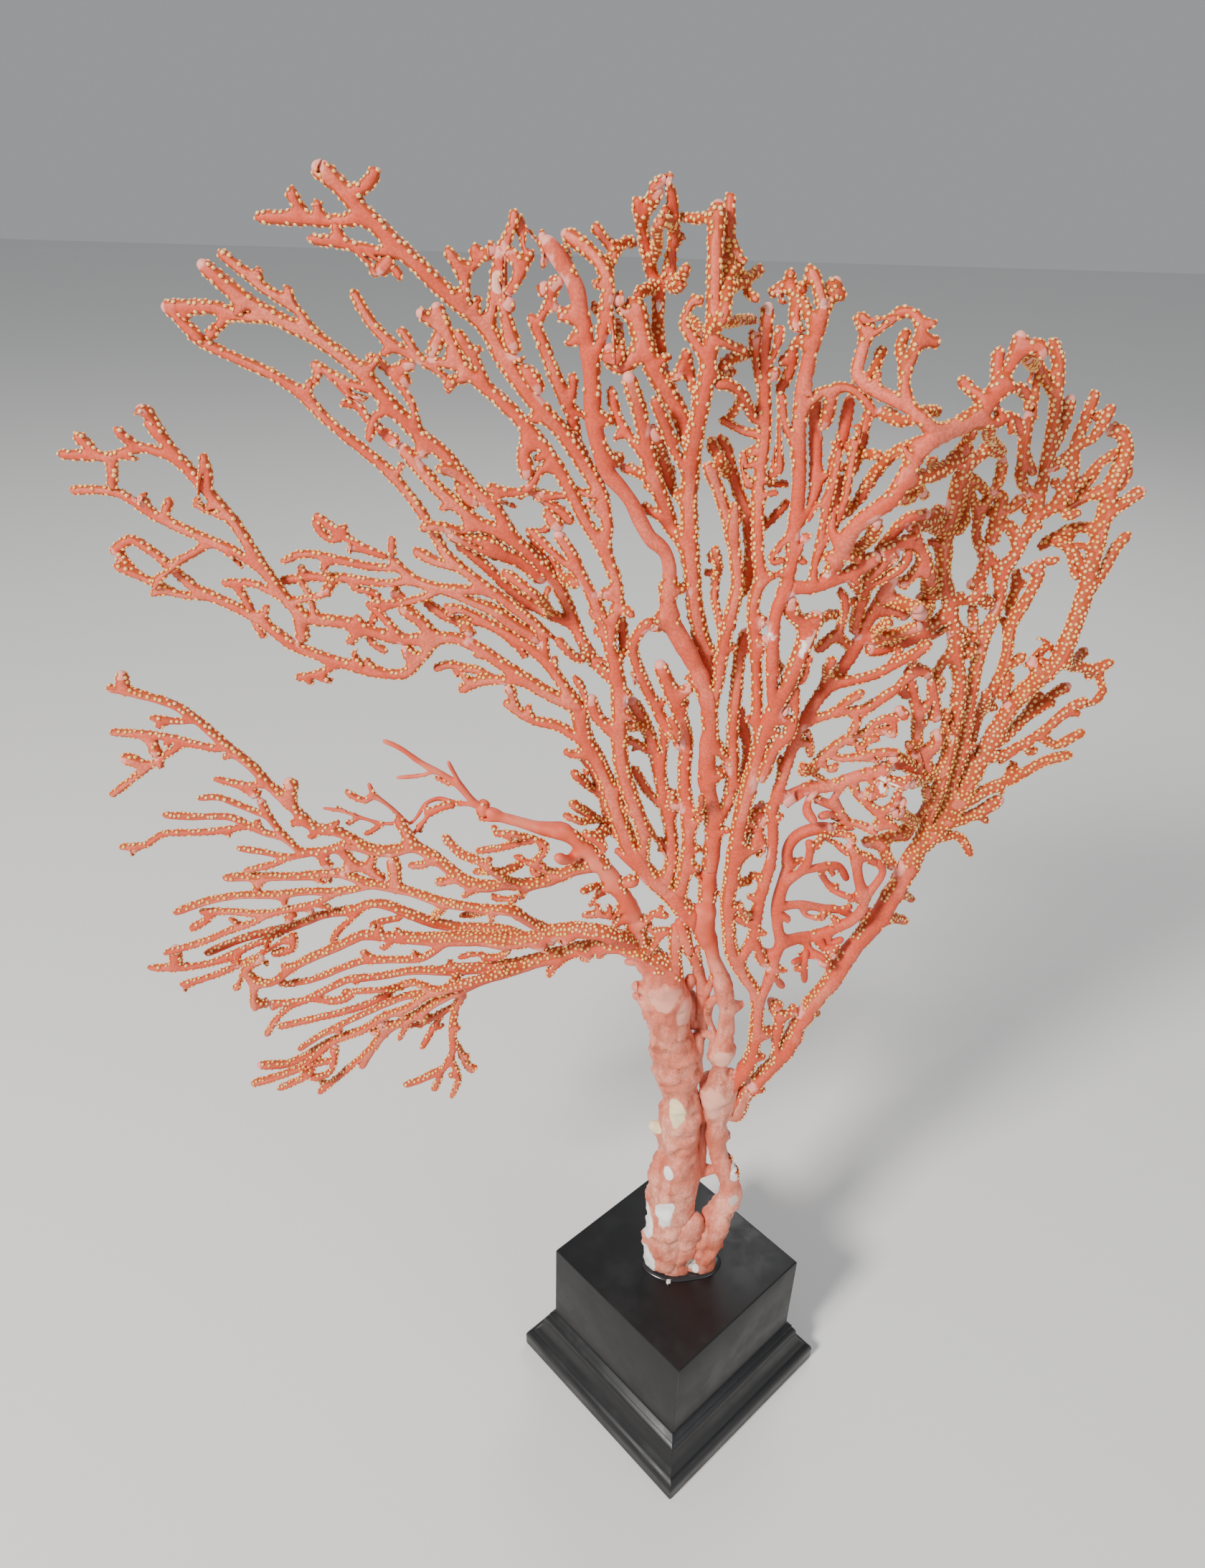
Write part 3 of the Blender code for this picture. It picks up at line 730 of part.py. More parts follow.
def section(strand, s):
    """Centre, radius and axes of a strand's cross section at s."""
    along, path = strand["along"], strand["path"]
    centre = point_at(path, along, s)
    t = point_at(path, along, min(s + 1.2, along[-1])) - point_at(path, along, max(s - 1.2, 0))
    t /= np.linalg.norm(t)
    v = np.array((0.0, 1.0, 0.0)) - t * t[1]
    v /= np.linalg.norm(v)
    return centre, float(np.interp(s, along, strand["radius"])), t, np.cross(v, t), v


def ring(strand, s, sides, scale=1.0):
    centre, radius, _, u, v = section(strand, s)
    if not strand["parent"] and s == 0.0:
        u, v = np.array((1.0, 0.0, 0.0)), np.array((0.0, 1.0, 0.0))
    size = (LIMB_GROW if sides == LIMB_SIDES else STEM_GROW) * radius * scale
    deep = STEM_FLAT if sides == STEM_SIDES else 1.0
    turn = (np.arange(sides) - 0.5) * 2 * math.pi / sides
    return [centre + size * (math.cos(a) * u + deep * math.sin(a) * v) for a in turn]


def outer(strand, s):
    grow = STEM_GROW if strand["sides"] == STEM_SIDES else LIMB_GROW
    return grow * float(np.interp(s, strand["along"], strand["radius"]))


def leaves(strand, other, upto):
    """How far along a strand still touches another one."""
    last = 0.0
    s = strand["first"]
    while s < min(upto, strand["along"][-1]):
        p = point_at(strand["path"], strand["along"], s)
        there, away = nearest(p, other["path"], other["along"])
        if away < outer(strand, s) + outer(other, there) + FORK_ROOM:
            last = s + 0.5
        s += 0.5
    return last


def find_forks(strands, order):
    """The strands that become solids, where each leaves its parent, and the parent's share."""
    used = []
    for name in order:
        strand = strands[name]
        strand["kids"] = []
        strand["first"] = 0.0
        if not strand["parent"]:
            used.append(name)
            continue
        if strand["parent"] not in used:
            continue
        has_kids = any(strands[other]["parent"] == name for other in order)
        if strand["along"][-1] < SHORTEST and not has_kids and name not in FORKS:
            continue
        mum = strands[strand["parent"]]
        over = LEAVE_LIMB if mum["sides"] == LIMB_SIDES else LEAVE_STEM
        s = 0.0
        while s < strand["along"][-1] - 0.4:
            p = point_at(strand["path"], strand["along"], s)
            there, away = nearest(p, mum["path"], mum["along"])
            width = float(np.interp(there, mum["along"], mum["radius"]))
            own = float(np.interp(s, strand["along"], strand["radius"]))
            if away > width * over + own * LEAVE_LIMB + LEAVE_GAP:
                break
            s += 0.4
        else:
            continue
        used.append(name)
        strand["first"] = s
        root, _ = nearest(strand["path"][0], mum["path"], mum["along"])
        middle = root + FORK_BIAS * (there - root)
        centre, _, t, u, v = section(mum, middle)
        way = p - centre
        lean = abs(float(section(strand, s)[2] @ t))
        mum["kids"].append({
            "name": name,
            "middle": middle,
            "half": own * (FORK_HALF + FORK_LEAN * lean),
            "turn": math.atan2(way @ v, way @ u),
        })
    for name in used:
        strand = strands[name]
        if strand["parent"]:
            mum = strands[strand["parent"]]
            free = leaves(strand, mum, strand["first"] + PARENT_SPAN)
            strand["free"] = max(free, strand["first"] + CUT_AFTER)
    for name in used:
        kids = strands[name]["kids"]
        for i, k in enumerate(kids):
            for m in kids[i + 1:]:
                if abs(k["middle"] - m["middle"]) < SIBLING_SPAN:
                    a, b = strands[k["name"]], strands[m["name"]]
                    past_a = leaves(a, b, a["first"] + SIBLING_SPAN)
                    past_b = leaves(b, a, b["first"] + SIBLING_SPAN)
                    if past_a:
                        a["free"] = max(a["free"], past_a)
                        b["free"] = max(b["free"], past_b)
    for name in used:
        strand = strands[name]
        strand["zones"] = []
        for k in strand["kids"]:
            kid = strands[k["name"]]
            end = point_at(kid["path"], kid["along"], kid["free"])
            far, _ = nearest(end, strand["path"], strand["along"])
            low = min(k["middle"] - k["half"], far) - 1.0
            strand["zones"].append((low, max(k["middle"] + k["half"], far) + 1.0))
    return used


def cut_places(strand):
    """Where a strand passes from one limb to the next."""
    start = strand["first"] + CUT_AFTER
    length = strand["along"][-1]
    rows = LIMBS.get(strand["name"], ())
    if strand["name"] in FORKS:
        rows = ((None, FORKS[strand["name"]], LIMB_SIDES),)
    cuts = []
    for spot, limb, sides in rows:
        if spot is None:
            s = min(max(start, strand["free"]), length - 3.0)
        else:
            flat, _ = nearest(np.array(spot), strand["flat"], strand["s"])
            s = float(np.interp(flat, strand["s"], strand["along"]))
            for _ in range(6):
                for low, high in strand["zones"]:
                    if low < s < high:
                        s = high + 0.01
        cuts.append((s, limb, sides))
    return sorted(cuts)


def place_kids(strand, cuts, low):
    """The stretch and the side face of a strand that each fork grows from."""
    last = low
    length = strand["along"][-1]
    placed = []
    for kid in sorted(strand["kids"], key=lambda k: k["middle"]):
        start, end = kid["middle"] - kid["half"], kid["middle"] + kid["half"]
        sides = strand["sides"]
        for s, _, after in cuts:
            if kid["middle"] > s:
                sides = after
        face = int(round(kid["turn"] / (2 * math.pi / sides))) % sides
        if start < last + RING_ROOM:
            before = placed[-1] if placed else None
            shared = before and abs(kid["middle"] - before["middle"]) < 0.8 * kid["half"]
            if shared and all(face != k["face"] for k in placed if k["start"] == before["start"]):
                start, end = before["start"], before["end"]
            else:
                start, end = last + RING_ROOM, last + RING_ROOM + 2 * kid["half"]
        for s, _, _ in cuts:
            if start < s + JOINT_GAP + 0.4 and end > s - 0.4:
                start = s + JOINT_GAP + 0.5
                end = start + 2 * kid["half"]
        if end > length - 0.5:
            end = length - 0.5
            start = max(end - 2 * kid["half"], last + RING_ROOM)
        shared = placed and start == placed[-1]["start"]
        if end - start < 1.1 * kid["half"] or start < last - 1e-6 and not shared:
            continue
        placed.append({
            "name": kid["name"],
            "start": start,
            "end": end,
            "middle": kid["middle"],
            "face": face,
        })
        last = max(last, end)
    return placed


def ring_places(strand, cuts, placed, low):
    length = strand["along"][-1]
    stops = [k["start"] for k in placed] + [k["end"] for k in placed]
    for i in bends(strand["path"], strand["radius"])[1:-1]:
        s = float(strand["along"][i])
        busy = any(k["start"] - 0.8 < s < k["end"] + 0.8 for k in placed)
        busy = busy or any(c[0] - 0.9 < s < c[0] + JOINT_GAP + 0.9 for c in cuts)
        if low + 1.0 < s < length - 2.0 and not busy:
            stops.append(s)
    return sorted(set(round(s, 5) for s in stops + [strand["first"]]))


def grow_solid(solids, strand, strands):
    """Adds a strand's rings and walls to its limb, and leaves a face open for each fork."""
    low = strand["first"] + 0.4 if strand["parent"] else 1.0
    cuts = cut_places(strand)
    placed = place_kids(strand, cuts, low)
    sides = strand["sides"]
    mesh = solids.setdefault(strand["limb"], {"points": [], "faces": []})
    limb = strand["limb"]
    before = None
    opened = None
    waiting = list(cuts)
    rows = [(s, 1.0) for s in ring_places(strand, cuts, placed, low)]
    rows.append((strand["along"][-1], TIP_SCALE))
    for s, scale in rows:
        while waiting and s > waiting[0][0]:
            cut, next_limb, next_sides = waiting.pop(0)
            start = len(mesh["points"])
            mesh["points"] += ring(strand, cut, sides)
            for i in range(sides):
                j = (i + 1) % sides
                mesh["faces"].append((before + i, before + j, start + j, start + i))
            mesh["faces"].append(tuple(start + i for i in range(sides)))
            limb, sides = next_limb, next_sides
            mesh = solids.setdefault(limb, {"points": [], "faces": []})
            before = len(mesh["points"])
            mesh["points"] += ring(strand, cut + JOINT_GAP, sides)
            mesh["faces"].append(tuple(before + i for i in reversed(range(sides))))
            opened = None
        points = ring(strand, s, sides, scale)
        start = len(mesh["points"])
        mesh["points"] += points
        if before is None and strand["parent"]:
            base = strand["base"]
            corners = [mesh["points"][i] for i in base]
            turn = min(range(4), key=lambda r: sum(
                np.linalg.norm(corners[i] - points[(i + r) % 4]) for i in range(4)))
            for i in range(4):
                j = (i + 1) % 4
                mesh["faces"].append(
                    (base[i], base[j], start + (j + turn) % 4, start + (i + turn) % 4))
        elif before is None:
            mesh["faces"].append(tuple(start + i for i in reversed(range(sides))))
        else:
            forks = {k["face"]: k["name"] for k in placed if opened == round(k["start"], 5)}
            for i in range(sides):
                j = (i + 1) % sides
                quad = (before + i, before + j, start + j, start + i)
                if i in forks:
                    strands[forks[i]]["base"] = quad
                    strands[forks[i]]["limb"] = limb
                else:
                    mesh["faces"].append(quad)
        before = start
        opened = s
    mesh["faces"].append(tuple(before + i for i in range(sides)))


def grow_fan():
    strands = read_strands()
    order = parents_first(strands)
    spread_strands(strands, order)
    used = find_forks(strands, order)
    solids = {}
    for name in used:
        strand = strands[name]
        if not strand["parent"]:
            strand["limb"] = STEMS[name]
        if "limb" in strand:
            grow_solid(solids, strand, strands)
    return solids


def make_material(name, colour, roughness, metallic=0.0):
    material = bpy.data.materials.new(name)
    material.use_nodes = True
    shader = material.node_tree.nodes["Principled BSDF"]
    shader.inputs["Base Color"].default_value = colour
    shader.inputs["Roughness"].default_value = roughness
    shader.inputs["Metallic"].default_value = metallic
    return material


def add_object(name, points, faces, material):
    mesh = bpy.data.meshes.new(name)
    mesh.from_pydata([tuple(float(v) * MM for v in p) for p in points], [], faces)
    shape = bmesh.new()
    shape.from_mesh(mesh)
    bmesh.ops.triangulate(shape, faces=shape.faces)
    shape.to_mesh(mesh)
    shape.free()
    mesh.materials.append(material)
    piece = bpy.data.objects.new(name, mesh)
    bpy.context.collection.objects.link(piece)


def make_plinth():
    """Square rings joined from the underside to the top."""
    shape = bmesh.new()
    turn = math.radians(PLINTH_TURN)
    rings = []
    for half, height in PLINTH_PROFILE:
        corners = []
        for x, y in ((-half, -half), (half, -half), (half, half), (-half, half)):
            across = x * math.cos(turn) - y * math.sin(turn)
            deep = x * math.sin(turn) + y * math.cos(turn)
            corners.append(shape.verts.new((across * MM, deep * MM, height * MM)))
        rings.append([shape.edges.new((corners[i], corners[(i + 1) % 4])) for i in range(4)])
    for below, above in zip(rings, rings[1:]):
        bmesh.ops.bridge_loops(shape, edges=below + above)
    bmesh.ops.contextual_create(shape, geom=rings[0])
    bmesh.ops.contextual_create(shape, geom=rings[-1])
    bmesh.ops.recalc_face_normals(shape, faces=shape.faces)
    mesh = bpy.data.meshes.new("plinth")
    shape.to_mesh(mesh)
    shape.free()
    mesh.materials.append(make_material("black_paint", BLACK_PAINT, 0.45))
    piece = bpy.data.objects.new("plinth", mesh)
    bpy.context.collection.objects.link(piece)


def main():
    for old in list(bpy.data.objects):
        bpy.data.objects.remove(old, do_unlink=True)
    make_plinth()
    for limb, solid in grow_fan().items():
        colour = CORAL_PALE if limb in PALE_LIMBS else CORAL_RED
        material = make_material(limb + "_coral", colour, 0.75)
        add_object(limb, solid["points"], solid["faces"], material)


main()
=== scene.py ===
import json
import math

import bmesh
import bpy
import numpy as np
from mathutils import Matrix, Vector, kdtree, noise

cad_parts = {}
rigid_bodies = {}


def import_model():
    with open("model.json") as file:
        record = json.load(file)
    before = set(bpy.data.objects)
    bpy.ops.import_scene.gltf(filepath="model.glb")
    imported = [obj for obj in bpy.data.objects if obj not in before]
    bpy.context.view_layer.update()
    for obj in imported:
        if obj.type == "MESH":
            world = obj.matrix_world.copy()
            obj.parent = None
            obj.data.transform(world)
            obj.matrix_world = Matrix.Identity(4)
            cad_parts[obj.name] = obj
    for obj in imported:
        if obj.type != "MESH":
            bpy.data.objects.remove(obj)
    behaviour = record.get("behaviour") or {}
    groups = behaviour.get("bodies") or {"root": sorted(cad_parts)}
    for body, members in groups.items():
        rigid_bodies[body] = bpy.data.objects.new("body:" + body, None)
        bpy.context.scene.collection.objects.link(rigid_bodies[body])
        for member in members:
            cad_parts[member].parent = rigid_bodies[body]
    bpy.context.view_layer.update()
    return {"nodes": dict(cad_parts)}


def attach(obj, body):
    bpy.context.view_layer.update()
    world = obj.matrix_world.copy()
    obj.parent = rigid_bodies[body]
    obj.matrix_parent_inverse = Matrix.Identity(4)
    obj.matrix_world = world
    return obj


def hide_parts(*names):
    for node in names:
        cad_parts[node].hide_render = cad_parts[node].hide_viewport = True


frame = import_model()
print("frame:", len(frame["nodes"]), "nodes")

mm = 0.001  # the tables below are in millimetres


# a shader socket that takes part in plain arithmetic
class Wire:
    def __init__(self, paint, socket):
        self.paint = paint
        self.socket = socket

    def maths(self, operation, a, b):
        return self.paint.node("ShaderNodeMath", {"operation": operation}, {0: a, 1: b})

    def __add__(self, other):
        return self.maths("ADD", self, other)

    def __radd__(self, other):
        return self.maths("ADD", other, self)

    def __sub__(self, other):
        return self.maths("SUBTRACT", self, other)

    def __mul__(self, other):
        return self.maths("MULTIPLY", self, other)


# one material and the nodes in it
class Paint:
    def __init__(self, name):
        self.material = bpy.data.materials.new(name)
        self.material.use_nodes = True
        self.tree = self.material.node_tree
        self.shader = self.tree.nodes["Principled BSDF"]

    def node(self, kind, settings, values, output=0):
        made = self.tree.nodes.new(kind)
        for key, value in settings.items():
            setattr(made, key, value)
        for key, value in values.items():
            self.join(made.inputs[key], value)
        return Wire(self, made.outputs[output])

    def join(self, socket, value):
        if isinstance(value, Wire):
            self.tree.links.new(value.socket, socket)
        else:
            socket.default_value = value

    def finish(self, **values):
        for key, value in values.items():
            self.join(self.shader.inputs[key], value)
        return self.material


# camera, from the photograph's own perspective

cameraSettings = {
    "place": (-33.3 * mm, -272.5 * mm, 431.7 * mm),
    "down": 31.009,
    "roll": 1.675,
    "lens": 25.69,
    "sensor": 36,
    "near": 0.01,
    "far": 20,
}


def makeCamera(settings):
    down = math.radians(settings["down"])
    roll = math.radians(settings["roll"])
    ahead = Vector((0, math.cos(down), -math.sin(down)))
    right = Vector((1, 0, 0))
    up = Vector((0, math.sin(down), math.cos(down)))
    turnedRight = math.cos(roll) * right + math.sin(roll) * up
    turnedUp = -math.sin(roll) * right + math.cos(roll) * up
    data = bpy.data.cameras.new("camera")
    data.sensor_width = settings["sensor"]
    data.lens = settings["lens"]
    data.clip_start = settings["near"]
    data.clip_end = settings["far"]
    camera = bpy.data.objects.new("camera", data)
    bpy.context.collection.objects.link(camera)
    turn = Matrix((turnedRight, turnedUp, -ahead)).transposed().to_4x4()
    camera.matrix_world = Matrix.Translation(settings["place"]) @ turn
    bpy.context.scene.camera = camera


makeCamera(cameraSettings)
print("camera placed")

# floor and light

studio = {
    "floor": (0.80, 0.79, 0.77),
    "floorHalf": 4.0,
    "floorRough": 0.9,
    "world": (0.93, 0.96, 1.0),
    "worldPower": 0.36,
    # name, place, size and power of each soft lamp, all aimed at the middle of the fan
    "aim": (0.0, 0.0, 0.22),
    "lamps": (
        ("window", (-0.9, -0.95, 1.25), 0.35, 40.0, (1.0, 0.985, 0.96)),
        ("fill", (1.1, -0.9, 0.7), 0.9, 4.0, (0.93, 0.96, 1.0)),
        ("back", (0.3, 1.0, 1.1), 0.6, 5.0, (1.0, 1.0, 1.0)),
    ),
}


def makeStudio(settings):
    data = bpy.data.meshes.new("floor")
    shape = bmesh.new()
    bmesh.ops.create_grid(shape, x_segments=1, y_segments=1, size=settings["floorHalf"])
    shape.to_mesh(data)
    shape.free()
    floor = bpy.data.objects.new("floor", data)
    bpy.context.collection.objects.link(floor)
    paint = Paint("floorPaper")
    values = {"Base Color": (*settings["floor"], 1), "Roughness": settings["floorRough"]}
    data.materials.append(paint.finish(**values))
    world = bpy.data.worlds.new("studio")
    world.use_nodes = True
    sky = world.node_tree.nodes["Background"]
    sky.inputs["Color"].default_value = (*settings["world"], 1)
    sky.inputs["Strength"].default_value = settings["worldPower"]
    bpy.context.scene.world = world
    for name, place, size, power, colour in settings["lamps"]:
        data = bpy.data.lights.new(name, "AREA")
        data.shape = "DISK"
        data.size = size
        data.energy = power
        data.color = colour
        lamp = bpy.data.objects.new(name, data)
        bpy.context.collection.objects.link(lamp)
        lamp.location = place
        ahead = Vector(settings["aim"]) - Vector(place)
        lamp.rotation_euler = ahead.to_track_quat("-Z", "Y").to_euler()


makeStudio(studio)
print("studio ready")


# the fan's strands

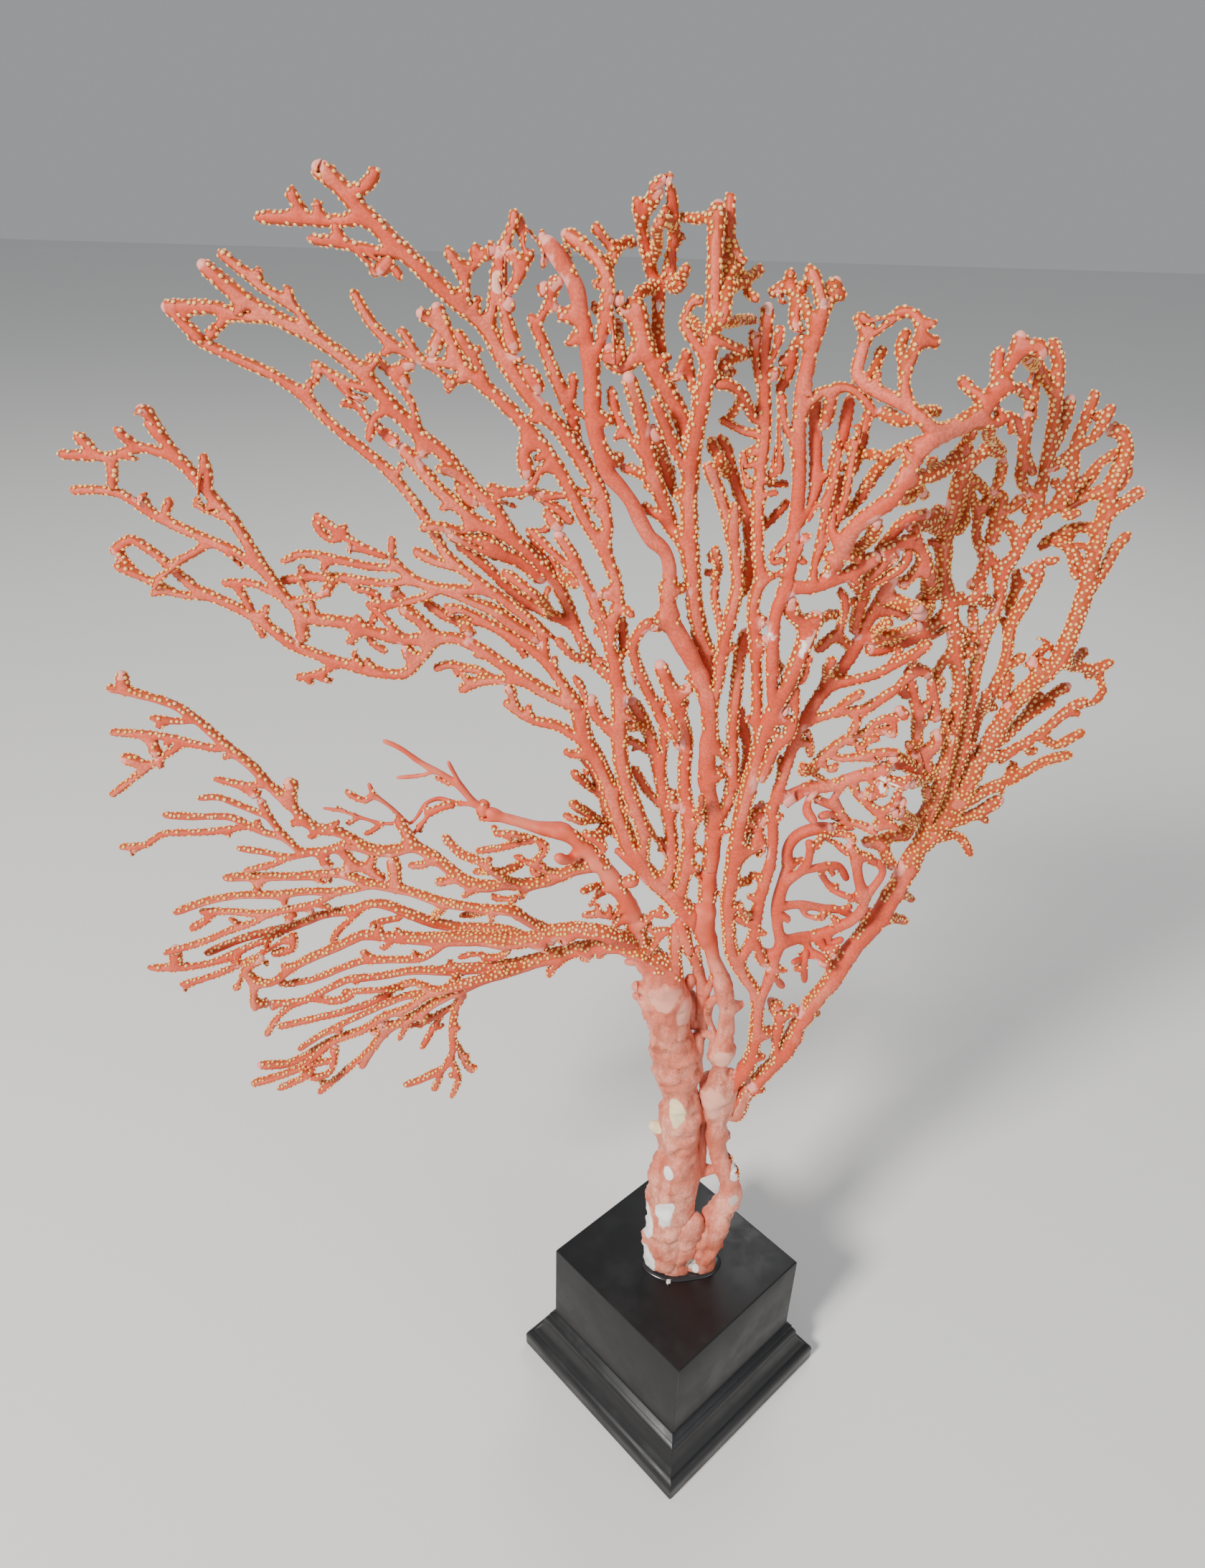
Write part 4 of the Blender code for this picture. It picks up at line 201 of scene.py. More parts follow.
# each strand: name, parent, depth of its tip, radii, then its path as across,up or
# across,up,radius
strandRows = """
main - 0 8 2.8 : -5.2,54.5,6.8 -5.1,60,7.3 -4.8,66,7.8 -4.6,72,8.1 -4,80,8.3 -4,91,8.8 -3.5,101,8.7
    -3,110,8.1 -2.8,118,7 -3.4,127,7.3 -3.1,135,7.5 -3,143,6.3 -4.8,150,6.1 -5.5,158,7.8
    -6.9,166,7.4 -9.2,175,6.9 -10,183,7 -11,190,6.6 -12,196,6 -14,201,5.4 -20,207,4.8 -21.5,214,4.1
    -23,221,3.5 -26,229,3.2 -30,235,3.2 -33,240,3.1 -37,245,2.9 -41,249,2.8 -45,252,3.3 -51,252,2.4
    -56,254,2.2 -62,255.5,2 -67,258,2.3
side - -1 4.6 2.2 : 8.1,54.5,5.4 9.1,60,5.4 9.9,66,5.5 10.3,72,5.6 12.2,80,5.9 15.2,88,5.3
    17.9,95,4.4 16.7,103,4 13.7,111,3.7 10.8,119,3.3 9.8,127,3.3 9.6,134,3.7 9,141,4.6 8.8,148,5.2
    9,154,3.4 8.6,160,3 8.4,166,4.6 9,172,3.3 9.6,178,3 9,184,3 7.6,190,2.9 7,195,3.8 5,200,3.2
    3,205,2.6 2,210,3 -0.3,214.5,4.2 -0.8,221,3.5 -0.8,228,3.4 -0.8,238,3 -0.5,248,3 -1,257,3
    -3.5,268,3 -4.5,277,3 -4,286,3 -5,295,3 -8,302.5,3 -11,308.5,3 -14,313.5,3 -17,318,3 -18,325,2.4
    -17.5,332,2.3 -19,337.5,2.3 -23,339.5,2.3 -26,344.5,2.3 -28,349.5,2.2 -32,354,2.2 -35.5,357,2.2
    -37,364,2.6 -38.3,371,2.6 -38.5,379,2.5 -40,386,2.4 -41,392,2.4 -42.5,398,2.3 -46,403,2.3
    -50,408,2.2
is main 1 2.6 2.3 : -3,155 -0.2,161 0.9,172 1.3,182 0.4,193 -2,203 -4.4,209.5
kn1 main -1 2.4 2.2 : -11,190 -17,193 -22.5,193
kn2 main 1 1.8 1.8 : -10,184 -17,188.5 -22,189.5
kn3 main 0 2 1.9 : -3.4,127 -9,129 -14,130
kn4 main 0 1.5 1.5 : -18,203 -21,203.5 -25,203
k main -1 2.5 1.3 : -33,240,2.5 -38,239.5,2.5 -42,237.5,2.4 -46,235,2.4 -51,232.5,2.4 -57,231.5,2.3
    -62,232,2.3 -67,230.5,2.3 -72,231,2.3 -76,234.5,2.2 -80,239,2.2 -85,243,2.1 -89,245,2.1
    -94,242.5,2.1 -100,242.5,2.1 -108,245,2 -114,242,1.4 -122,241,1.4 -126,246,1.3 -130,253,1.3
    -132,260,1.3
j k 0 2 1.4 : -99,242.5 -105,246.5 -111,249.5 -117,249.5 -121,255 -127,262 -133,271 -139,277
    -146,285 -152,290 -160,292 -169,294
j3 j 2 1.3 1.2 : -137,275 -144,276 -155,279 -163,280 -171,280
j3a j3 -1 1.2 1.1 : -150,277.5 -157,273 -165,267 -170,263 -175,259
j2 j -2 1.2 1.1 : -145,284 -152,284 -159,285
j8 k 1 1.3 1.2 : -126,246 -133,248 -142,254 -150,252.5 -161,253
j9 j8 -1 1.2 1.1 : -135,249 -142,249 -150,247 -162,247 -168,242 -176,241
j7 k -1 1.1 1.1 : -130,253 -137,257 -144,260 -150,259
j5 j 1 1.2 1.1 : -129,265 -135,263.5 -144,266
l1 k 1 1.2 1.1 : -119,241 -126,239 -133,241 -141,242
l2 l1 0 1.2 1.1 : -126,239 -131,236 -140,234
s1 m 1 2 1.5 : -50,214 -55,218 -60,222 -67,222 -75,223 -82,224.5 -90,228 -96,229 -104,231 -112,235
    -118,233 -128,232 -138,232 -147,231
kc k 1 1.5 1.6 : -60,232 -65,236 -69,240 -74,241.5 -77,245 -79.5,249
kd kc -1 1.2 1.2 : -66,237 -71,236
kb k -2 1.6 1.2 : -44,236 -50,237.5 -54,240 -50,243 -48.5,246 -51,248.5 -56,247.5 -62,245 -70,243.5
kb2 kb -2 1.2 1.3 : -53,248 -60,250.5 -66,249.5 -64,253
kb3 kb -1 1.1 1.1 : -51,238 -56,241.5 -59,242
s1a s1 -1 1.5 1.3 : -58,220.5 -61,225 -58,227.5
s1b s1a 1 1.2 1.2 : -60.5,224 -63,226.5 -66,227
s1c s1 1 1.1 1.1 : -66,222 -71,220 -76,219.5
l3 s1 0 1.4 1.4 : -100,230 -107,228 -114,227 -122,227 -132,225 -143,225 -153,222.5 -164,217
l4 l3 1 1.3 1.2 : -112,227.5 -119,222.5 -127,220 -137,217.5 -147,218.5 -156,218
l4b l4 -1 1.2 1.2 : -132,218.5 -140,214 -148,211 -156,206 -163,203.5 -170,201
s2q m 3 2.2 1.4 : -45,215 -52,213.5 -60,214 -68,215 -76,214.5 -84,216 -90,218 -95,222 -102,224
    -106,221 -112,219.5 -118,218.5 -125,214 -132,212 -142,209 -150,205 -157,201
l5a s2q 1 1.2 1.2 : -130,212.5 -138,207 -146,203 -154,198 -163,195 -176,195
l5b l5a -1 1.1 1.2 : -133,210.5 -139,201.5 -147,197 -156,192 -167,188
l6a s2q -1 1.2 1.3 : -104,222.5 -110,216 -115,212 -116,206
m main -3 3.4 1.4 : -21,210,3.4 -27,212.5,3.3 -33,214.5,3.3 -39,215.5,3.2 -45,215,3.1 -52,211.5,3
    -60,209.5,3 -68,210.5,2.9 -76,210.5,2.8 -84,210,2.7 -92,209.5,2.1 -100,210.5,2 -107,211,2
    -112,207,1.9 -119,203.5,1.8 -126,199.5,1.7 -132,195,1.7 -137,189.5,1.6 -142,190.5,1.5
    -144,185,1.5 -144,178,1.4
l8 m 1 1.5 1.3 : -79,210 -84,205 -89,201.5 -98,201 -107,200.5 -115,197 -122,192 -132,190
n main 0 3.2 1.3 : -13.5,199,3.4 -20.5,206.5,3.4 -26,209.5,3.2 -32,209.5,3 -38,208,2.9 -44,206,2.8
    -50,203.5,2.7 -56,201,2.6 -62,200,2.5 -70,199,2.4 -78,197.5,2.2 -86,197,1.5 -94,197,1.5
    -101,194,1.4 -112,193,1.4 -120,188,1.4 -128,182.5,1.3 -140,181,1.3
l9b n 1 1.2 1.1 : -126,184 -135,179 -139,173 -142,167
n2 n -1 2.2 1.2 : -52,202.5,2.2 -60,198,2.1 -66,195.5,2 -73,193,2 -80,190,1.9 -87,187.5,1.8
    -94,186.5,1.4 -99,184.5,1.4 -104,181,1.3 -112,176,1.3 -121,170,1.3 -127,166,1.2 -132,161,1.2
l10 n2 0 1.4 1.3 : -84,189 -92,192.5 -99,189 -105,183 -114,179 -126,175 -138,171
l10b l10 1 1.2 1.1 : -95,191 -101,188.5 -107,188 -115,187
l12 n2 1 1.4 1.8 : -83,188.5 -90,183.5 -97,179.5 -103,177.5 -108,171 -116,168.5 -123,163.5
    -131,157.5 -137,154 -147,153.5
l12b l12 -1 1.3 1.5 : -118,167.5 -124,160 -131,154 -138,149.5 -144,147 -150,144.5
l12c l12b 0 1.2 1.3 : -127,157 -127,151 -133,147.5 -141,142.5
n3 n2 0 1.8 1.8 : -66,195.5 -73,191 -79,188 -84,185 -89,180.5 -95,175.5 -101,172.5 -105,166.5
    -109,160 -112,153.5
l13b n3 1 1.2 1.3 : -106,164 -112,158.5 -117,152 -122,147 -127.5,141
l13c n3 -1 1.1 1.1 : -92,178 -96,172 -98,167
n4 n3 -1 1.5 1.4 : -74,190.5 -78,184 -80,177 -80.5,170 -80,164 -82,158 -84,154 -88,152 -93,148
    -98,146
n4a n4 1 1.2 1.2 : -80.3,171 -78,163 -77,158 -74,153
n4b n4 -1 1.2 1.1 : -81,160 -79.5,153 -79,148 -82,141
n4c n4 1 1.2 1.3 : -84,154 -86,149 -88,144
n4d n4 1 1.1 1.1 : -78,184 -83,180 -89,175 -92,173
n4e n4d -1 1.1 1.1 : -81,181.5 -86,174 -91,163
tw1 n -1 1.5 1.9 : -33,210 -36.5,206.5 -38,202.5
tw2 n 1 1.4 1.6 : -40,207.5 -45,203 -48,199.5 -48.5,196
cu1 m -1 1.2 1.3 : -56,210.5 -61,205.5 -65,202.8 -70,203
cu2 cu1 -1 1.1 1 : -68,202.9 -72,205 -77,202.5
tw3 main -5 1.4 1.2 : -24,223 -28,220.5 -33,221.5 -38.5,221
tw4 main -2 1.3 1.3 : -28,232.5 -33,233 -35,229 -36,224.5
tw5 tw4 -1 1.2 1.4 : -33,233 -36,231.5 -39,229.5
dr1 main 0 1.5 0.8 : -64,256.5 -70,260 -74,266 -80,270.5 -85,273 -90,278 -95,280
dr2 dr1 1 1 0.7 : -70,260 -76,260 -80,262 -85,260 -83,256 -89,248
dr3 dr2 0 0.8 0.7 : -84,259.5 -89,251.5 -93,257 -99,262 -100,266
dr4 dr3 1 0.7 0.6 : -90,253 -97,252 -104,254.5 -110,257 -114,257
dr5 dr1 -1 0.8 0.7 : -73,264.5 -75.5,270 -77,274
dr6 dr1 -1 0.7 0.7 : -80,270.5 -86,268.5 -92,268
dr7 main 1 1.2 1.1 : -60,255 -67,256 -69,254.5
a1 cl 1 1.9 1.8 : -25,247 -30,252 -32,260 -34,268 -37,275 -41,279
a1t a1 -1 1.5 1.6 : -30,252 -35,256.5 -39,259 -42.5,261.5
a1u a1 1 1.4 1.3 : -32,260 -36,266 -40,269.5 -42,272
a1v a1t 0 1.3 1.2 : -33,254.5 -38,254.5 -41,255.5 -44.5,257.5
a1w cl -1 1.4 1.3 : -37,278.5 -41,276.5 -44.5,278.5
dead1 main -1 1.6 2 : -38,246 -41,242.5 -43,240.5 -46.5,242.5
dead2 cl 1 1.3 1.3 : -22,241 -26,242.5 -29,246
a3 cl -1 2.8 1.8 : -17,234.5,2.8 -18.3,241,2.8 -20,248,2.7 -22,256,2.7 -25,264,2.7 -28,272,2.7
    -29,280,2.6 -29,288,2.6 -29.5,295,2.6 -30,301,2.6 -32,309,2 -34.5,317,1.9 -37,324,1.9
    -40.5,330,1.9 -43,336,1.8 -47,341.5,1.8
a4 a5 1 1.7 1.4 : -13.5,254 -17,260 -20.5,266 -25,274
a4k a5 0 1.3 1.3 : -12,245 -15.5,248 -17.5,250.5
a5 cl 1 2.4 2 : -12.5,230.5 -12.3,238 -12.2,246 -12.8,251 -14,257 -16,266 -18,275 -20,283 -23,290
    -26.5,295.5
a5b a5 -1 1.9 1.7 : -16,266 -16,274 -16.5,282 -17,288.5 -20,294 -23,300 -25,305 -27,310 -25,315
    -21.5,318.5
a5c a5 0 1.3 1.3 : -18,275 -22,280 -25,282 -28,282.5
a5d a5b -1 1.2 1.2 : -16.8,287 -13.5,281.5 -12.5,285 -15.5,290
a6 cl 0 2.6 2.3 : -9,226 -8.6,233 -7.8,241 -7.5,249 -8.2,257 -10,265 -11,274 -10,282 -12,289
    -14.5,295 -17,301 -19.5,307
cl side -1 3.6 1.6 : -1,214.5,3.5 -6,220.5,3.6 -6,222,3.5 -9,226.5,3.5 -13,231,3.4 -18,235,3.4
    -22,241,3.3 -25,247,3.2 -28,256,3.1 -31,265,3 -34,274,2.9 -38,281,2.8 -40,288,2.8 -41,293,2.7
    -47,295,2.2 -52,298,2.2 -57,301.5,2.1 -62,305,2 -67,309,2 -73,312,1.9 -80,311,1.8 -88,310.5,2
    -96,313,1.9 -104,315.5,1.9 -112,315.5,1.9 -117,321,1.8 -122,330,1.8 -127,341,1.7 -134,350,1.7
    -140,359,1.6 -145,366,1.6
a7k side 0 1.3 1.4 : -6,298 -10,299.5 -11.5,303
a6x a6 -1 1.2 1.2 : -8,256 -4.5,260.5 -5,265
a7b side 1 2.3 1.8 : -0.8,253 2.5,261 3.5,269 3,277 2,285 2,293 2,301 2,309 3.5,317
a7c a7b 1 1.8 1.5 : 2.8,263 6.3,270 7.2,278 6.2,285 3.8,290.5
a7t side 0 1.2 1.2 : -18,325 -20,329
rr side 0 2.6 2 : -4.5,291,2.6 -5,299,2.6 -6.5,307,2.6 -9,315,2.6 -11,323,2.6 -12,331,2.6
    -13,339,2.6 -14,347,2.6 -14.2,355,2.6 -14,363,2.6 -13,370,2.6 -12,377,2.3 -11.5,384,2.2
    -11,391,2.2 -11.5,398,2.1 -12,406,2.1 -12,416,2
r0 side -1 2.2 1.8 : -4.3,289 -2.5,297 -3,306 -2.2,314 -1,322 0,330 -1.5,337 -4,345 -6.5,352
    -10.5,359.5
r1 r0 1 1.4 1.2 : -2.4,311 -4,319 -6.5,325 -5.5,331 -9,332
r1b r1 0 1.1 1.3 : -6,328.5 -5.3,333.5 -7,338.5
r2 r0 1 2 1.6 : -1,322 2,329 2.5,336 1.5,343 0,349.5 -4,356 -5,362 -8,366
r2b r2 0 1.3 1.2 : 2,338 4.5,343 8,347 10.5,351
a3u a3 0 2.2 1.9 : -29.5,295,2.2 -33,301,2.1 -37,307,2 -40.5,313,1.9 -43,320,1.8 -46,327,2.2
    -50,332,2.1 -55,337,2.1 -61,341,2.1 -67,343,2 -71,347,2 -76,351,2 -80,356,1.9 -85,362,1.9
e0 cl -1 1.9 1.5 : -36,278 -41,284.5 -47,287.5 -53,287.3 -57,290.5 -61,293.5
cw1 cl -1 1.6 1.7 : -54,299.5 -60,299.5 -66,299.8 -70,298 -73,296
cw2 cw1 1 1.3 1.3 : -62,299.7 -67,302.5 -72,303 -76,304.5 -79.5,302
e2 cl 1 1.9 1.5 : -40.5,290 -44,297 -48,304 -54,310 -60,313.5 -66,317 -72,316 -77,318.5 -81,322
e2b e2 0 1.3 1.3 : -64,316 -69.5,318.5 -72,320.5 -76,320
e3 cl -1 1.3 1.3 : -38,287 -37.5,294 -40,299 -42,301.5
e4 e2 1 1.8 1.5 : -45,300,1.8 -48.5,309,1.8 -52,316.5,1.7 -58,321,1.7 -64,325.5,1.7 -70,330,1.6
    -75,334.5,1.6 -76,336,1.5 -79,344,1.5 -84,351,1.5 -91,358.5,1.5 -100,365,1.5 -107,373,1.5
    -114,378,1.5 -124,381,1.5 -132,386,1.5
e4g e4 0 1.6 1.5 : -62,324.5 -69,325 -76,325 -83,327 -89,333
g2 e4g 1 1.3 1.3 : -83,327 -92,326 -100,327.5 -109,327.5 -118,326
g1 e4g -1 1.2 1.2 : -87,330.5 -95,330.5 -103,332.5 -111,334 -117,331
g3 e4g 1 1.2 1.2 : -89,333 -95,335 -101,339 -107,344
f1 e4g -1 1.2 1.2 : -76,325 -82,322 -88,320.5 -95,320.5
e4h e4 1 1.3 1.7 : -70,330 -76,331.5 -83,335.5
e5a a3u -1 1.4 1.4 : -66,342.5 -71,340.5 -76,342 -81,341
b a3u -1 2.2 2 : -54,336 -58,342 -62,347 -66,350 -70,355 -74,360 -81,365 -87,372 -93,379 -101,385
    -110,389 -119,394 -127,401
b1 b 1 1.5 1.9 : -108,388 -116,388.5 -125,391.5 -137,391
b2q b -1 1.3 1.3 : -100,384.5 -105,391 -112,395 -122,403
b3 b 1 1.2 1.2 : -88,373.5 -95,375 -104,380
b4q b -1 1.2 1.2 : -86,371 -91,367 -92,362
b6 b 1 1.2 1.2 : -78,363 -81,372 -86,379 -91,382
bb b -1 1.3 1.3 : -68,352.5 -73,355 -76,356.5
d1 cl 0 1.4 1.3 : -138,356 -147,359.5 -155,356.5 -168,357
d2 cl 1 1.5 1.3 : -120,326 -128,333.5 -137,337.5 -146,341.5 -156,349 -167,348
d2b d2 -1 1.2 1.2 : -133,336 -139,333 -146,329
d11 cl -1 1.3 1.3 : -86,310.5 -91,316 -96,321
d6 cl 1 1.2 1.2 : -117,321 -125,325.5 -133,325
d3 cl 1 1.2 1.2 : -127,341 -132,343.5 -137,346
e cl 1 1.8 1.5 : -78,311 -83,305 -88,299.5 -96,301 -106,304 -117,308 -124,315 -133,320 -140,323
    -146,330 -154,337 -160,332
e6 e -1 1.3 1.2 : -104,303.5 -110,300 -117,298.5
e7q e -1 1.3 1.2 : -136,321.5 -145,321 -153,326 -160,329
e7 a3u 1 1.7 1.5 : -41,315 -47,318.5 -53,321.5 -58,325 -63,330 -68,335 -72,337.5
e7t e7 0 1.3 1.5 : -46,318 -52,324 -56,327.5 -60.5,330.5
e9 a3u 1 1.4 1.5 : -46,327 -48,333 -51,338 -54,342
a3t a3u -1 1.4 1.5 : -36,305.5 -42,307 -44.5,309.5 -46.5,312.5
b1x a3 -1 1.2 1.2 : -34,316 -38,321
b2 a3 0 1.5 1.3 : -29.8,298 -28.5,306 -29,313 -29.5,319
b4 a3 -1 2 2.2 : -32,309,2 -32.5,316,2 -30.5,323,2 -31.5,330,2 -35,336,2 -34,343,2 -35,350,2
    -38.5,356,2.4 -42,361.5,2.4 -46,366.5,2.4 -51,371.5,2.3 -56,377,2.3 -60,383,2.3 -62,388,2.3
    -66,391.5,2.3 -72,396,2.3 -78,401.5,2.3 -84,407,2.2 -90,412.5,2.2 -98,421,2.2
b4k b4 -1 1.3 1.3 : -31,321.5 -28,321 -26.5,319
b5 b4 1 2 1.9 : -35,336 -39,343 -42,349 -45,355 -49,361 -53,366 -58,371 -64,376 -69,380 -71,385
    -73.5,391 -74.5,394
b5a b5 -1 1.4 1.4 : -47,358 -53,356 -53,351 -58,350.5 -64,352
b5b b5 1 1.4 1.8 : -72,387.5 -76,391 -79,391.5
b5c b5 1 1.4 1.4 : -66,378 -72,381 -78,380.5 -84,384 -90,389 -93,396
b5d b5 -1 1.4 1.7 : -66,378 -70,378 -73,375
b5e b5c 1 1.2 1.2 : -76,380.5 -79,383.5 -83,388
u1a b4 1 1.6 1.6 : -88,410.5 -95,409.5 -104,410 -113,410
u1b b4 -1 1.3 1.3 : -80,403.5 -88,404 -95,405.5 -102,406
u1c b4 1 1.4 1.5 : -64,390 -66.5,396 -68.5,401 -71.5,405
u1d u1c -1 1.3 1.7 : -67,398 -64.5,402.5 -65,406
u1e b4 -1 1.5 1.2 : -62,388 -61,395 -60.5,401 -59,406 -56.5,409 -56,413
u1f u1e 1 1.3 1.3 : -61,393 -57,396.5 -54.5,401 -52.5,405
u1g b4 1 1.4 1.4 : -60,385 -56.5,386 -55,381
u1h b5 0 1.4 1.5 : -61,373.5 -64,379 -67,383.5 -70,388
s2 b4 1 2 1.6 : -40,358.5 -41.5,366 -44.5,373 -48,380 -50.5,387 -53,392
s2t s2 -1 1.4 1.4 : -42,367.5 -42.5,373 -43,379
s2u s2 1 1.3 1.3 : -52,389.5 -49,394 -46,393
s3a side -1 1.3 1.4 : -40.5,389 -43.5,388.5 -44,385
s3b side 1 1.2 1.2 : -44,400.5 -44.5,403.5 -45.5,406
s4 side -1 1.9 1.9 : -38.4,375 -36.5,383 -36,391 -35,398 -37,403.5 -42,407 -46,409
s4a s4 1 1.5 1.4 : -35.8,399 -34.5,405 -31,408 -29.5,406.8
s4b s4 -1 1.3 1.3 : -36,390 -38.5,394.5
s4c s4 1 1.6 1.5 : -37,383 -31.5,381.5 -32.5,386 -33,391
s4d s4a -1 1.3 1.4 : -34.3,404.5 -36.5,408 -39,410.5
s6 rr -1 2.4 2.1 : -13,337 -18,342 -20,349 -23,355.5 -25,362 -26,368 -28,374 -30.5,380
s6a s6 1 1.4 1.5 : -22,354 -26.5,357 -31.5,358
s6b s6 1 1.5 1.4 : -24.5,360 -29,364.5 -33,370.5 -34,376.5
s6c s6 -1 1.4 1.5 : -20,345 -24,347.5 -25.5,349
s7 rr -1 1.6 1.6 : -14.2,353 -18,361 -21,368.5 -24,374.5
s7b rr 1 1.5 1.4 : -14.1,350 -18.5,352 -19.5,359
s8 rr 0 2.6 2.8 : -14,363 -17.5,371 -22,377 -25.5,383 -28,389.5 -30,396.5
s8b s8 1 1.7 1.5 : -18,372.5 -20,380 -23,385.5 -24,391 -23.5,396 -26.5,403 -28,409 -29.5,416
s8c s8b -1 1.3 1.3 : -25.5,400.5 -24.5,406 -25,411
s8d s8b 0 1.4 1.3 : -23.5,396 -22,402 -21,409 -21.5,415 -23.5,420.5 -27,417
s8e s8d 1 1.2 1.3 : -21.5,406 -19,409.5
s8f s8d -1 1.2 1.3 : -22.5,399 -19,400 -18,402.5
s8g s8d 1 1.2 1.2 : -21,411 -24,414
s9a rr 1 1.7 1.3 : -11.3,386 -8.5,394 -8.8,402 -8.8,409 -9.5,417.5
s9b s9a -1 1.3 1.2 : -8.7,399 -6,403.5 -5,398.5 -1.5,396
s9c rr -1 1.5 1.3 : -11.7,381 -15,387 -18.5,391 -17,396 -13.5,395.5
s9d rr 1 1.4 1.4 : -12.5,373 -15.5,378 -17,385
s9e rr -1 1.3 1.2 : -11.5,384 -7.5,386.5 -3,385
s9f rr 1 1.2 1.2 : -11.6,381 -8,379 -5.5,381
s9g s9c 1 1.1 1.2 : -13,384 -14.5,390 -16,392
s9h s9a 1 1.2 1.1 : -10,390 -6,392 -1.5,392
s9i s9a 0 1.2 1.3 : -8.6,397 -5,400 -1,403
s9j rr 1 1.2 1.1 : -12,412 -16,412 -20,412.5
h3 side -1 2.6 2.9 : 9,147,2.8 13.5,151,2.8 16.5,156,3.2 18,161,3.4 19,167,2.5 19,174,2.5 19,181,2.4
    18.8,187,2.4 16.5,194,2.4 13.5,199,2.3 10,203,2.3 7.5,211,2.7 6.5,219,2.7 5.5,227,2.7
    5.8,236,2.7 6.2,246,2.7 6.5,256,2.7 8,267,2.7 9.5,276,2.7 10.3,284,2.7 12,291,2.7 14.5,297,2.4
    16.5,304,2.6 18.5,311,2.7 19.8,317,2.8 21.5,322.5,2.9
a8n h3 0 1.5 1.3 : 19.8,317 24,321.5 26.5,321.5
a8b h3 0 2 1.8 : 10,281,2 8.5,290,2 7.5,299,1.9 6.5,308,1.9 5.3,316,1.9 4,324,1.9 5.8,331,1.8
    4,337,1.8 3.5,345,1.8 2.5,352,1.8 2.8,360,1.8 3,368,1.8 2,375,1.8 1,383,1.8 0.8,390,1.8
    1,396,1.8
a8c h3 -2 2 2 : 11.2,287 11,296 11.2,304 10.5,312 9.8,319 11.8,327 13,335 12.6,343 12.8,351 12.2,359
    11,367 10.6,375 11.2,383 12.5,390 13.5,396
a8k a8c 0 1.8 2.3 : 11.2,304 12.8,306.5
tp1 a8c 1 1.7 1.6 : 12.5,390 9.5,394.5 7,398 3.5,400 1,397
tp2 a8c 0 1.9 2.2 : 13,393 14.5,398 16,401.5
tp3 tp2 -1 1.3 1.5 : 14.5,398 18,397.5
tp4 a8c -1 1.7 1.5 : 13.3,394.5 11.5,400 8.8,403.5
tp5 a8c 1 1.5 1.4 : 12,386 8,389 7.5,381 5,376
r3a a8b -1 1.3 1.3 : 2,376 4,383.5 4.2,391
r3b a8b 1 1.2 1 : 2.7,358 6,354 10,355
r3c a8b 1 1.2 1.2 : 2.8,362 -1,358 -2,362.5
r3d a8b -1 1.2 1.1 : 3,366 -3.5,367.5 -8,370
r3e a8b 0 1.2 1.3 : 1.5,379 -2,384 -2,390
bd h3 0 2 1.9 : 11.5,201.5,2 13.2,209,2 14.8,217,2 15,226,2 16,235,2 17.5,244,2 17,252,1.9
    15.5,260,1.9 17,269,1.9 18.5,278,1.9 19.8,286,1.9 25,298.5,2.1 29,304.5,2.1 32.5,312,2
    34.5,320,2 37.5,327,1.9 39.5,333,1.9
bd1 bd 1 1.5 1.3 : 16.2,237 13.5,239 11.5,236.5
bd2 bd -1 1.4 1.3 : 14.9,219 11,222 9.5,226
bd3 bd 1 1.4 1.3 : 15.8,262 12.5,258 12.3,264
bd4 bd 1 1.3 1.3 : 17.5,272 16.2,279
hk bd -1 1.3 1.5 : 19.3,283 23,284 25,281.5 24,278.8
knb side 1 1.6 1.8 : 8.5,187 12,187.5 14,186
rl h3 0 2.1 2.2 : 19,184 20.5,194 21.5,200 22,207 23.5,212.5 21.5,219 20.3,226 21.3,234 22.5,241
    21,248 23,252.5 28,255 34,255.5
rl1 rl 1 1.5 1.3 : 22.5,208 17.5,209 15,213
rl2 rl 1 1.4 1.5 : 20.8,197 24,197.5 26,194.5
rl3 rl -1 1.7 1.5 : 21,232 25.5,238 28.3,243 28.5,248 27,251
rl4 rl3 1 1.5 1.5 : 26.5,239.5 33,242 37.5,242.5 40.5,237
rl5 rl4 -1 1.3 1.2 : 31,241.5 35,235 38,231.5 43,230.5
rl6 rl 1 1.6 1.4 : 20.4,225 26.5,228 33,226.5 39,226 44,224
rl7 rl6 -1 1.2 1.2 : 28,227.8 29.5,222 35,222.5
rl8 rl -1 1.3 1.4 : 20.3,226 22.5,222.5 25.5,221
nt rl 0 2.1 1.8 : 23,212.5 28,214.5 34,216 39,218.5 44,221.5 47,226 46,232 43.5,238 42,245 39,250.5
nt1 nt 1 1.6 1.5 : 46,231 49.5,236 51.5,241 48,244.5
nt2 nt -1 1.4 1.4 : 30,215 33,209 38.5,206.5
nt3 nt2 0 1.3 1.3 : 31.5,211 31.5,204 32.5,197
nt4 nt2 1 1.2 1.2 : 31.5,207 27.5,204.5
nt5 nt 1 1.4 1.5 : 36,217 38.5,212 42.5,215
x1 bd 0 2.2 2 : 16,262 21,266.5 25,269 31,269 37,272.5 43,274.5 48,275.5
x2 x1 -1 1.9 1.6 : 22,267 25,261 29,256.5
x3 x1 1 1.8 1.5 : 29,269 33,265 36,259.5 40,255
x4 x3 -1 1.5 1.4 : 34,263.5 32,259.5 29,259
x5 x1 1 1.7 1.6 : 34,271 39,267.5 44,263 48,258.5 53,255.5
x6 x5 0 1.5 1.4 : 46.5,260.5 50.5,264 51,269
x7 x1 -2 2.3 2.4 : 43,274.5 48,271 54,270.5
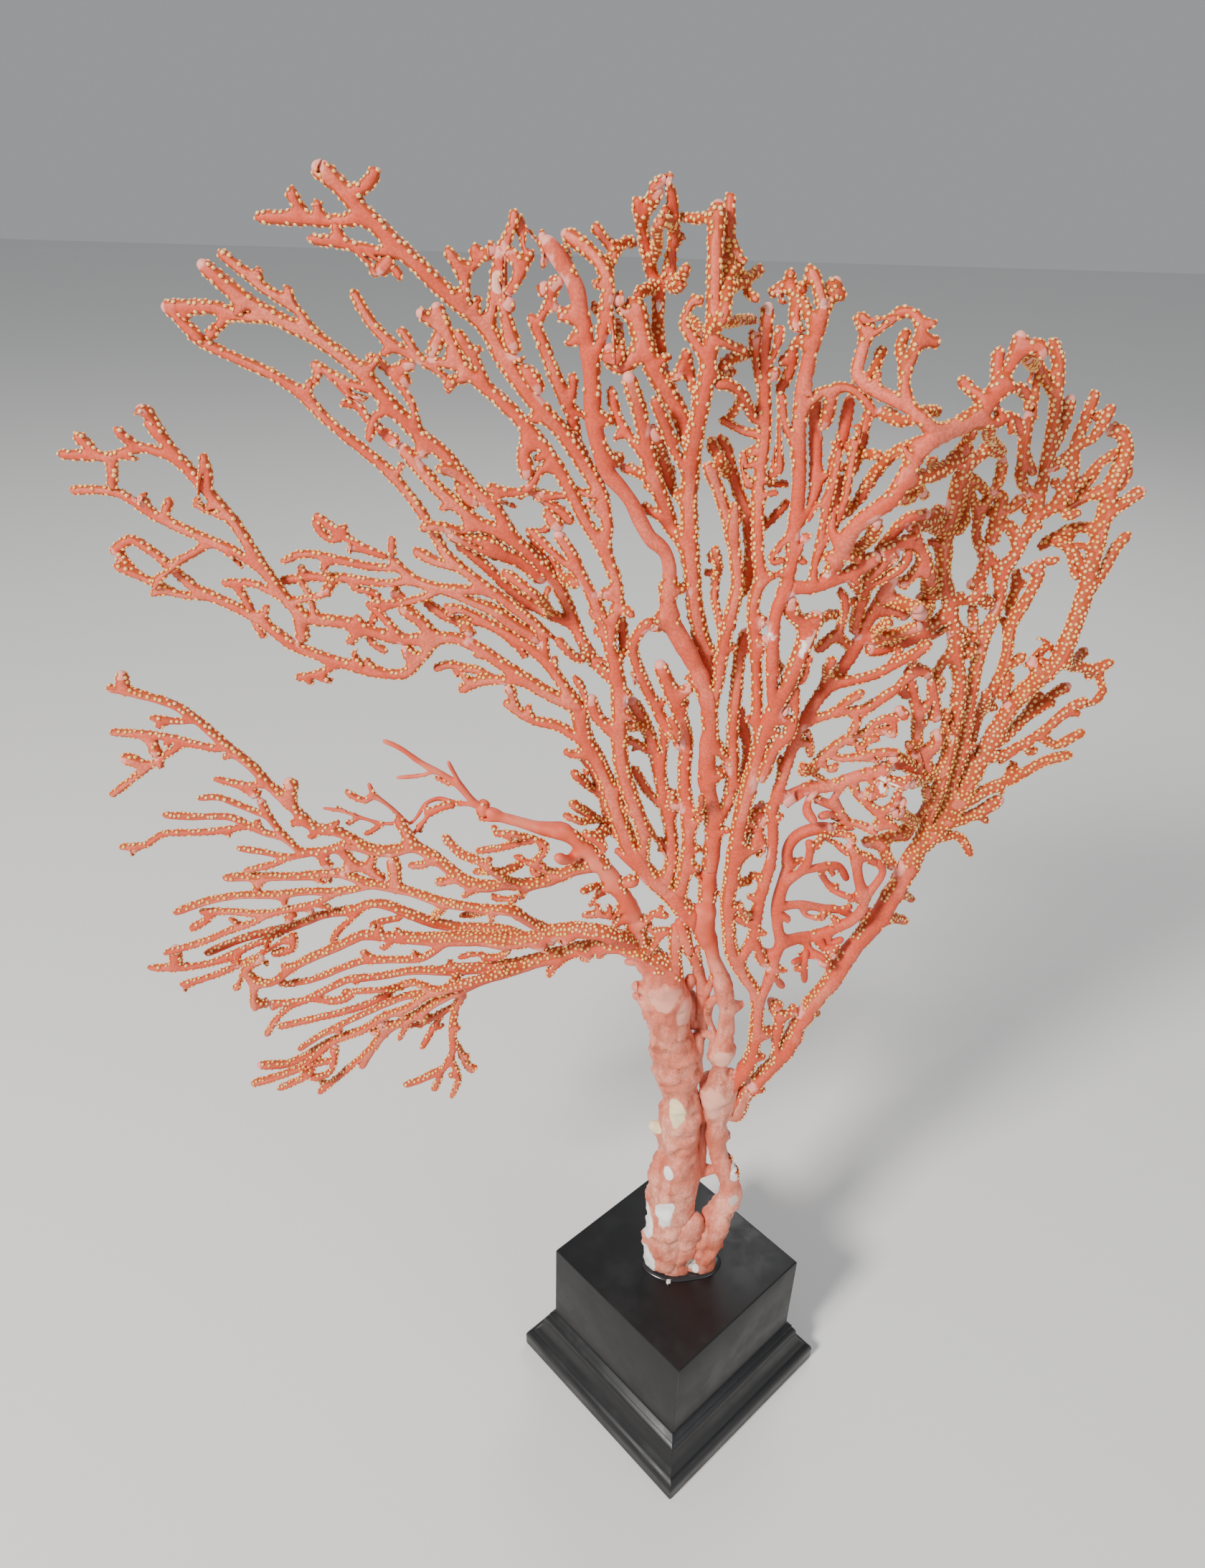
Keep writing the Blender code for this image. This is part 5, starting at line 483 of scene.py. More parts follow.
x8 x3 1 1.4 1.3 : 37.5,257.8 43,256.5 47,253.5
x9 x1 1 1.7 1.4 : 24,268.5 25.5,275 28.5,280 33,284.5 37,286.5 42,286.5 47,290
x10 x9 -1 1.4 1.3 : 26,276 31,278 37,279 43,281 49,281
x11 x9 1 1.3 1.3 : 33,284.5 37.5,283.5 38,279.5
x12 x9 0 1.3 1.4 : 38,286.8 42,291.5 48,292
x9a x9 -1 1.2 1.3 : 25,273.5 22.5,276
w1a bd -1 1.4 1.5 : 28.5,304 25,304 27,309
w2 bd 1 1.7 1.5 : 25,298.5 31,302 38,304 43.5,307.5 44,313
w2a w2 -1 1.5 1.7 : 42,306.5 47,310 52,314.5
w3 bd 1 1.6 1.5 : 20,287.5 26,291.5 31.5,293.5 37,293.5 41.5,297 46,301.5
w3a w3 -1 1.3 1.5 : 30,293 32,296.5 36.5,299.5
w3b w3 0 1.4 1.4 : 34,293.6 36.5,289.5 34,286
w4 bd 1 2 1.8 : 33.3,315 38,314.5 44,317 49,319
w4a w4 -1 1.2 1.5 : 36,314.8 38,319 40.5,319.5
w5 bd -1 1.9 1.9 : 37,326 44,324.5 48.5,323.5
w6 bd -1 1.4 1.3 : 32,311 27,315.5 29,323 26,328.5
y1 a8c -1 2 2.3 : 12,328 19,328.5 25,331 30,333.5 35,338
y2 y1 -1 1.9 1.7 : 30,333.5 30,340 25,337.5
y3 y1 1 1.9 2 : 35,338 40,341 44,341 46.5,337 47.5,331.5
y3a y3 -1 1.3 1.4 : 39,340.5 41,343.5 43.5,342.8
y4 y1 1 1.7 1.8 : 33,336.5 37,343 40,347.5 46,348.5
y5 y1 -1 2.6 2.7 : 22,329.7 25,338 27,344.5 31,348.5 36,351.5 38,357.5 40.5,364.5 47,369 53,372.5
    56,378 57.5,383
y5a y5 1 1.6 1.7 : 55.8,377.5 55,383 54.5,388
y5b y5 -1 1.7 1.8 : 57,381 58.5,386 59,391.5
y5c y5 -1 1.6 1.7 : 52.5,372 50.5,378 46.5,380.8
y5d y5 1 1.6 1.5 : 55,376 60,380.5 64,376.5
y5e y5 1 1.8 1.5 : 50,371 57,370.5 61,373.5 64,368
y6 y5 1 2.1 2 : 37,354.5 42,357.5 47,359 50,363.5 53,365.5
y6a y6 -1 1.3 1.6 : 43,358 44,361.5
y6b y6 -1 1.2 1.5 : 40,356.5 43.5,353
y7 y5 -1 1.8 1.6 : 40,362.5 35,364 31.5,360 29,355 27,350
y8 y5 -1 1.9 1.7 : 40.5,364.5 41,370.5 36,374 29,376.5 22.5,380 23.5,387 24.5,392.5
y8a y8 0 1.3 1.3 : 23.8,389.5 21,394
y8b y8 1 1.7 1.5 : 38,372.8 33.5,378.5 35,385 36.5,391.5 33,395.5 29,393.5
y8c y8b -1 1.2 1.6 : 35.8,388 41,388.5
y8d y8b 1 1.4 1.5 : 33.7,379.5 31.5,386 33,391
y8e y8 1 1.4 1.4 : 27,377.3 27,384 28.5,387
y8f y8 1 1.3 1.3 : 38.5,373 43.5,373
z1 a8c 2 1.9 1.7 : 13,337 16,344 17,352 16,360 15,368 14,376
z2 y5 2 1.7 1.6 : 24.5,337 21,344.5 22,352 20,360 22,368 22,376
z2a z2 0 1.3 1.4 : 20.5,358 20.3,366
z3 z2 1 1.5 1.5 : 22,352 25.5,360 26.5,368 27,374
fr side 24 3.2 2.2 : 9,138,3.2 15,141.5,3.2 18.5,147,3.2 21,152.5,3.3 25,158.5,3.4 28.5,164,3.3
    31,171,3.4 32.5,178,3.4 34.5,185,3.4 37.5,191.5,3.5 41,198,3.5 43,205,3.5 46,212,3.6 50,219,3.6
    53,226,3.6 55.5,234,3.7 57.5,242,3.7 60,250,3.7 63.5,257,3.8 66,262,3.8 69.5,271,3 72,280,3
    74.5,289,2.9 77,297,2.8 81,303.5,2.8 86,308.5,2.7 88,317,2.6 88.7,326,2.6 88.5,335,2.5
    88.5,344,2.4 88.5,352,2.4 88,358,2.3 90.5,364,2.3 88.5,369.5,2.2 83,370.5,2.2
fr1 fr 0 1.9 1.9 : 24,156.5 25,164 26,172 26.5,179 26,185
fr2 fr1 0 1.8 1.8 : 26.3,181 24,187.5 21.5,190
fr3 fr 12 1.4 1.6 : 51.5,222 57,224 61,222
fr4 fr 14 1.3 1.2 : 55.5,234 58.5,232.5 61.5,230
fr5 fr 12 1.6 1.8 : 34.5,185 38.5,184
fr6 fr 8 1.5 1.5 : 47.5,214.5 46.5,220.5 49.5,227
lo1 fr 15 1.5 1.5 : 61.5,253 67,254.5 72,253.5 75.5,247
lo2 fr 18 1.8 2.1 : 63,256.5 70,259 76,263 81,267.5
lo3 fr 20 1.9 1.6 : 66.5,264 72,267.5 78,271.5 83,273.5 88,279.5 97,282
lo3a lo3 22 1.4 1.6 : 76,270.3 79.5,275.5 82,279
rw1 fr 24 1.5 1.4 : 82.5,305 79.5,309.5 81,314 84.5,313.5
rw2 fr 23 1.5 1.4 : 86,308.5 91.5,308.5 96.5,308 101,310.5
rw3 rw2 24 1.3 1.6 : 89.5,308.5 93,314
rw4 rw2 23 1.2 1 : 96.5,308 99.5,304 101,300.5
rw5 fr 26 1.5 1.5 : 88.6,325 92,333 93,341 96,345.5
rw6 fr 25 1.6 1.4 : 88.3,331 85,337 82.5,342 77,342.5
rw7 fr 26 1.6 1.5 : 88.5,345 84,347 79,344.5 74,340.5
rw8 fr 24 1.5 1.9 : 88.4,348 92,352.5 97,356.5
rw9 fr 25 1.8 1.6 : 88,356 82.5,354 77.5,350.5
rw10 fr 24 1.3 1.3 : 88,358 92.5,362.5 90.5,357
lo4 fr 20 1.7 1.5 : 72,279 78,281 83.5,285.5 88.5,290 91.5,295.5 97,299
lo4a lo4 21 1.3 1.6 : 86,287.5 92,284 95,287 98.5,289.5
lo4b lo4 19 1.2 1.4 : 79,281.5 84,281.5 87,283.5
lo5 fr 27 1.7 1.5 : 72.5,281.5 78,287.5 82,294.5 84,301
lo5a lo5 25 1.3 1.7 : 82.5,295.5 87,300 91.5,303.5
rd fr 17 1.8 1.7 : 68,267.5 67,276 67.5,285 68.2,293 70.5,299 72,305 72.5,312 71.5,319 74,326 76,332
    75,338
rd1 rd 23 1.3 1.4 : 69,292 69.5,301
rd2 rd 21 1.3 1.5 : 74.5,307 77,312
rd3 rd 24 1.4 1.3 : 72,316.5 69,321 71,328 70,335
re fr 20 2.1 1.5 : 64,258,2.1 65,268,2.1 66,278,2.1 66,288,2.1 65.5,298,2.1 65,308,2 65.5,317,2
    68,325,2 66.5,332,2 65,336,1.5 61,339.5,1.5 57.5,343,1.5 58,350,1.5 61.5,357,1.5 60.5,363.5,1.5
re2 re 18 1.3 1.4 : 57.7,348 54.5,354 52.5,360
re3 re 24 1.9 1.6 : 66.5,333 69.5,341 71.5,349 71.5,358 71,367 70.5,376 69,385 66,390
re4 re3 21 1.6 1.6 : 71,351 66,357.5 65,366 64.5,374
re5 re3 26 1.7 1.5 : 70.5,345 76,351.5 78.5,358.5 77,366 78.5,374 79,379
re6 re5 24 1.4 1.4 : 78.4,360 81,367 84,376
re7 re3 27 1.4 1.7 : 71.5,361 73.5,369.5 73.5,378
re8 re3 22 1.4 1.3 : 70.6,375 67,380.5 63,386.5
rf fr 12 2.2 2.4 : 60.5,251.5 60.5,258 61.5,265 62.5,273 62.5,283 62.5,293 62,302 59.5,310 57,318
    54.5,326 51.5,333 50.5,341 51,350 51.5,358 52.5,365
rf1 rf 13 1.3 1.5 : 62.4,296 60.5,300.5
rf2 rf 10 1.5 1.4 : 62.8,279 60,287 59.5,295
rf3 rf 13 1.4 1.3 : 56,322 60,326.5 63.5,331
rf4 rf 10 1.6 1.5 : 58.5,313.5 55.5,308.5 54,301
rf5 rf 9 1.3 1.5 : 54.5,326 48,327.5
rg rf 6 1.9 1.7 : 62.7,270 57,277.5 53,285 52,293 49.5,300 47,307
rg1 rg 8 1.4 1.4 : 52.3,291 55,297.5 54,304
rg2 rg 4 1.3 1.5 : 54,283 50.5,283.5
rg3 rf 8 1.4 1.5 : 62,262 58.5,266.5 58.5,271
re9 re 14 1.5 1.4 : 65.2,313 62,319 60.5,326
"""

# short twigs, links between strands and fills at a given depth: radii, then the path
twigRows = """
twig 1.9 2.4 : -94.8,418 -97,419.4 -99.5,420.6
twig 1.7 1.7 : -90.8,411.7 -89.2,414.1 -87.5,416.8 -85.3,420.3
twig 1.2 1.2 : -98.5,411.2 -99.2,413.8
twig 1.5 1.5 : -100.8,410.4 -103.2,411.5 -104.1,413.4 -104.4,416.3
twig 1.1 1.1 : -87.8,401.1 -87.5,398.6
twig 1.1 1.1 : -83,401.4 -81.9,398.1
twig 1.2 1.2 : -105.6,389.8 -107.1,392.7 -107.6,396.5
twig 1.6 1.7 : -132,391 -132.1,388.1 -130.8,385.5 -128,384.2
twig 1.3 1.3 : -120.3,389.7 -122.6,388.3 -124.9,387.1
twig 1.1 1.1 : -95.8,371.8 -93,370.1 -92.2,366.6 -88.4,364.4
twig 1.1 1 : -93,369.8 -95.5,370.4 -98,371.1
twig 1.7 2.6 : -143.3,363.4 -144.6,366.2 -146.2,369.5
twig 1.3 1.4 : -148.1,359.2 -150.5,361 -152.9,363.8
twig 1.5 1.6 : -156.4,356.8 -160,359.2 -162.9,362.1
twig 1.4 1.3 : -154.6,356.5 -155.8,352.3 -156.2,348.5
twig 1.4 1.3 : -145.5,340.7 -144.2,343.5 -142.4,347
twig 1.4 1.4 : -132.2,346.9 -132.1,351.1 -132.2,354.5 -132.7,358.2
twig 1.3 1.4 : -131.8,349.2 -134.2,346.5 -136.8,346.6
twig 1.3 1.3 : -101,336.1 -104.7,337.2 -106.4,339.5 -106.8,343.6
twig 1.2 1.2 : -88.5,332.5 -88,338.9
twig 1.3 1.3 : -123,309.6 -119.8,309.1 -115.1,307.9
twig 1 1 : -115.6,320.4 -110.5,321.9 -106.4,322.6
twig 1 1 : -109.7,316.4 -110.2,320.8 -111.2,324.4 -113.2,327.6
twig 1.3 1.3 : -129.5,323.4 -127.1,320.9 -125.9,315 -123.8,309.8
twig 1.2 1.1 : -148.3,326.9 -151,322.7
twig 1.2 1.2 : -99.4,323.9 -94.6,324.4 -91.6,322.4 -93.5,317.7 -96.3,313.8 -95.8,309.4 -91.5,306.9
twig 1.2 1.2 : -86.2,379.3 -87.8,381 -88.8,382.1
twig 1.2 1.2 : -72.9,380 -71.8,376.7 -72.3,373.7
twig 1.3 1.3 : 5.6,397.3 5.5,400.1 5,402.9
twig 1.3 1.2 : 23.8,388.1 26.9,391.1 30.3,393.8
twig 1.2 1.2 : 25.6,390.1 21.6,393.9
twig 1.4 1.3 : 12.2,370.8 13.4,375.6 17.3,378 21.7,378.1 25.2,375.9 29,371.3
twig 1.3 1.2 : 18.3,329.6 19.2,338.1 19.8,348 20.9,357.5 21.1,363.9
twig 1.3 1.2 : 19.1,334.1 21.9,342.2 24.4,352 24.4,361.3 24.2,366.7
twig 1.8 1.9 : 4.4,364 2.7,371.5 1.1,378.4 -0.4,384.8 -1.6,389.7
twig 1.3 1.2 : 9.7,360.5 8,366.3 6.7,371.6 5.8,376.4
twig 1.3 1.3 : -52.8,404.2 -54.8,409 -55.7,412.3
twig 1.2 1.2 : -50.4,403 -49.7,406.4 -50.2,409.1
twig 1.3 1.2 : -41.6,327.7 -46,334.2 -50.8,339 -53.7,341.9
twig 1.3 1.2 : -36.2,346.3 -38.9,350.1 -41.2,351.9 -43.5,351.5
twig 1.3 1.2 : -48,349.8 -53.6,351.5 -56.6,349.6
twig 1.2 1.2 : -7.2,329.2 -6.8,334.3 -7.8,337.7
twig 1.3 1.3 : -0.9,329.4 -1.6,337.5 -3,345.4 -2.7,350.2
twig 1.3 1.3 : 3.1,332.6 3,341.6 2.1,347.5
link 2.8 2.2 : -6.7,192 -8.3,199.5 -9,205 -9.6,210.5 -9.7,215 -9.4,219
link 1.5 1.5 : -13,199.5 -14.4,205 -15,209 -14.9,213 -13.4,215.5 -10.8,216.2
link 1.3 1.3 : -16.5,205 -17.4,210 -18,214 -18.2,219.5 -17,222.5 -14.2,222 -11.7,221.5
twig 1.1 1.1 : -14.4,222.3 -14.5,225.8
link 1.9 1.9 : -3.8,194 -3.6,200 -4.4,205.5 -5.9,210.5 -7.6,214
link 2 2.1 : -2.2,172.5 1.6,176 4.8,173.5 7,169.5
link 1.8 1.8 : 2.8,176 2.4,183.5 3.4,187.5 6.3,190
link 1.5 1.6 : 1.8,184 1.7,192.5 2.7,196.5 4.4,200
link 2.4 2.6 : -4.4,206 -5.6,211 -7.4,216 -8.9,221
fill:-0.6 6.2 5 : 0.8,54.5 1.4,60 2.6,68 4,76 5.8,84
fill:0.4 6.2 4.6 : 9.4,55 10.6,62 12.4,70 14,78 16,86
fill:2.6 2.8 2.6 : 5,106 5.2,114 5,124 5.4,136
fill:0.2 4 4.2 : 4.4,134 5.6,141 5.4,149 6.4,157
fill:0.2 3.2 3.4 : 11.5,134 13,142 13,150 11.5,158
fill:-0.6 4.4 5 : 8.6,161 8.8,166 8.4,171
fill:1.6 3 2.8 : 0.2,156 0.5,165 0,174
fill:0.4 3.6 4.2 : -3.5,179 -4,186 -4.4,193
fill:-0.6 5.2 5 : -13.5,184 -14.5,192 -17,198
fill:0 3 3.2 : 16.2,136 17.4,143 19,151
twig 2.2 2.4 : 12.4,126 15,128
twig 2.2 2.6 : 15.6,104 17.6,110
twig 2.4 2.8 : -9,130 -14,130
twig 2 2.2 : 13,112 14.5,117
link 1.8 1.8 : 3,100 5,105 8,108 12,109
link 2.1 2.1 : 14.2,291.4 15.7,290.1 17.7,289.7 17.8,285.5 13.2,280.5 11.9,272 10.6,269.9
link 1.8 1.8 : 36.3,337.5 36.7,335.3 33.6,332.8 32.4,331.1 33,327.4 31.8,324.2 31.9,320.8 31.1,319.1
    31.5,316.5 32.3,315.8
link 2.4 2.4 : -69.5,340.2 -64.3,338.5 -60.4,335.1 -55.5,333.6 -49.2,327.8
link 2 2 : 53.4,321.1 49.3,316.5 44.4,313.7 36.3,311 35.7,311.6 36.2,313.7
link 1.9 1.9 : 58.4,254.1 57.1,254.4 55.1,253 51.5,253.3 48.4,251.5 51.7,243.7 54.4,242
link 2.2 2.2 : -65.8,323.4 -64.3,322.4 -61.3,318.2 -56,314.4 -53.6,313.7 -50.9,310.5
link 2 2 : -1.6,288 -1.3,286.5 1,283 0.2,281.7 -2.3,281.3 -2.5,278.7 1.5,278 1.9,274.6
link 1.9 1.9 : 67.8,341.1 66.9,342.2 65.9,346.6 62.2,346.5 62.3,351.7 63.1,353.5 62.3,354.2
    60.5,354.3
link 2.4 2.4 : 8.7,245.6 11.6,246.8 12.2,247.8 12,255.5 11.4,257.1 12,262.7
link 1.5 1.5 : -125.5,157.7 -120.8,156.4 -121.5,150.9 -126.1,148.8 -129.9,148.5
link 1.5 1.5 : -136.1,207 -130.1,207.8 -128.1,207.3 -127.6,206.4 -128.9,204.1 -136,201.9
link 1.5 1.5 : 1.1,368.3 -0.3,369.2 -0.8,371.2 -1.8,372.2 -1.7,374.7 -2.4,375.7 -4.2,376 -6,378.2
    -10.1,377.5
link 1.8 1.8 : -109,243.3 -107.6,237.5 -102.7,235.9 -97.7,231.7
link 1.5 1.5 : -126.2,182.1 -122.4,184.1 -119.5,182.9 -114.2,184 -111.9,185.6 -111.5,187.7
link 2.4 2.4 : 46.8,274.5 48.5,274.8 49.1,277.9 51.4,278.1 55.4,273.9 59.6,272.4
link 2.2 2.2 : -14.1,266.8 -13.7,267.4 -14.6,277.6 -13.3,280.6 -11.6,281.8
link 1.9 1.9 : -143,189.7 -144.1,190.2 -144.9,196.7 -140.7,198.9 -138.4,200.9
link 1.7 1.7 : -55,349.9 -53.3,348.2 -50.2,347 -48.5,347.8 -46.8,347.8 -42.5,343.4
link 2.1 2.1 : -30.8,283.9 -33.2,285 -35.3,289 -37.2,293.4 -36.9,296.3
link 1.5 1.5 : 36,257 33.4,256.2 33.2,253.5 30.6,252.7 30.7,248.8 29.2,248 28.5,248.7
link 1.6 1.6 : 79.8,288 82.1,289.3 84.2,296.1 86.1,296.7 88,298.8
link 2.4 2.4 : -28,384.5 -30.1,383.4 -30.6,380.6 -33.8,380.9 -35.3,386.2
link 1.7 1.7 : -31.5,241.7 -32,245.4 -34.2,249.6 -37.3,250 -38.7,251.7
link 1.2 1.2 : 82.2,354.9 82.5,356.5 83.7,357.8 83,359.5 84.2,362.3 86.8,365.1 88.2,365.3
link 2.4 2.4 : 14.8,332 15.5,331.7 16.4,332.6 18,338.9 14.4,342.2
link 2.1 2.1 : 12.9,203.8 14.4,208 15.4,208.7 16.9,207.8 19.9,202.9
link 2.1 2.1 : 58.6,254.1 58.4,255.5 55.9,259.2 50.5,261 50,262.7
link 1.7 1.7 : -64.5,314.2 -61.7,311.5 -53.9,306.9
link 1.9 1.9 : 42.9,306.6 44,305.9 47.7,307 49.5,306.3 51.8,306.7 53.1,303.8
link 1.2 1.2 : -102.1,212.1 -100.1,216.6 -95.6,217.3 -93,219
link 1.3 1.3 : 72.7,345.2 75,346.2 76.6,349.1 79,348.6 82.6,350.2
link 2 2 : -79.2,312.7 -81.9,316.3 -87.2,319.5 -87.3,320.8
link 1.5 1.5 : 37.1,335.4 38.7,333 41.2,334 42.5,339.1 41.4,339.6
link 2.4 2.4 : -20.2,357.1 -21.2,358.9 -22.8,365.4 -23.6,366.9 -24.7,367.4
link 1.2 1.2 : -99.1,263.3 -99.4,261.1 -101,259.8 -102.3,259.7 -105.6,261.8 -106.8,263.5
link 1.7 1.7 : -90,245.1 -89.6,248.5 -92,252.4 -92.2,255.7
link 1.9 1.9 : 65.9,367.1 68.1,366.2 68.9,364 69,360.9 68,360 68.1,358.7 68.7,358.3
link 1.2 1.2 : 11.3,340.2 10,339.5 7.1,335.6 7.9,334.7 11.4,335.7
link 1.5 1.5 : -151,217.4 -152.9,215.2 -160,211
link 1.9 1.9 : 61.1,338.1 60.7,337 61.5,333 60.7,330.7 59.3,329.9 57.9,330.8
link 1.9 1.9 : 38.9,369.8 35.5,370.1 28.8,373.1
link 2.3 2.3 : -94.6,231.3 -94.8,241 -95.8,241.5
link 1.6 1.6 : 17.6,290.2 18.5,295 17.6,298.4 18.1,300.6
link 2.4 2.4 : 51.6,320 50,321.4 48.6,326.5 45.5,326.6
link 1.6 1.6 : 76.4,336.9 74.7,339.1 72.1,338.6 73.1,334.8 72,334.1
link 1.7 1.7 : 34.4,214.7 36.4,211.3 38.4,210.1 39.3,210.3 41.2,212.9
link 1.2 1.2 : 33.5,253.5 36.2,248.6 40.1,246.1
link 2.4 2.4 : 44.3,273 44.9,267.4 40.5,267.4
link 2.4 2.4 : 18,318.9 14,321.3 13.8,326.2
link 1.1 1.1 : 18.3,301.5 20.3,303.1 19.9,305.8 20.5,309.3 21.2,309.6
link 1.7 1.7 : 44.7,305.7 46.2,300 49.3,298.1
link 2.4 2.4 : -2.9,230.6 -4.6,232.4 -5.3,235.5 -4.6,236.8 -2.8,238.1
link 2.2 2.2 : 56.8,280.9 57.3,282.9 59.2,283.7 58.7,286.6 57.5,288.6
link 2.4 2.4 : 56,299.8 56.3,293.4 57.4,291.8 57.4,290.8
link 2 2 : -162.5,278.8 -159,277.9 -159.3,272.1
link 2 2 : 48.6,344.3 45.3,346.2 39.9,345.1
link 1.5 1.5 : -1.7,384.5 -6,384.3 -6.6,383.1 -8.4,382.1 -8.9,380.6
link 1.9 1.9 : 30.2,338.6 33,344.1 32.5,347.1
link 2.1 2.1 : -151.8,326.8 -154.8,330.1 -158.9,332.1
link 1.9 1.9 : 59.1,386.1 60.4,386 63.3,388.5 65.6,385.2
link 1.3 1.3 : -83.8,257.1 -82.4,256.9 -78.5,259.2 -75.3,259.6
link 2.1 2.1 : 60.7,310.8 60.8,314.4 59.6,316.3 61.5,319
link 1.5 1.5 : 9.9,363 8.2,361.4 7.4,357.9 4.7,356.5
link 1.9 1.9 : 17.7,376.8 17.5,372.2 16.4,368
link 2.3 2.3 : -55.3,381.3 -54.4,379.4 -51.7,377.1 -50.4,374.1
link 2.2 2.2 : 37.2,322.8 42.3,322.9 43.9,322.2 44.3,320.2
link 2.2 2.2 : -54.7,362.2 -55.2,361 -53.8,356.4 -53.9,353.7
link 1.5 1.5 : -62.8,235.9 -61.5,237 -59.5,237.4 -57.6,239.5 -55.5,239.9
link 2 2 : 74,306 74.1,304.4 73.2,302.7 74.3,297.6
link 1.5 1.5 : -9.8,359.1 -9,360.6 -7.3,360.7 -4.8,356
link 1.7 1.7 : 36.2,257.1 40.9,250
link 1.9 1.9 : -27.4,410.7 -26.6,411.6 -26.3,415.7 -24.4,418.2
link 2.4 2.4 : -38.6,212 -40.9,211.3 -42.8,212.4 -45.5,209.6
link 1.3 1.3 : -19.4,275 -21.6,275.9 -24.9,280.5
link 1.8 1.8 : 50,291.4 49.1,289.4 44.4,286
link 2.4 2.4 : -60.3,389.6 -58.3,387.6 -55.6,383.2
link 2.4 2.4 : -13.7,266.4 -13.2,261.3 -10.3,261
link 2.2 2.2 : -167.1,196.7 -165.5,202.8 -165.9,204.5
link 1.5 1.5 : -83.3,256.5 -83.7,253.2 -87.1,250
link 2.4 2.4 : -122.5,259.3 -121.9,264.2 -123.4,266.9
link 1.9 1.9 : -159,189.4 -164.6,187.2 -166.4,187.7
link 1.7 1.7 : 64.9,347.1 64.9,348.8 67.4,353 67.5,354.2
link 1.7 1.7 : -44.7,328.4 -48.8,335
link 1.9 1.9 : -49,393.5 -49,396.3 -46.1,399.4 -45.4,399.3
link 1.7 1.7 : 26.3,316.6 23.4,312.1 21.7,310.8
link 1.9 1.9 : -120.7,157 -119.9,161.1 -120.2,163.1 -119.5,164.3
link 2 2 : 54.1,364.2 58.5,365.2 60.7,363.2
link 1.7 1.7 : 13,217.8 9.3,221.9 7.3,222.2
link 1.4 1.4 : 26.5,273.3 28.7,273.7 31.3,275.1 32.6,276.9
link 2.1 2.1 : 37.3,278 38.1,277.2 40.4,277.2 42.1,277.7 43.6,279.3
link 2 2 : 47.1,331.9 44.3,330.7 40,330.1
link 1.6 1.6 : 42.9,247.9 48.5,243.1
link 2.2 2.2 : -113.2,315 -114,308.8 -115,309.1
link 1.6 1.6 : 70.5,315.7 68.2,318.9 69.4,322
link 0.85 0.85 : -104.1,254.8 -105.2,256.6 -110.3,257.3
link 1.3 1.3 : -83.7,238.9 -85.7,237.7 -90.6,237.7
link 2.4 2.4 : -17.7,384.2 -19.7,382 -18.7,377.9
link 2.4 2.4 : -70.1,352.1 -69,349.6 -65.3,347.2
link 1.8 1.8 : -1.1,203.9 -0.6,205.6 -0.8,208.1 -2.2,209.2 -3.3,209.2
link 2.4 2.4 : 8.3,307.8 7.8,312.9 8.7,314.5
link 0.85 0.85 : -97.3,252.1 -100.5,248.7 -102.9,248.6
link 1.7 1.7 : 66.8,378.6 66.4,377.2 64.7,376.9 63.8,376 64.4,373.5
link 1.5 1.5 : -14.3,214.8 -17.2,214.9 -17.9,219
link 2 2 : -49.5,346.8 -47.8,344 -45,341.5
link 1.3 1.3 : -64.6,249.7 -64,248.2 -60.6,248.7 -58.7,248.2
link 0.85 0.85 : -81.2,270.2 -81.2,268.9 -82.7,268.1 -86.6,268.8
link 1.9 1.9 : 55.1,260.1 53.7,264.3 51.3,265.2
link 1.5 1.5 : -80.1,222.9 -81.7,221 -83.8,219.9 -84,217.8
link 0.86 0.86 : 18.8,350.6 16.8,350.1 15.7,345.5
link 1.6 1.6 : -96.6,302.6 -96.8,304.3 -97.6,305.3 -101.3,306.1
link 2.4 2.4 : -126.6,218.8 -122.4,219.1 -120.7,221.1
link 2.4 2.4 : -34.7,363.3 -33.1,360.2 -30.4,358.7
link 1.5 1.5 : -76.7,232.7 -78.4,231.6 -82.9,232.2
link 1.3 1.3 : -4.1,375.7 -4.8,371.8 -5.9,369.5
link 1.5 1.5 : -144.4,190.3 -146.7,188.4 -150.1,187.7
link 1.9 1.9 : -17.2,240.6 -15.7,242.9 -15.2,245.1 -14.2,245.9
link 1.5 1.5 : 37.1,283.6 39.5,285 43.1,285.4
link 1 1 : 91.6,361.3 92,359.4 90,355.4
link 1.8 1.8 : -59.7,293.3 -58.7,297.3 -60.4,298.6
link 1.6 1.6 : -135,231.2 -137.9,225.8
link 1.9 1.9 : -73.7,387.3 -76,381.6
link 2 2 : -79.7,191.8 -77.1,196.2 -77.2,197.3
link 1.9 1.9 : -103.1,326.1 -104.3,324.4 -108.1,322.9
link 1.9 1.9 : -163.8,270.9 -169.9,272
link 1.8 1.8 : -116,240.6 -115.6,238 -113.3,235.5
link 1.9 1.9 : -12.3,295 -11.4,296.5 -11.3,298.6 -10.4,299.5 -10.7,300.3
link 0.94 0.94 : -0.2,318.8 1.6,317.7 2.1,316.7 0.6,316.5 -0.4,317.3
link 1.9 1.9 : 48.1,251.4 45.5,251.7 43.1,249.5
link 1.4 1.4 : -5.6,253.2 -4.6,259
link 1.5 1.5 : -53.5,239.2 -53.3,236.2 -50.5,236.1
link 1.2 1.2 : -96.8,208.6 -98.2,206.4 -101.5,206
link 1.5 1.5 : -1.6,358.4 -0.1,354.8 1.6,353.7
link 1.5 1.5 : 84.1,338.2 85.7,332.6
link 1.9 1.9 : -83.5,377.6 -82.6,379.9 -79.3,380.2
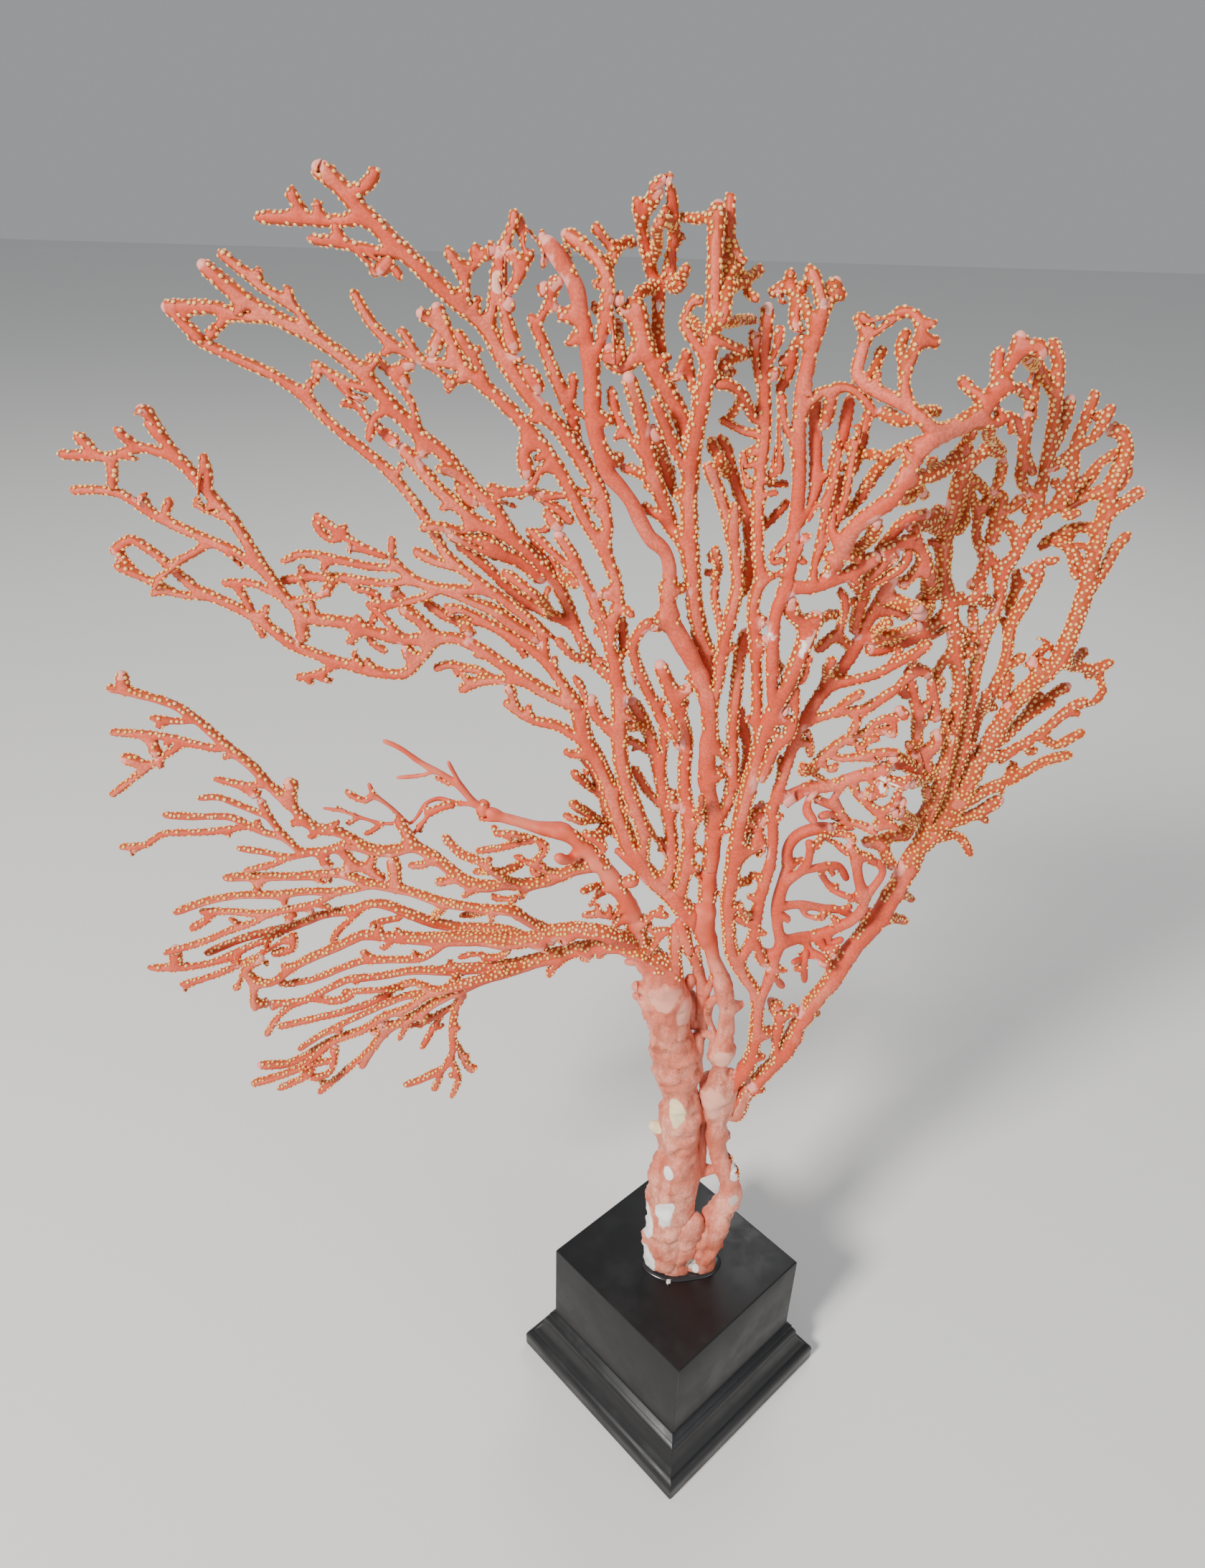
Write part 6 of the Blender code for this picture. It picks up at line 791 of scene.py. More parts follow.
link 2.1 2.1 : -146.7,201.9 -148.1,197.3 -147.4,196.7
link 1.9 1.9 : -36.2,344.3 -38.9,349.4
link 2.3 2.3 : -82.9,306.6 -86.2,307.5 -87.8,309.1
link 1.2 1.2 : 97.2,297.6 99.4,298.5 100.2,300.2 99.8,301.6
link 1.5 1.5 : -102.4,236.1 -100.3,241.4
link 2 2 : 49.9,291.6 48.1,292.5 45.8,295.3
link 2 2 : -83.5,403.1 -87.2,398.9
link 2.2 2.2 : 30.1,212.1 31.5,206.7
link 1.9 1.9 : -55.8,400.8 -56.6,401.8 -57,404.5 -58.3,405.3
link 1.2 1.2 : 67.2,352.6 69.6,350.2 69.2,349 68.4,349.1
link 2 2 : 62.4,346 61.9,340.6
link 1.6 1.6 : 54.9,348.5 52.8,343.4
link 0.85 0.85 : -81,268.8 -76.1,266.2
link 1.5 1.5 : -22.4,285.6 -27.5,287.5
link 2.4 2.4 : -67.7,256.3 -67.9,258.3 -66.8,261.5
link 1.2 1.2 : 76.4,354.8 73.8,356.1 75.1,358.2
link 2.4 2.4 : 26.5,184.8 31.8,185.3
link 2.4 2.4 : 26.2,184.9 24.1,187.9 22.6,188.7
link 1.8 1.8 : 45.6,346.4 46.4,348.6 48.9,350.3
link 1.2 1.2 : 66.5,377 66.6,373.1 65.7,371.9
link 2.4 2.4 : -146.5,344.1 -149.1,346.7 -150.7,347.1
link 1 1 : -70.8,229.6 -72.4,227.7 -75,226.8
link 1.9 1.9 : 61.2,327.1 63.1,326.7 65.9,324.9
link 2.2 2.2 : -69.8,340.1 -72.4,339.2 -74.5,340.4
link 1.3 1.3 : -130.7,189.7 -133.5,190 -134.4,190.8 -135.5,190.3
link 2.2 2.2 : -60.5,391.6 -57.5,393.8 -57,395.2
link 1.9 1.9 : -168.7,241.4 -171.3,239.9 -173.4,240.3
link 2.2 2.2 : -18.2,317.9 -19.7,317.8 -22.5,315.5
link 2.4 2.4 : -26.1,233.2 -24.8,234.1 -21.3,234.8
link 1.6 1.6 : 57.6,365.3 55.6,368.5 56.4,369.4
link 1.7 1.7 : 75.6,363.6 72.3,359.9
link 1.6 1.6 : 11.6,254.6 8.7,256.3 8.7,257.9
link 0.85 0.85 : -104.1,254.5 -105.6,252.4 -107.9,252.1
link 2.2 2.2 : 56,300 56,305
link 1.9 1.9 : -126.9,218.7 -129.7,214.6
link 2.1 2.1 : -88.6,364.2 -86.4,363.3 -84.8,361.3
link 2.4 2.4 : -24.6,218.3 -29.5,217.6
link 1.5 1.5 : 24.2,347.1 25.4,348.2 26.8,351.1
link 1.5 1.5 : 7.6,235.3 10.6,235.2 12.1,236.3
link 2.4 2.4 : 48.4,332.8 49.1,331.4 48.5,328.2
link 1.3 1.3 : -75.7,158.1 -74.4,157.3 -73,154.4
link 1.3 1.3 : -9,360.8 -9.7,364.1 -9.4,365.5
link 1.9 1.9 : -164.1,294.5 -164.1,299.3
link 2.3 2.3 : -3.5,198.2 -4.1,193.4
link 2.1 2.1 : -42.6,391.5 -45.4,391.6 -46.6,393.1
link 1.5 1.5 : -98.3,311.9 -100.2,310.3 -102.4,309.6
link 1.5 1.5 : -7.9,405.8 -5.7,405.1 -5.7,402.8
link 1.2 1.2 : 8.4,401.7 7.5,400.5 8.7,397.6
link 1.5 1.5 : -54.4,246.2 -52.1,246.2 -50.1,245.2
link 1.5 1.5 : -36.5,370.6 -32.6,368.1
link 2.1 2.1 : -34.3,250.1 -33.5,252.2 -31.2,252.1
link 2.2 2.2 : -64.4,404.8 -59.8,404.9
link 0.85 0.85 : -112.9,250.8 -112.3,252.2 -109.3,252.4
link 1.5 1.5 : -120.1,252 -122.9,251.1 -124.1,251.9
link 1.6 1.6 : 58,370 59.1,369.4 61.4,369.8 62.1,369.2
link 0.85 0.85 : 3.5,351.9 7.8,352.8
link 1 1 : 22.4,334.6 21.4,334.8 21,336.6 19.6,337.4
link 1.9 1.9 : -143.4,181.4 -138.9,181.6
link 2.2 2.2 : -104.5,170.8 -103.5,175.1
link 1.9 1.9 : 39.7,204.2 38.6,205 35.5,205.4
link 1.5 1.5 : -21.8,397.4 -19.7,398 -18.5,399.9
link 2 2 : -16.3,329.5 -13,326.6
link 2.4 2.4 : 51.8,278.3 52.7,281.3 53.8,281.2
link 1.2 1.2 : 11.6,252.1 9.3,254.2 8.1,254.2
link 2 2 : -1.9,272 2,273.7
link 2.4 2.4 : 20.5,175.5 24.7,175
link 2.4 2.4 : -49.4,210.3 -49.3,208.7 -51,206.6
link 2.1 2.1 : -32.2,324.2 -36.4,325.3
link 1.5 1.5 : 27.5,362.5 29.7,362.7 31.6,362
link 1.5 1.5 : 45.7,229.7 41.5,230.3
link 2.2 2.2 : -28.2,300 -27.1,301 -24.4,301.4
link 1.9 1.9 : 32.2,330.1 29.5,330.2 28.6,331.4
link 1 1 : -91.3,173.3 -93.2,172.6 -94.2,174.5
link 2 2 : 37.9,351.6 41.5,353.8
link 2 2 : 16.7,261.8 18.6,262.7 19.9,264.3
link 1.5 1.5 : 82.1,356.1 80.4,357.3 78.5,356.4
link 1.2 1.2 : 37.1,224.5 36.2,223.2 33.9,222.3
link 1.9 1.9 : -79.1,362.2 -79.9,358.2
link 2.3 2.3 : -69.6,315.8 -69.7,311.7
link 1 1 : -5.7,248.3 -4.2,246.8 -2.3,246.7
link 2.1 2.1 : 8.9,393.1 7.8,389.2
link 1.5 1.5 : 16,284.3 13.5,285.2 13.2,286.6
link 2.2 2.2 : -96.2,334.9 -98.2,335 -99.6,336.4
link 2 2 : -87.2,322.5 -87.6,324.5 -89.5,325.2
link 1.5 1.5 : -107.6,301.1 -108.5,297.2
link 0.85 0.85 : 3.6,228.3 2.6,229.8 2.4,231.9
link 1.9 1.9 : 47.7,257.9 47.4,256.8 44.8,256.1
link 2.2 2.2 : -44.5,329.1 -40.8,327.8
link 1.6 1.6 : -124.5,387.2 -127.5,384.7
link 1.9 1.9 : -52.4,403.3 -48.5,402.8
link 0.85 0.85 : -29.7,221.9 -29.8,224 -30.9,225.4
link 1.5 1.5 : -25.9,398.4 -29.2,396.3
link 1.9 1.9 : 55.3,273.7 54.4,271.5 53,270.9
link 1.6 1.6 : 74.7,280 75.8,279.3 78.3,279.9
link 1.2 1.2 : -105.3,201.4 -106.2,203.6 -107.7,203.9
link 1.2 1.2 : -2.3,279.9 1.5,279.5
link 1.9 1.9 : -133.7,263.1 -131.7,259.9
link 2.4 2.4 : 60.9,311 62.1,312.4 64,312.5
link 1.5 1.5 : 60.5,385.9 63.6,383.8
link 1.2 1.2 : 11.5,251.5 7.7,251.4
link 1.2 1.2 : 76.7,336.9 80.2,337.9
link 0.85 0.85 : 45.4,268 46.8,269.6 47.6,269.6 48,268.9
link 1.5 1.5 : 81.9,375.2 79.6,372.3
link 1.5 1.5 : 25.1,273.4 23.6,273.1 22.3,274.7
link 1.5 1.5 : 51.5,365.8 52.4,369.4
link 1.7 1.7 : -96.2,320.7 -94.1,323.7
link 1.6 1.6 : 8.8,362.2 5.4,363.7
link 1.9 1.9 : -83.4,377.6 -81.8,376.2 -81.5,374.8
link 1.2 1.2 : 1.4,252.1 2.9,253.6 4.4,253.7
link 1.5 1.5 : 24.4,366.3 25,369.9
link 2.4 2.4 : 52.6,319.8 55,317.1
link 1.8 1.8 : 21.5,284.9 22.4,287.1 21.7,288.1
link 1 1 : 11.6,249.9 8.1,250
link 1.9 1.9 : 39.2,209.7 40.6,206.4
link 1.9 1.9 : 12.2,255.9 13.9,257.2 14,258.6
link 2.2 2.2 : 36.8,337 38.2,337.2 39.6,338.8
link 1.8 1.8 : -21.5,418.3 -22.1,419.8 -23.9,419.4
link 1.2 1.2 : 1.3,363.4 0.7,362.3 -1.4,361.5
link 2.2 2.2 : -112.8,232.9 -113.9,232.2 -116,232.4
link 1.7 1.7 : 55.9,355 59.3,354.5
link 1.8 1.8 : 17.5,291.5 15.5,292 15.3,293.3
link 2 2 : 28.3,267.2 24.9,266.6
link 1.8 1.8 : 3.9,381.9 3.5,378.5
link 1.8 1.8 : -107.7,237.3 -109.9,234.7
link 2.3 2.3 : -28.1,297.7 -26.7,296.3 -27.4,295.1
link 2.4 2.4 : -92.9,374.4 -93.7,371.1
link 1.5 1.5 : -22.1,410.5 -23.5,411.8 -24.7,411.1
link 1.2 1.2 : -71.4,302.5 -72.6,301.2 -74.1,300.8
link 1 1 : 14.1,228.6 11.2,230.3
link 1 1 : 4.4,290.4 3.7,293.6
link 1.9 1.9 : -104.8,171.1 -107.8,169.9
link 2.4 2.4 : 12.5,247.6 15,245.5
link 2.4 2.4 : 48.8,277.8 47.6,279.6 46.6,279.9
link 1.3 1.3 : 60.8,314.8 62.3,316.6 62.3,317.5
link 1.2 1.2 : 31.7,324.5 28.5,324.7
link 1.5 1.5 : -67.1,338.8 -67.7,335.6
link 1.1 1.1 : 16.4,334.8 15,336.1 13.7,336.2
link 2.4 2.4 : 45.5,267.7 47.6,267.1 48.1,267.8
link 1.5 1.5 : -102.2,213 -103.4,215.8
link 2.4 2.4 : 49.7,321.9 46.6,322.5
link 1.9 1.9 : 79.2,306.5 79,307.9 79.9,309.3
link 2.4 2.4 : -31,395.3 -34.1,395.3
link 1.5 1.5 : 55.7,326.8 58.7,327.5
link 1.9 1.9 : 5.9,319.1 8.7,318.1
link 1.4 1.4 : -128.5,207.8 -127.9,210.8
link 2 2 : -51,347.5 -50.8,350.6
link 1.1 1.1 : 61.8,347.8 59.4,349.6
link 1.9 1.9 : -49.3,396.2 -50.1,396.9 -50,398.9
"""

# where a strand passes from one of the frame's limbs to the next
limbSpots = {
    "main": (((-19.5, 206.3), "left_limb"),),
    "side": (
        ((8.5, 158.5), "centre_limb"),
        ((-0.8, 240.0), "middle_limb_d"),
        ((-18.0, 322.0), "top_limb_a"),
    ),
    "fr": (((67.0, 264.0), "right_lobe_outer"),),
}
forkLimbs = {
    "fr": "right_limb",
    "is": "inner_stem",
    "cl": "middle_left_limb",
    "k": "lower_left_limb",
    "m": "left_bundle_upper",
    "n": "left_bundle_lower",
    "n2": "left_bundle_bottom",
    "s1": "left_bundle_top",
    "s2q": "left_bundle_middle",
    "j": "far_left_limb",
    "e": "left_lower_loop",
    "a1": "short_left_limb",
    "a3": "middle_limb_a",
    "a3u": "upper_left_limb_a",
    "e4": "upper_left_limb_b",
    "b": "upper_left_limb_c",
    "b4": "upper_left_limb_d",
    "b5": "upper_left_limb_e",
    "a5": "middle_limb_b",
    "a6": "middle_limb_c",
    "rr": "top_limb_b",
    "s8": "top_limb_c",
    "r0": "top_limb_d",
    "h3": "upright_limb",
    "a8b": "top_limb_e",
    "a8c": "top_limb_f",
    "bd": "right_centre_limb",
    "rl": "right_net_lower",
    "x1": "right_net_upper",
    "y1": "upper_right_limb_a",
    "y5": "upper_right_limb_b",
    "re": "right_lobe_inner",
    "rf": "right_lobe_left",
    "re3": "right_lobe_top",
    "rd": "right_lobe_middle",
}
stemLimbs = {"main": "main_stem", "side": "side_stem"}

fanSettings = {
    "eye": (-33.3, -272.5, 431.7),  # strands were laid out on an upright plane seen from here
    "footDepth": -4.0,
    "footBlend": 50.0,
    "step": 3.0,
    # how far apart strands are kept, and how little of that counts near a fork
    "room": 1.2,
    "search": 2.0,
    "forkPast": 3.0,
    "forkReach": 5,
    "siblingPast": 3.5,
    "siblingReach": 6,
    "siblingEase": 16,
    "easeFrom": 2.0,
    "easeOver": 16.0,
    # spreading them in depth
    "rounds": 70,
    "bellReach": 5,
    "bellWidth": 2.2,
    "clearOrder": 0.2,
    "pushMost": 3.0,
    "pushShare": 0.5,
    "pushEase": 0.9,
    "shiftMost": 10,
    "shiftEase": 10.0,
    "straighten": 0.25,
    # the cage
    "thinWeight": 2.5,
    "longest": 14,
    "look": 1.2,
    "forkStep": 0.4,
    "stemSkin": 0.95,
    "limbSkin": 1.08,
    "forkAir": 0.3,
    "forkMiddle": 0.55,
    "forkHalf": (0.85, 0.4),
    "kidGap": 0.25,
    "kidShare": 0.8,
    "kidLeast": 1.1,
    "kidEnd": 0.5,
    "slimGap": (0.5, 0.6),
    "ringGap": (0.8, 1.0, 2.6),
    "knotGap": (1.2, 1.6, 1.5),
    "knotEnds": (2.0, 3),
    "knotFrom": 2.9,
    "swellAt": 1.1,
    "swellGap": 0.3,
    "pathError": 0.45,
    "stemSides": 8,
    "stemGrow": 1.11,
    "limbGrow": 1.25,
    "stemFlat": 0.85,
    "tipSwell": 1.12,
    "tipEnd": 0.6,
    "uneven": 0.07,
    "knots": 0.11,
    "knotStep": (2.6, 4.6),
    "seed": 5,
    # short twigs and nubs
    "twigStep": 2.0,
    "twigLean": (-1.5, 1.0),
    "rootGap": 0.2,
    "nubLeast": 12,
    "nubStart": (6, 30),
    "nubEnd": 3,
    "nubMost": 3.4,
    "nubAbove": 150,
    "nubTilt": (0.1, 0.9),
    "nubReach": (1.4, 3.6),
    "nubRadius": (0.95, 1.2),
    "nubLean": (-1.2, 1.2),
    "nubBend": 0.6,
    # strand, place across and up, reach along it and how much wider it is there
    "swellings": (
        ("side", 8.6, 167.0, 4.5, 1.32),
        ("side", 7.6, 178.0, 3.5, 1.12),
        ("side", 7.4, 191.0, 4.5, 1.18),
        ("side", 6.5, 143.0, 5.5, 1.25),
        ("side", 10.5, 128.0, 3.0, 1.15),
        ("main", -4.0, 157.0, 5.0, 1.08),
        ("main", -9.0, 186.0, 7.0, 1.12),
        ("main", -12.0, 197.0, 5.0, 1.12),
        ("bd", 25.0, 200.0, 4.0, 1.15),
    ),
    "nubEvery": (26.0, 64.0),
    "noNubs": "main side is knb dead1 dead2 dr1 dr2 dr3 dr4 dr5 dr6 dr7".split(),
}
eye = np.array(fanSettings["eye"])
never = 1e9
hair = 0.01


def easeOf(x):
    return x * x * (3 - 2 * x)


def lengthsOf(points):
    steps = np.linalg.norm(np.diff(points, axis=0), axis=1)
    return np.concatenate(([0.0], np.cumsum(steps)))


def pointAt(points, along, s):
    return np.array([np.interp(s, along, points[:, i]) for i in range(points.shape[1])]).T


def nearestOn(p, points, along):
    start = points[:-1]
    d = points[1:] - start
    t = np.clip(((p - start) * d).sum(1) / np.maximum((d * d).sum(1), 1e-12), 0, 1)
    away = np.linalg.norm(start + d * t[:, None] - p, axis=1)
    i = int(np.argmin(away))
    return along[i] + t[i] * (along[i + 1] - along[i]), away[i]


# a row that goes on in the next line is indented there
def rowsOf(text):
    return text.strip().replace("\n    ", " ").splitlines()


def readStrands(rows, settings):
    strands = {}
    for row in rowsOf(rows):
        head, text = row.split(" : ")
        name, parent, depth, rootRadius, tipRadius = head.split()
        spots = [[float(v) for v in p.split(",")] for p in text.split()]
        flat = np.array([spot[:2] for spot in spots])
        along = lengthsOf(flat)
        if len(spots[0]) > 2:
            radii = np.array([spot[2] for spot in spots])
        else:
            radii = np.interp(along, (0, along[-1]), (float(rootRadius), float(tipRadius)))
        count = max(3, int(math.ceil(along[-1] / settings["step"])) + 1)
        s = np.linspace(0, along[-1], count)
        strands[name] = {
            "name": name,
            "parent": None if parent == "-" else parent,
            "depth": float(depth),
            "flat": pointAt(flat, along, s),
            "width": np.interp(s, along, radii),
            "s": s,
            "ease": easeOf(s / s[-1]),
            "shift": np.zeros(count),
            "sides": settings["stemSides"] if parent == "-" else 4,
        }
    return strands


def parentsFirst(strands):
    order = []
    while len(order) < len(strands):
        for name, strand in strands.items():
            ready = strand["parent"] is None or strand["parent"] in order
            if ready and name not in order:
                order.append(name)
    return order


def closePairs(strands, order, flat, widths, owner, arcs, settings):
    first, second, weights = [], [], []
    begin, over = settings["easeFrom"], settings["easeOver"]
    for i in range(len(flat)):
        away = np.linalg.norm(flat[i + 1:] - flat[i], axis=1)
        reach = widths[i] + widths[i + 1:] + settings["room"] + settings["search"]
        near = np.nonzero((away < reach) & (owner[i + 1:] != owner[i]))[0] + i + 1
        for j in near:
            a, b = strands[order[owner[i]]], strands[order[owner[j]]]
            weight = 1.0
            kid = None
            if a["parent"] == b["name"]:
                kid, mum, past, there = a, b, arcs[i], arcs[j]
            elif b["parent"] == a["name"]:
                kid, mum, past, there = b, a, arcs[j], arcs[i]
            if kid:
                width = float(np.interp(kid["join"], mum["s"], mum["width"]))
                beside = abs(there - kid["join"]) < settings["forkReach"] + width
                if past < settings["forkPast"] and beside:
                    continue
                weight = min(1.0, max(0.0, (past - begin) / over))
            elif a["parent"] and a["parent"] == b["parent"]:
                apart = abs(a["join"] - b["join"])
                past = max(arcs[i], arcs[j])
                if past < settings["siblingPast"] and apart < settings["siblingReach"]:
                    continue
                if apart < settings["siblingEase"]:
                    weight = min(1.0, max(0.0, (past - begin) / over))
            first.append(i)
            second.append(j)
            weights.append(weight)
    return np.array(first), np.array(second), np.array(weights)


def placeInDepth(strands, order, settings):
    for name in order:
        strand = strands[name]
        if strand["parent"]:
            mum = strands[strand["parent"]]
            root = float(np.interp(strand["join"], mum["s"], mum["y"]))
            shift = strand["shift"] * np.minimum(1, strand["s"] / settings["shiftEase"])
            strand["y"] = root + (strand["depth"] - root) * strand["ease"] + shift
        else:
            low = easeOf(np.clip(1 - strand["s"] / settings["footBlend"], 0, 1))
            strand["y"] = strand["depth"] * strand["ease"] + settings["footDepth"] * low


def spreadStrands(strands, order, settings):
    for name in order:
        strand = strands[name]
        if strand["parent"]:
            mum = strands[strand["parent"]]
            strand["join"], _ = nearestOn(strand["flat"][0], mum["flat"], mum["s"])
    flat = np.vstack([strands[n]["flat"] for n in order])
    widths = np.concatenate([strands[n]["width"] for n in order])
    arcs = np.concatenate([strands[n]["s"] for n in order])
    owner = np.concatenate([np.full(len(strands[n]["s"]), k) for k, n in enumerate(order)])
    i, j, weight = closePairs(strands, order, flat, widths, owner, arcs, settings)
    pairs, pairOf = np.unique(owner[i] * 1000 + owner[j], return_inverse=True)
    reach = settings["bellReach"]
    bell = np.exp(-0.5 * (np.arange(-reach, reach + 1) / settings["bellWidth"]) ** 2)
    bell /= bell.sum()
    sign = None
    for turn in range(settings["rounds"]):
        placeInDepth(strands, order, settings)
        y = np.concatenate([strands[n]["y"] for n in order])
        scale = (y - eye[1]) / -eye[1]
        across = eye[0] + (flat[:, 0] - eye[0]) * scale
        up = eye[2] + (flat[:, 1] - eye[2]) * scale
        solid = np.column_stack((across, y, up))
        thick = widths * scale
        if turn == settings["rounds"] - 1:
            break
        need = (thick[i] + thick[j] + settings["room"]) * weight
        d = solid[j] - solid[i]
        want = np.sqrt(np.maximum(need ** 2 - d[:, 0] ** 2 - d[:, 2] ** 2, 0))
        if sign is None:
            total = np.zeros(len(pairs))
            np.add.at(total, pairOf, d[:, 1] * (want > 0))
            other = np.where(pairs % 2 == 0, 1.0, -1.0)
            sign = np.where(np.abs(total) > settings["clearOrder"], np.sign(total), other)
            sign = sign[pairOf]
        lack = np.maximum(want - d[:, 1] * sign, 0) * (want > 0)
        push = np.minimum(lack, settings["pushMost"]) * sign * settings["pushShare"]
        move = np.zeros(len(flat))
        hits = np.zeros(len(flat))
        np.add.at(move, j, push)
        np.add.at(move, i, -push)
        np.add.at(hits, j, lack > 0)
        np.add.at(hits, i, lack > 0)
        move = move / np.maximum(hits, 1)
        start = 0
        for name in order:
            strand = strands[name]
            count = len(strand["s"])
            own = move[start:start + count]
            start += count
            if strand["parent"]:
                padded = np.concatenate((np.full(reach, own[0]), own, np.full(reach, own[-1])))
                soft = np.convolve(padded, bell, "valid")
                shift = strand["shift"] + settings["pushEase"] * soft
                shift = np.clip(shift, -settings["shiftMost"], settings["shiftMost"])
                bend = np.zeros(count)
                bend[1:-1] = shift[:-2] - 2 * shift[1:-1] + shift[2:]
                strand["shift"] = shift + settings["straighten"] * bend
    start = 0
    for name in order:
        strand = strands[name]
        count = len(strand["s"])
        strand["path"] = solid[start:start + count]
        strand["radius"] = thick[start:start + count]
        strand["along"] = lengthsOf(strand["path"])
        start += count


def bendsOf(points, radii, settings):
    keep = {0, len(points) - 1}
    spans = [(0, len(points) - 1)]
    while spans:
        a, b = spans.pop()
        if b - a < 2:
            continue
        d = points[b] - points[a]
        length = max(float(np.linalg.norm(d)), 1e-9)
        t = np.clip(((points[a + 1:b] - points[a]) @ d) / length ** 2, 0, 1)
        off = np.linalg.norm(points[a + 1:b] - points[a] - t[:, None] * d, axis=1)
        thin = np.abs(radii[a + 1:b] - radii[a] - t * (radii[b] - radii[a]))
        off = np.maximum(off, thin * settings["thinWeight"])
        i = int(np.argmax(off))
        if off[i] > settings["pathError"] or length > settings["longest"]:
            keep.add(a + 1 + i)
            spans += [(a, a + 1 + i), (a + 1 + i, b)]
    return sorted(keep)


def sectionOf(strand, s):
    along, path = strand["along"], strand["path"]
    centre = pointAt(path, along, s)
    look = fanSettings["look"]
    t = pointAt(path, along, min(s + look, along[-1])) - pointAt(path, along, max(s - look, 0))
    t /= np.linalg.norm(t)
    v = np.array((0.0, 1.0, 0.0)) - t * t[1]
    v /= np.linalg.norm(v)
    return centre, float(np.interp(s, along, strand["radius"])), t, np.cross(v, t), v


def ringOf(strand, s, sides, scale, settings):
    centre, radius, _, u, v = sectionOf(strand, s)
    if not strand["parent"] and s == 0.0:
        u, v = np.array((1.0, 0.0, 0.0)), np.array((0.0, 1.0, 0.0))
    grow = settings["limbGrow"] if sides == 4 else settings["stemGrow"]
    deep = settings["stemFlat"] if sides > 4 else 1.0
    size = grow * radius * scale
    turn = (np.arange(sides) - 0.5) * 2 * math.pi / sides
    return [centre + size * (math.cos(a) * u + deep * math.sin(a) * v) for a in turn]


def findForks(strands, order, settings):
    used = []
    skin = settings["limbSkin"]
    for name in order:
        strand = strands[name]
        strand["kids"] = []
        strand["first"] = 0.0
        if not strand["parent"] or "fill" in name:
            used.append(name)
            continue
        mum = strands[strand["parent"]]
        over = skin if mum["sides"] == 4 else settings["stemSkin"]
        s = 0.0
        while s < strand["along"][-1] - settings["forkStep"]:
            p = pointAt(strand["path"], strand["along"], s)
            there, away = nearestOn(p, mum["path"], mum["along"])
            width = float(np.interp(there, mum["along"], mum["radius"]))
            own = float(np.interp(s, strand["along"], strand["radius"]))
            if away > width * over + own * skin + settings["forkAir"]:
                break
            s += settings["forkStep"]
        used.append(name)
        strand["first"] = s
        root, _ = nearestOn(strand["path"][0], mum["path"], mum["along"])
        middle = root + settings["forkMiddle"] * (there - root)
        centre, _, t, u, v = sectionOf(mum, middle)
        way = p - centre
        lean = abs(float(sectionOf(strand, s)[2] @ t))
        straight, leaning = settings["forkHalf"]
        mum["kids"].append({
            "name": name,
            "middle": middle,
            "half": own * (straight + leaning * lean),
            "turn": math.atan2(way @ v, way @ u),
        })
    return used


def placeKids(strand, low, slim, settings):
    gap = settings["kidGap"]
    last = low
    length = strand["along"][-1]
    placed = []
    for kid in sorted(strand["kids"], key=lambda k: k["middle"]):
        start, end = kid["middle"] - kid["half"], kid["middle"] + kid["half"]
        sides = 4 if kid["middle"] > slim else strand["sides"]
        face = int(round(kid["turn"] / (2 * math.pi / sides))) % sides
        if start < last + gap:
            before = placed[-1] if placed else None
            near = settings["kidShare"] * kid["half"]
            shared = before and abs(kid["middle"] - before["middle"]) < near
            if shared and all(face != k["face"] for k in placed if k["start"] == before["start"]):
                start, end = before["start"], before["end"]
            else:
                start, end = last + gap, last + gap + 2 * kid["half"]
        clear, past = settings["slimGap"]
        if start < slim + clear and end > slim - clear and slim < never:
            start = slim + past
            end = start + 2 * kid["half"]
        if end > length - settings["kidEnd"]:
            end = length - settings["kidEnd"]
            start = max(end - 2 * kid["half"], last + gap)
        shared = placed and start == placed[-1]["start"]
        if end - start < settings["kidLeast"] * kid["half"] or start < last - 1e-6 and not shared:
            continue
        placed.append({
            "name": kid["name"],
            "start": start,
            "end": end,
            "middle": kid["middle"],
            "face": face,
        })
        last = max(last, end)
    return placed


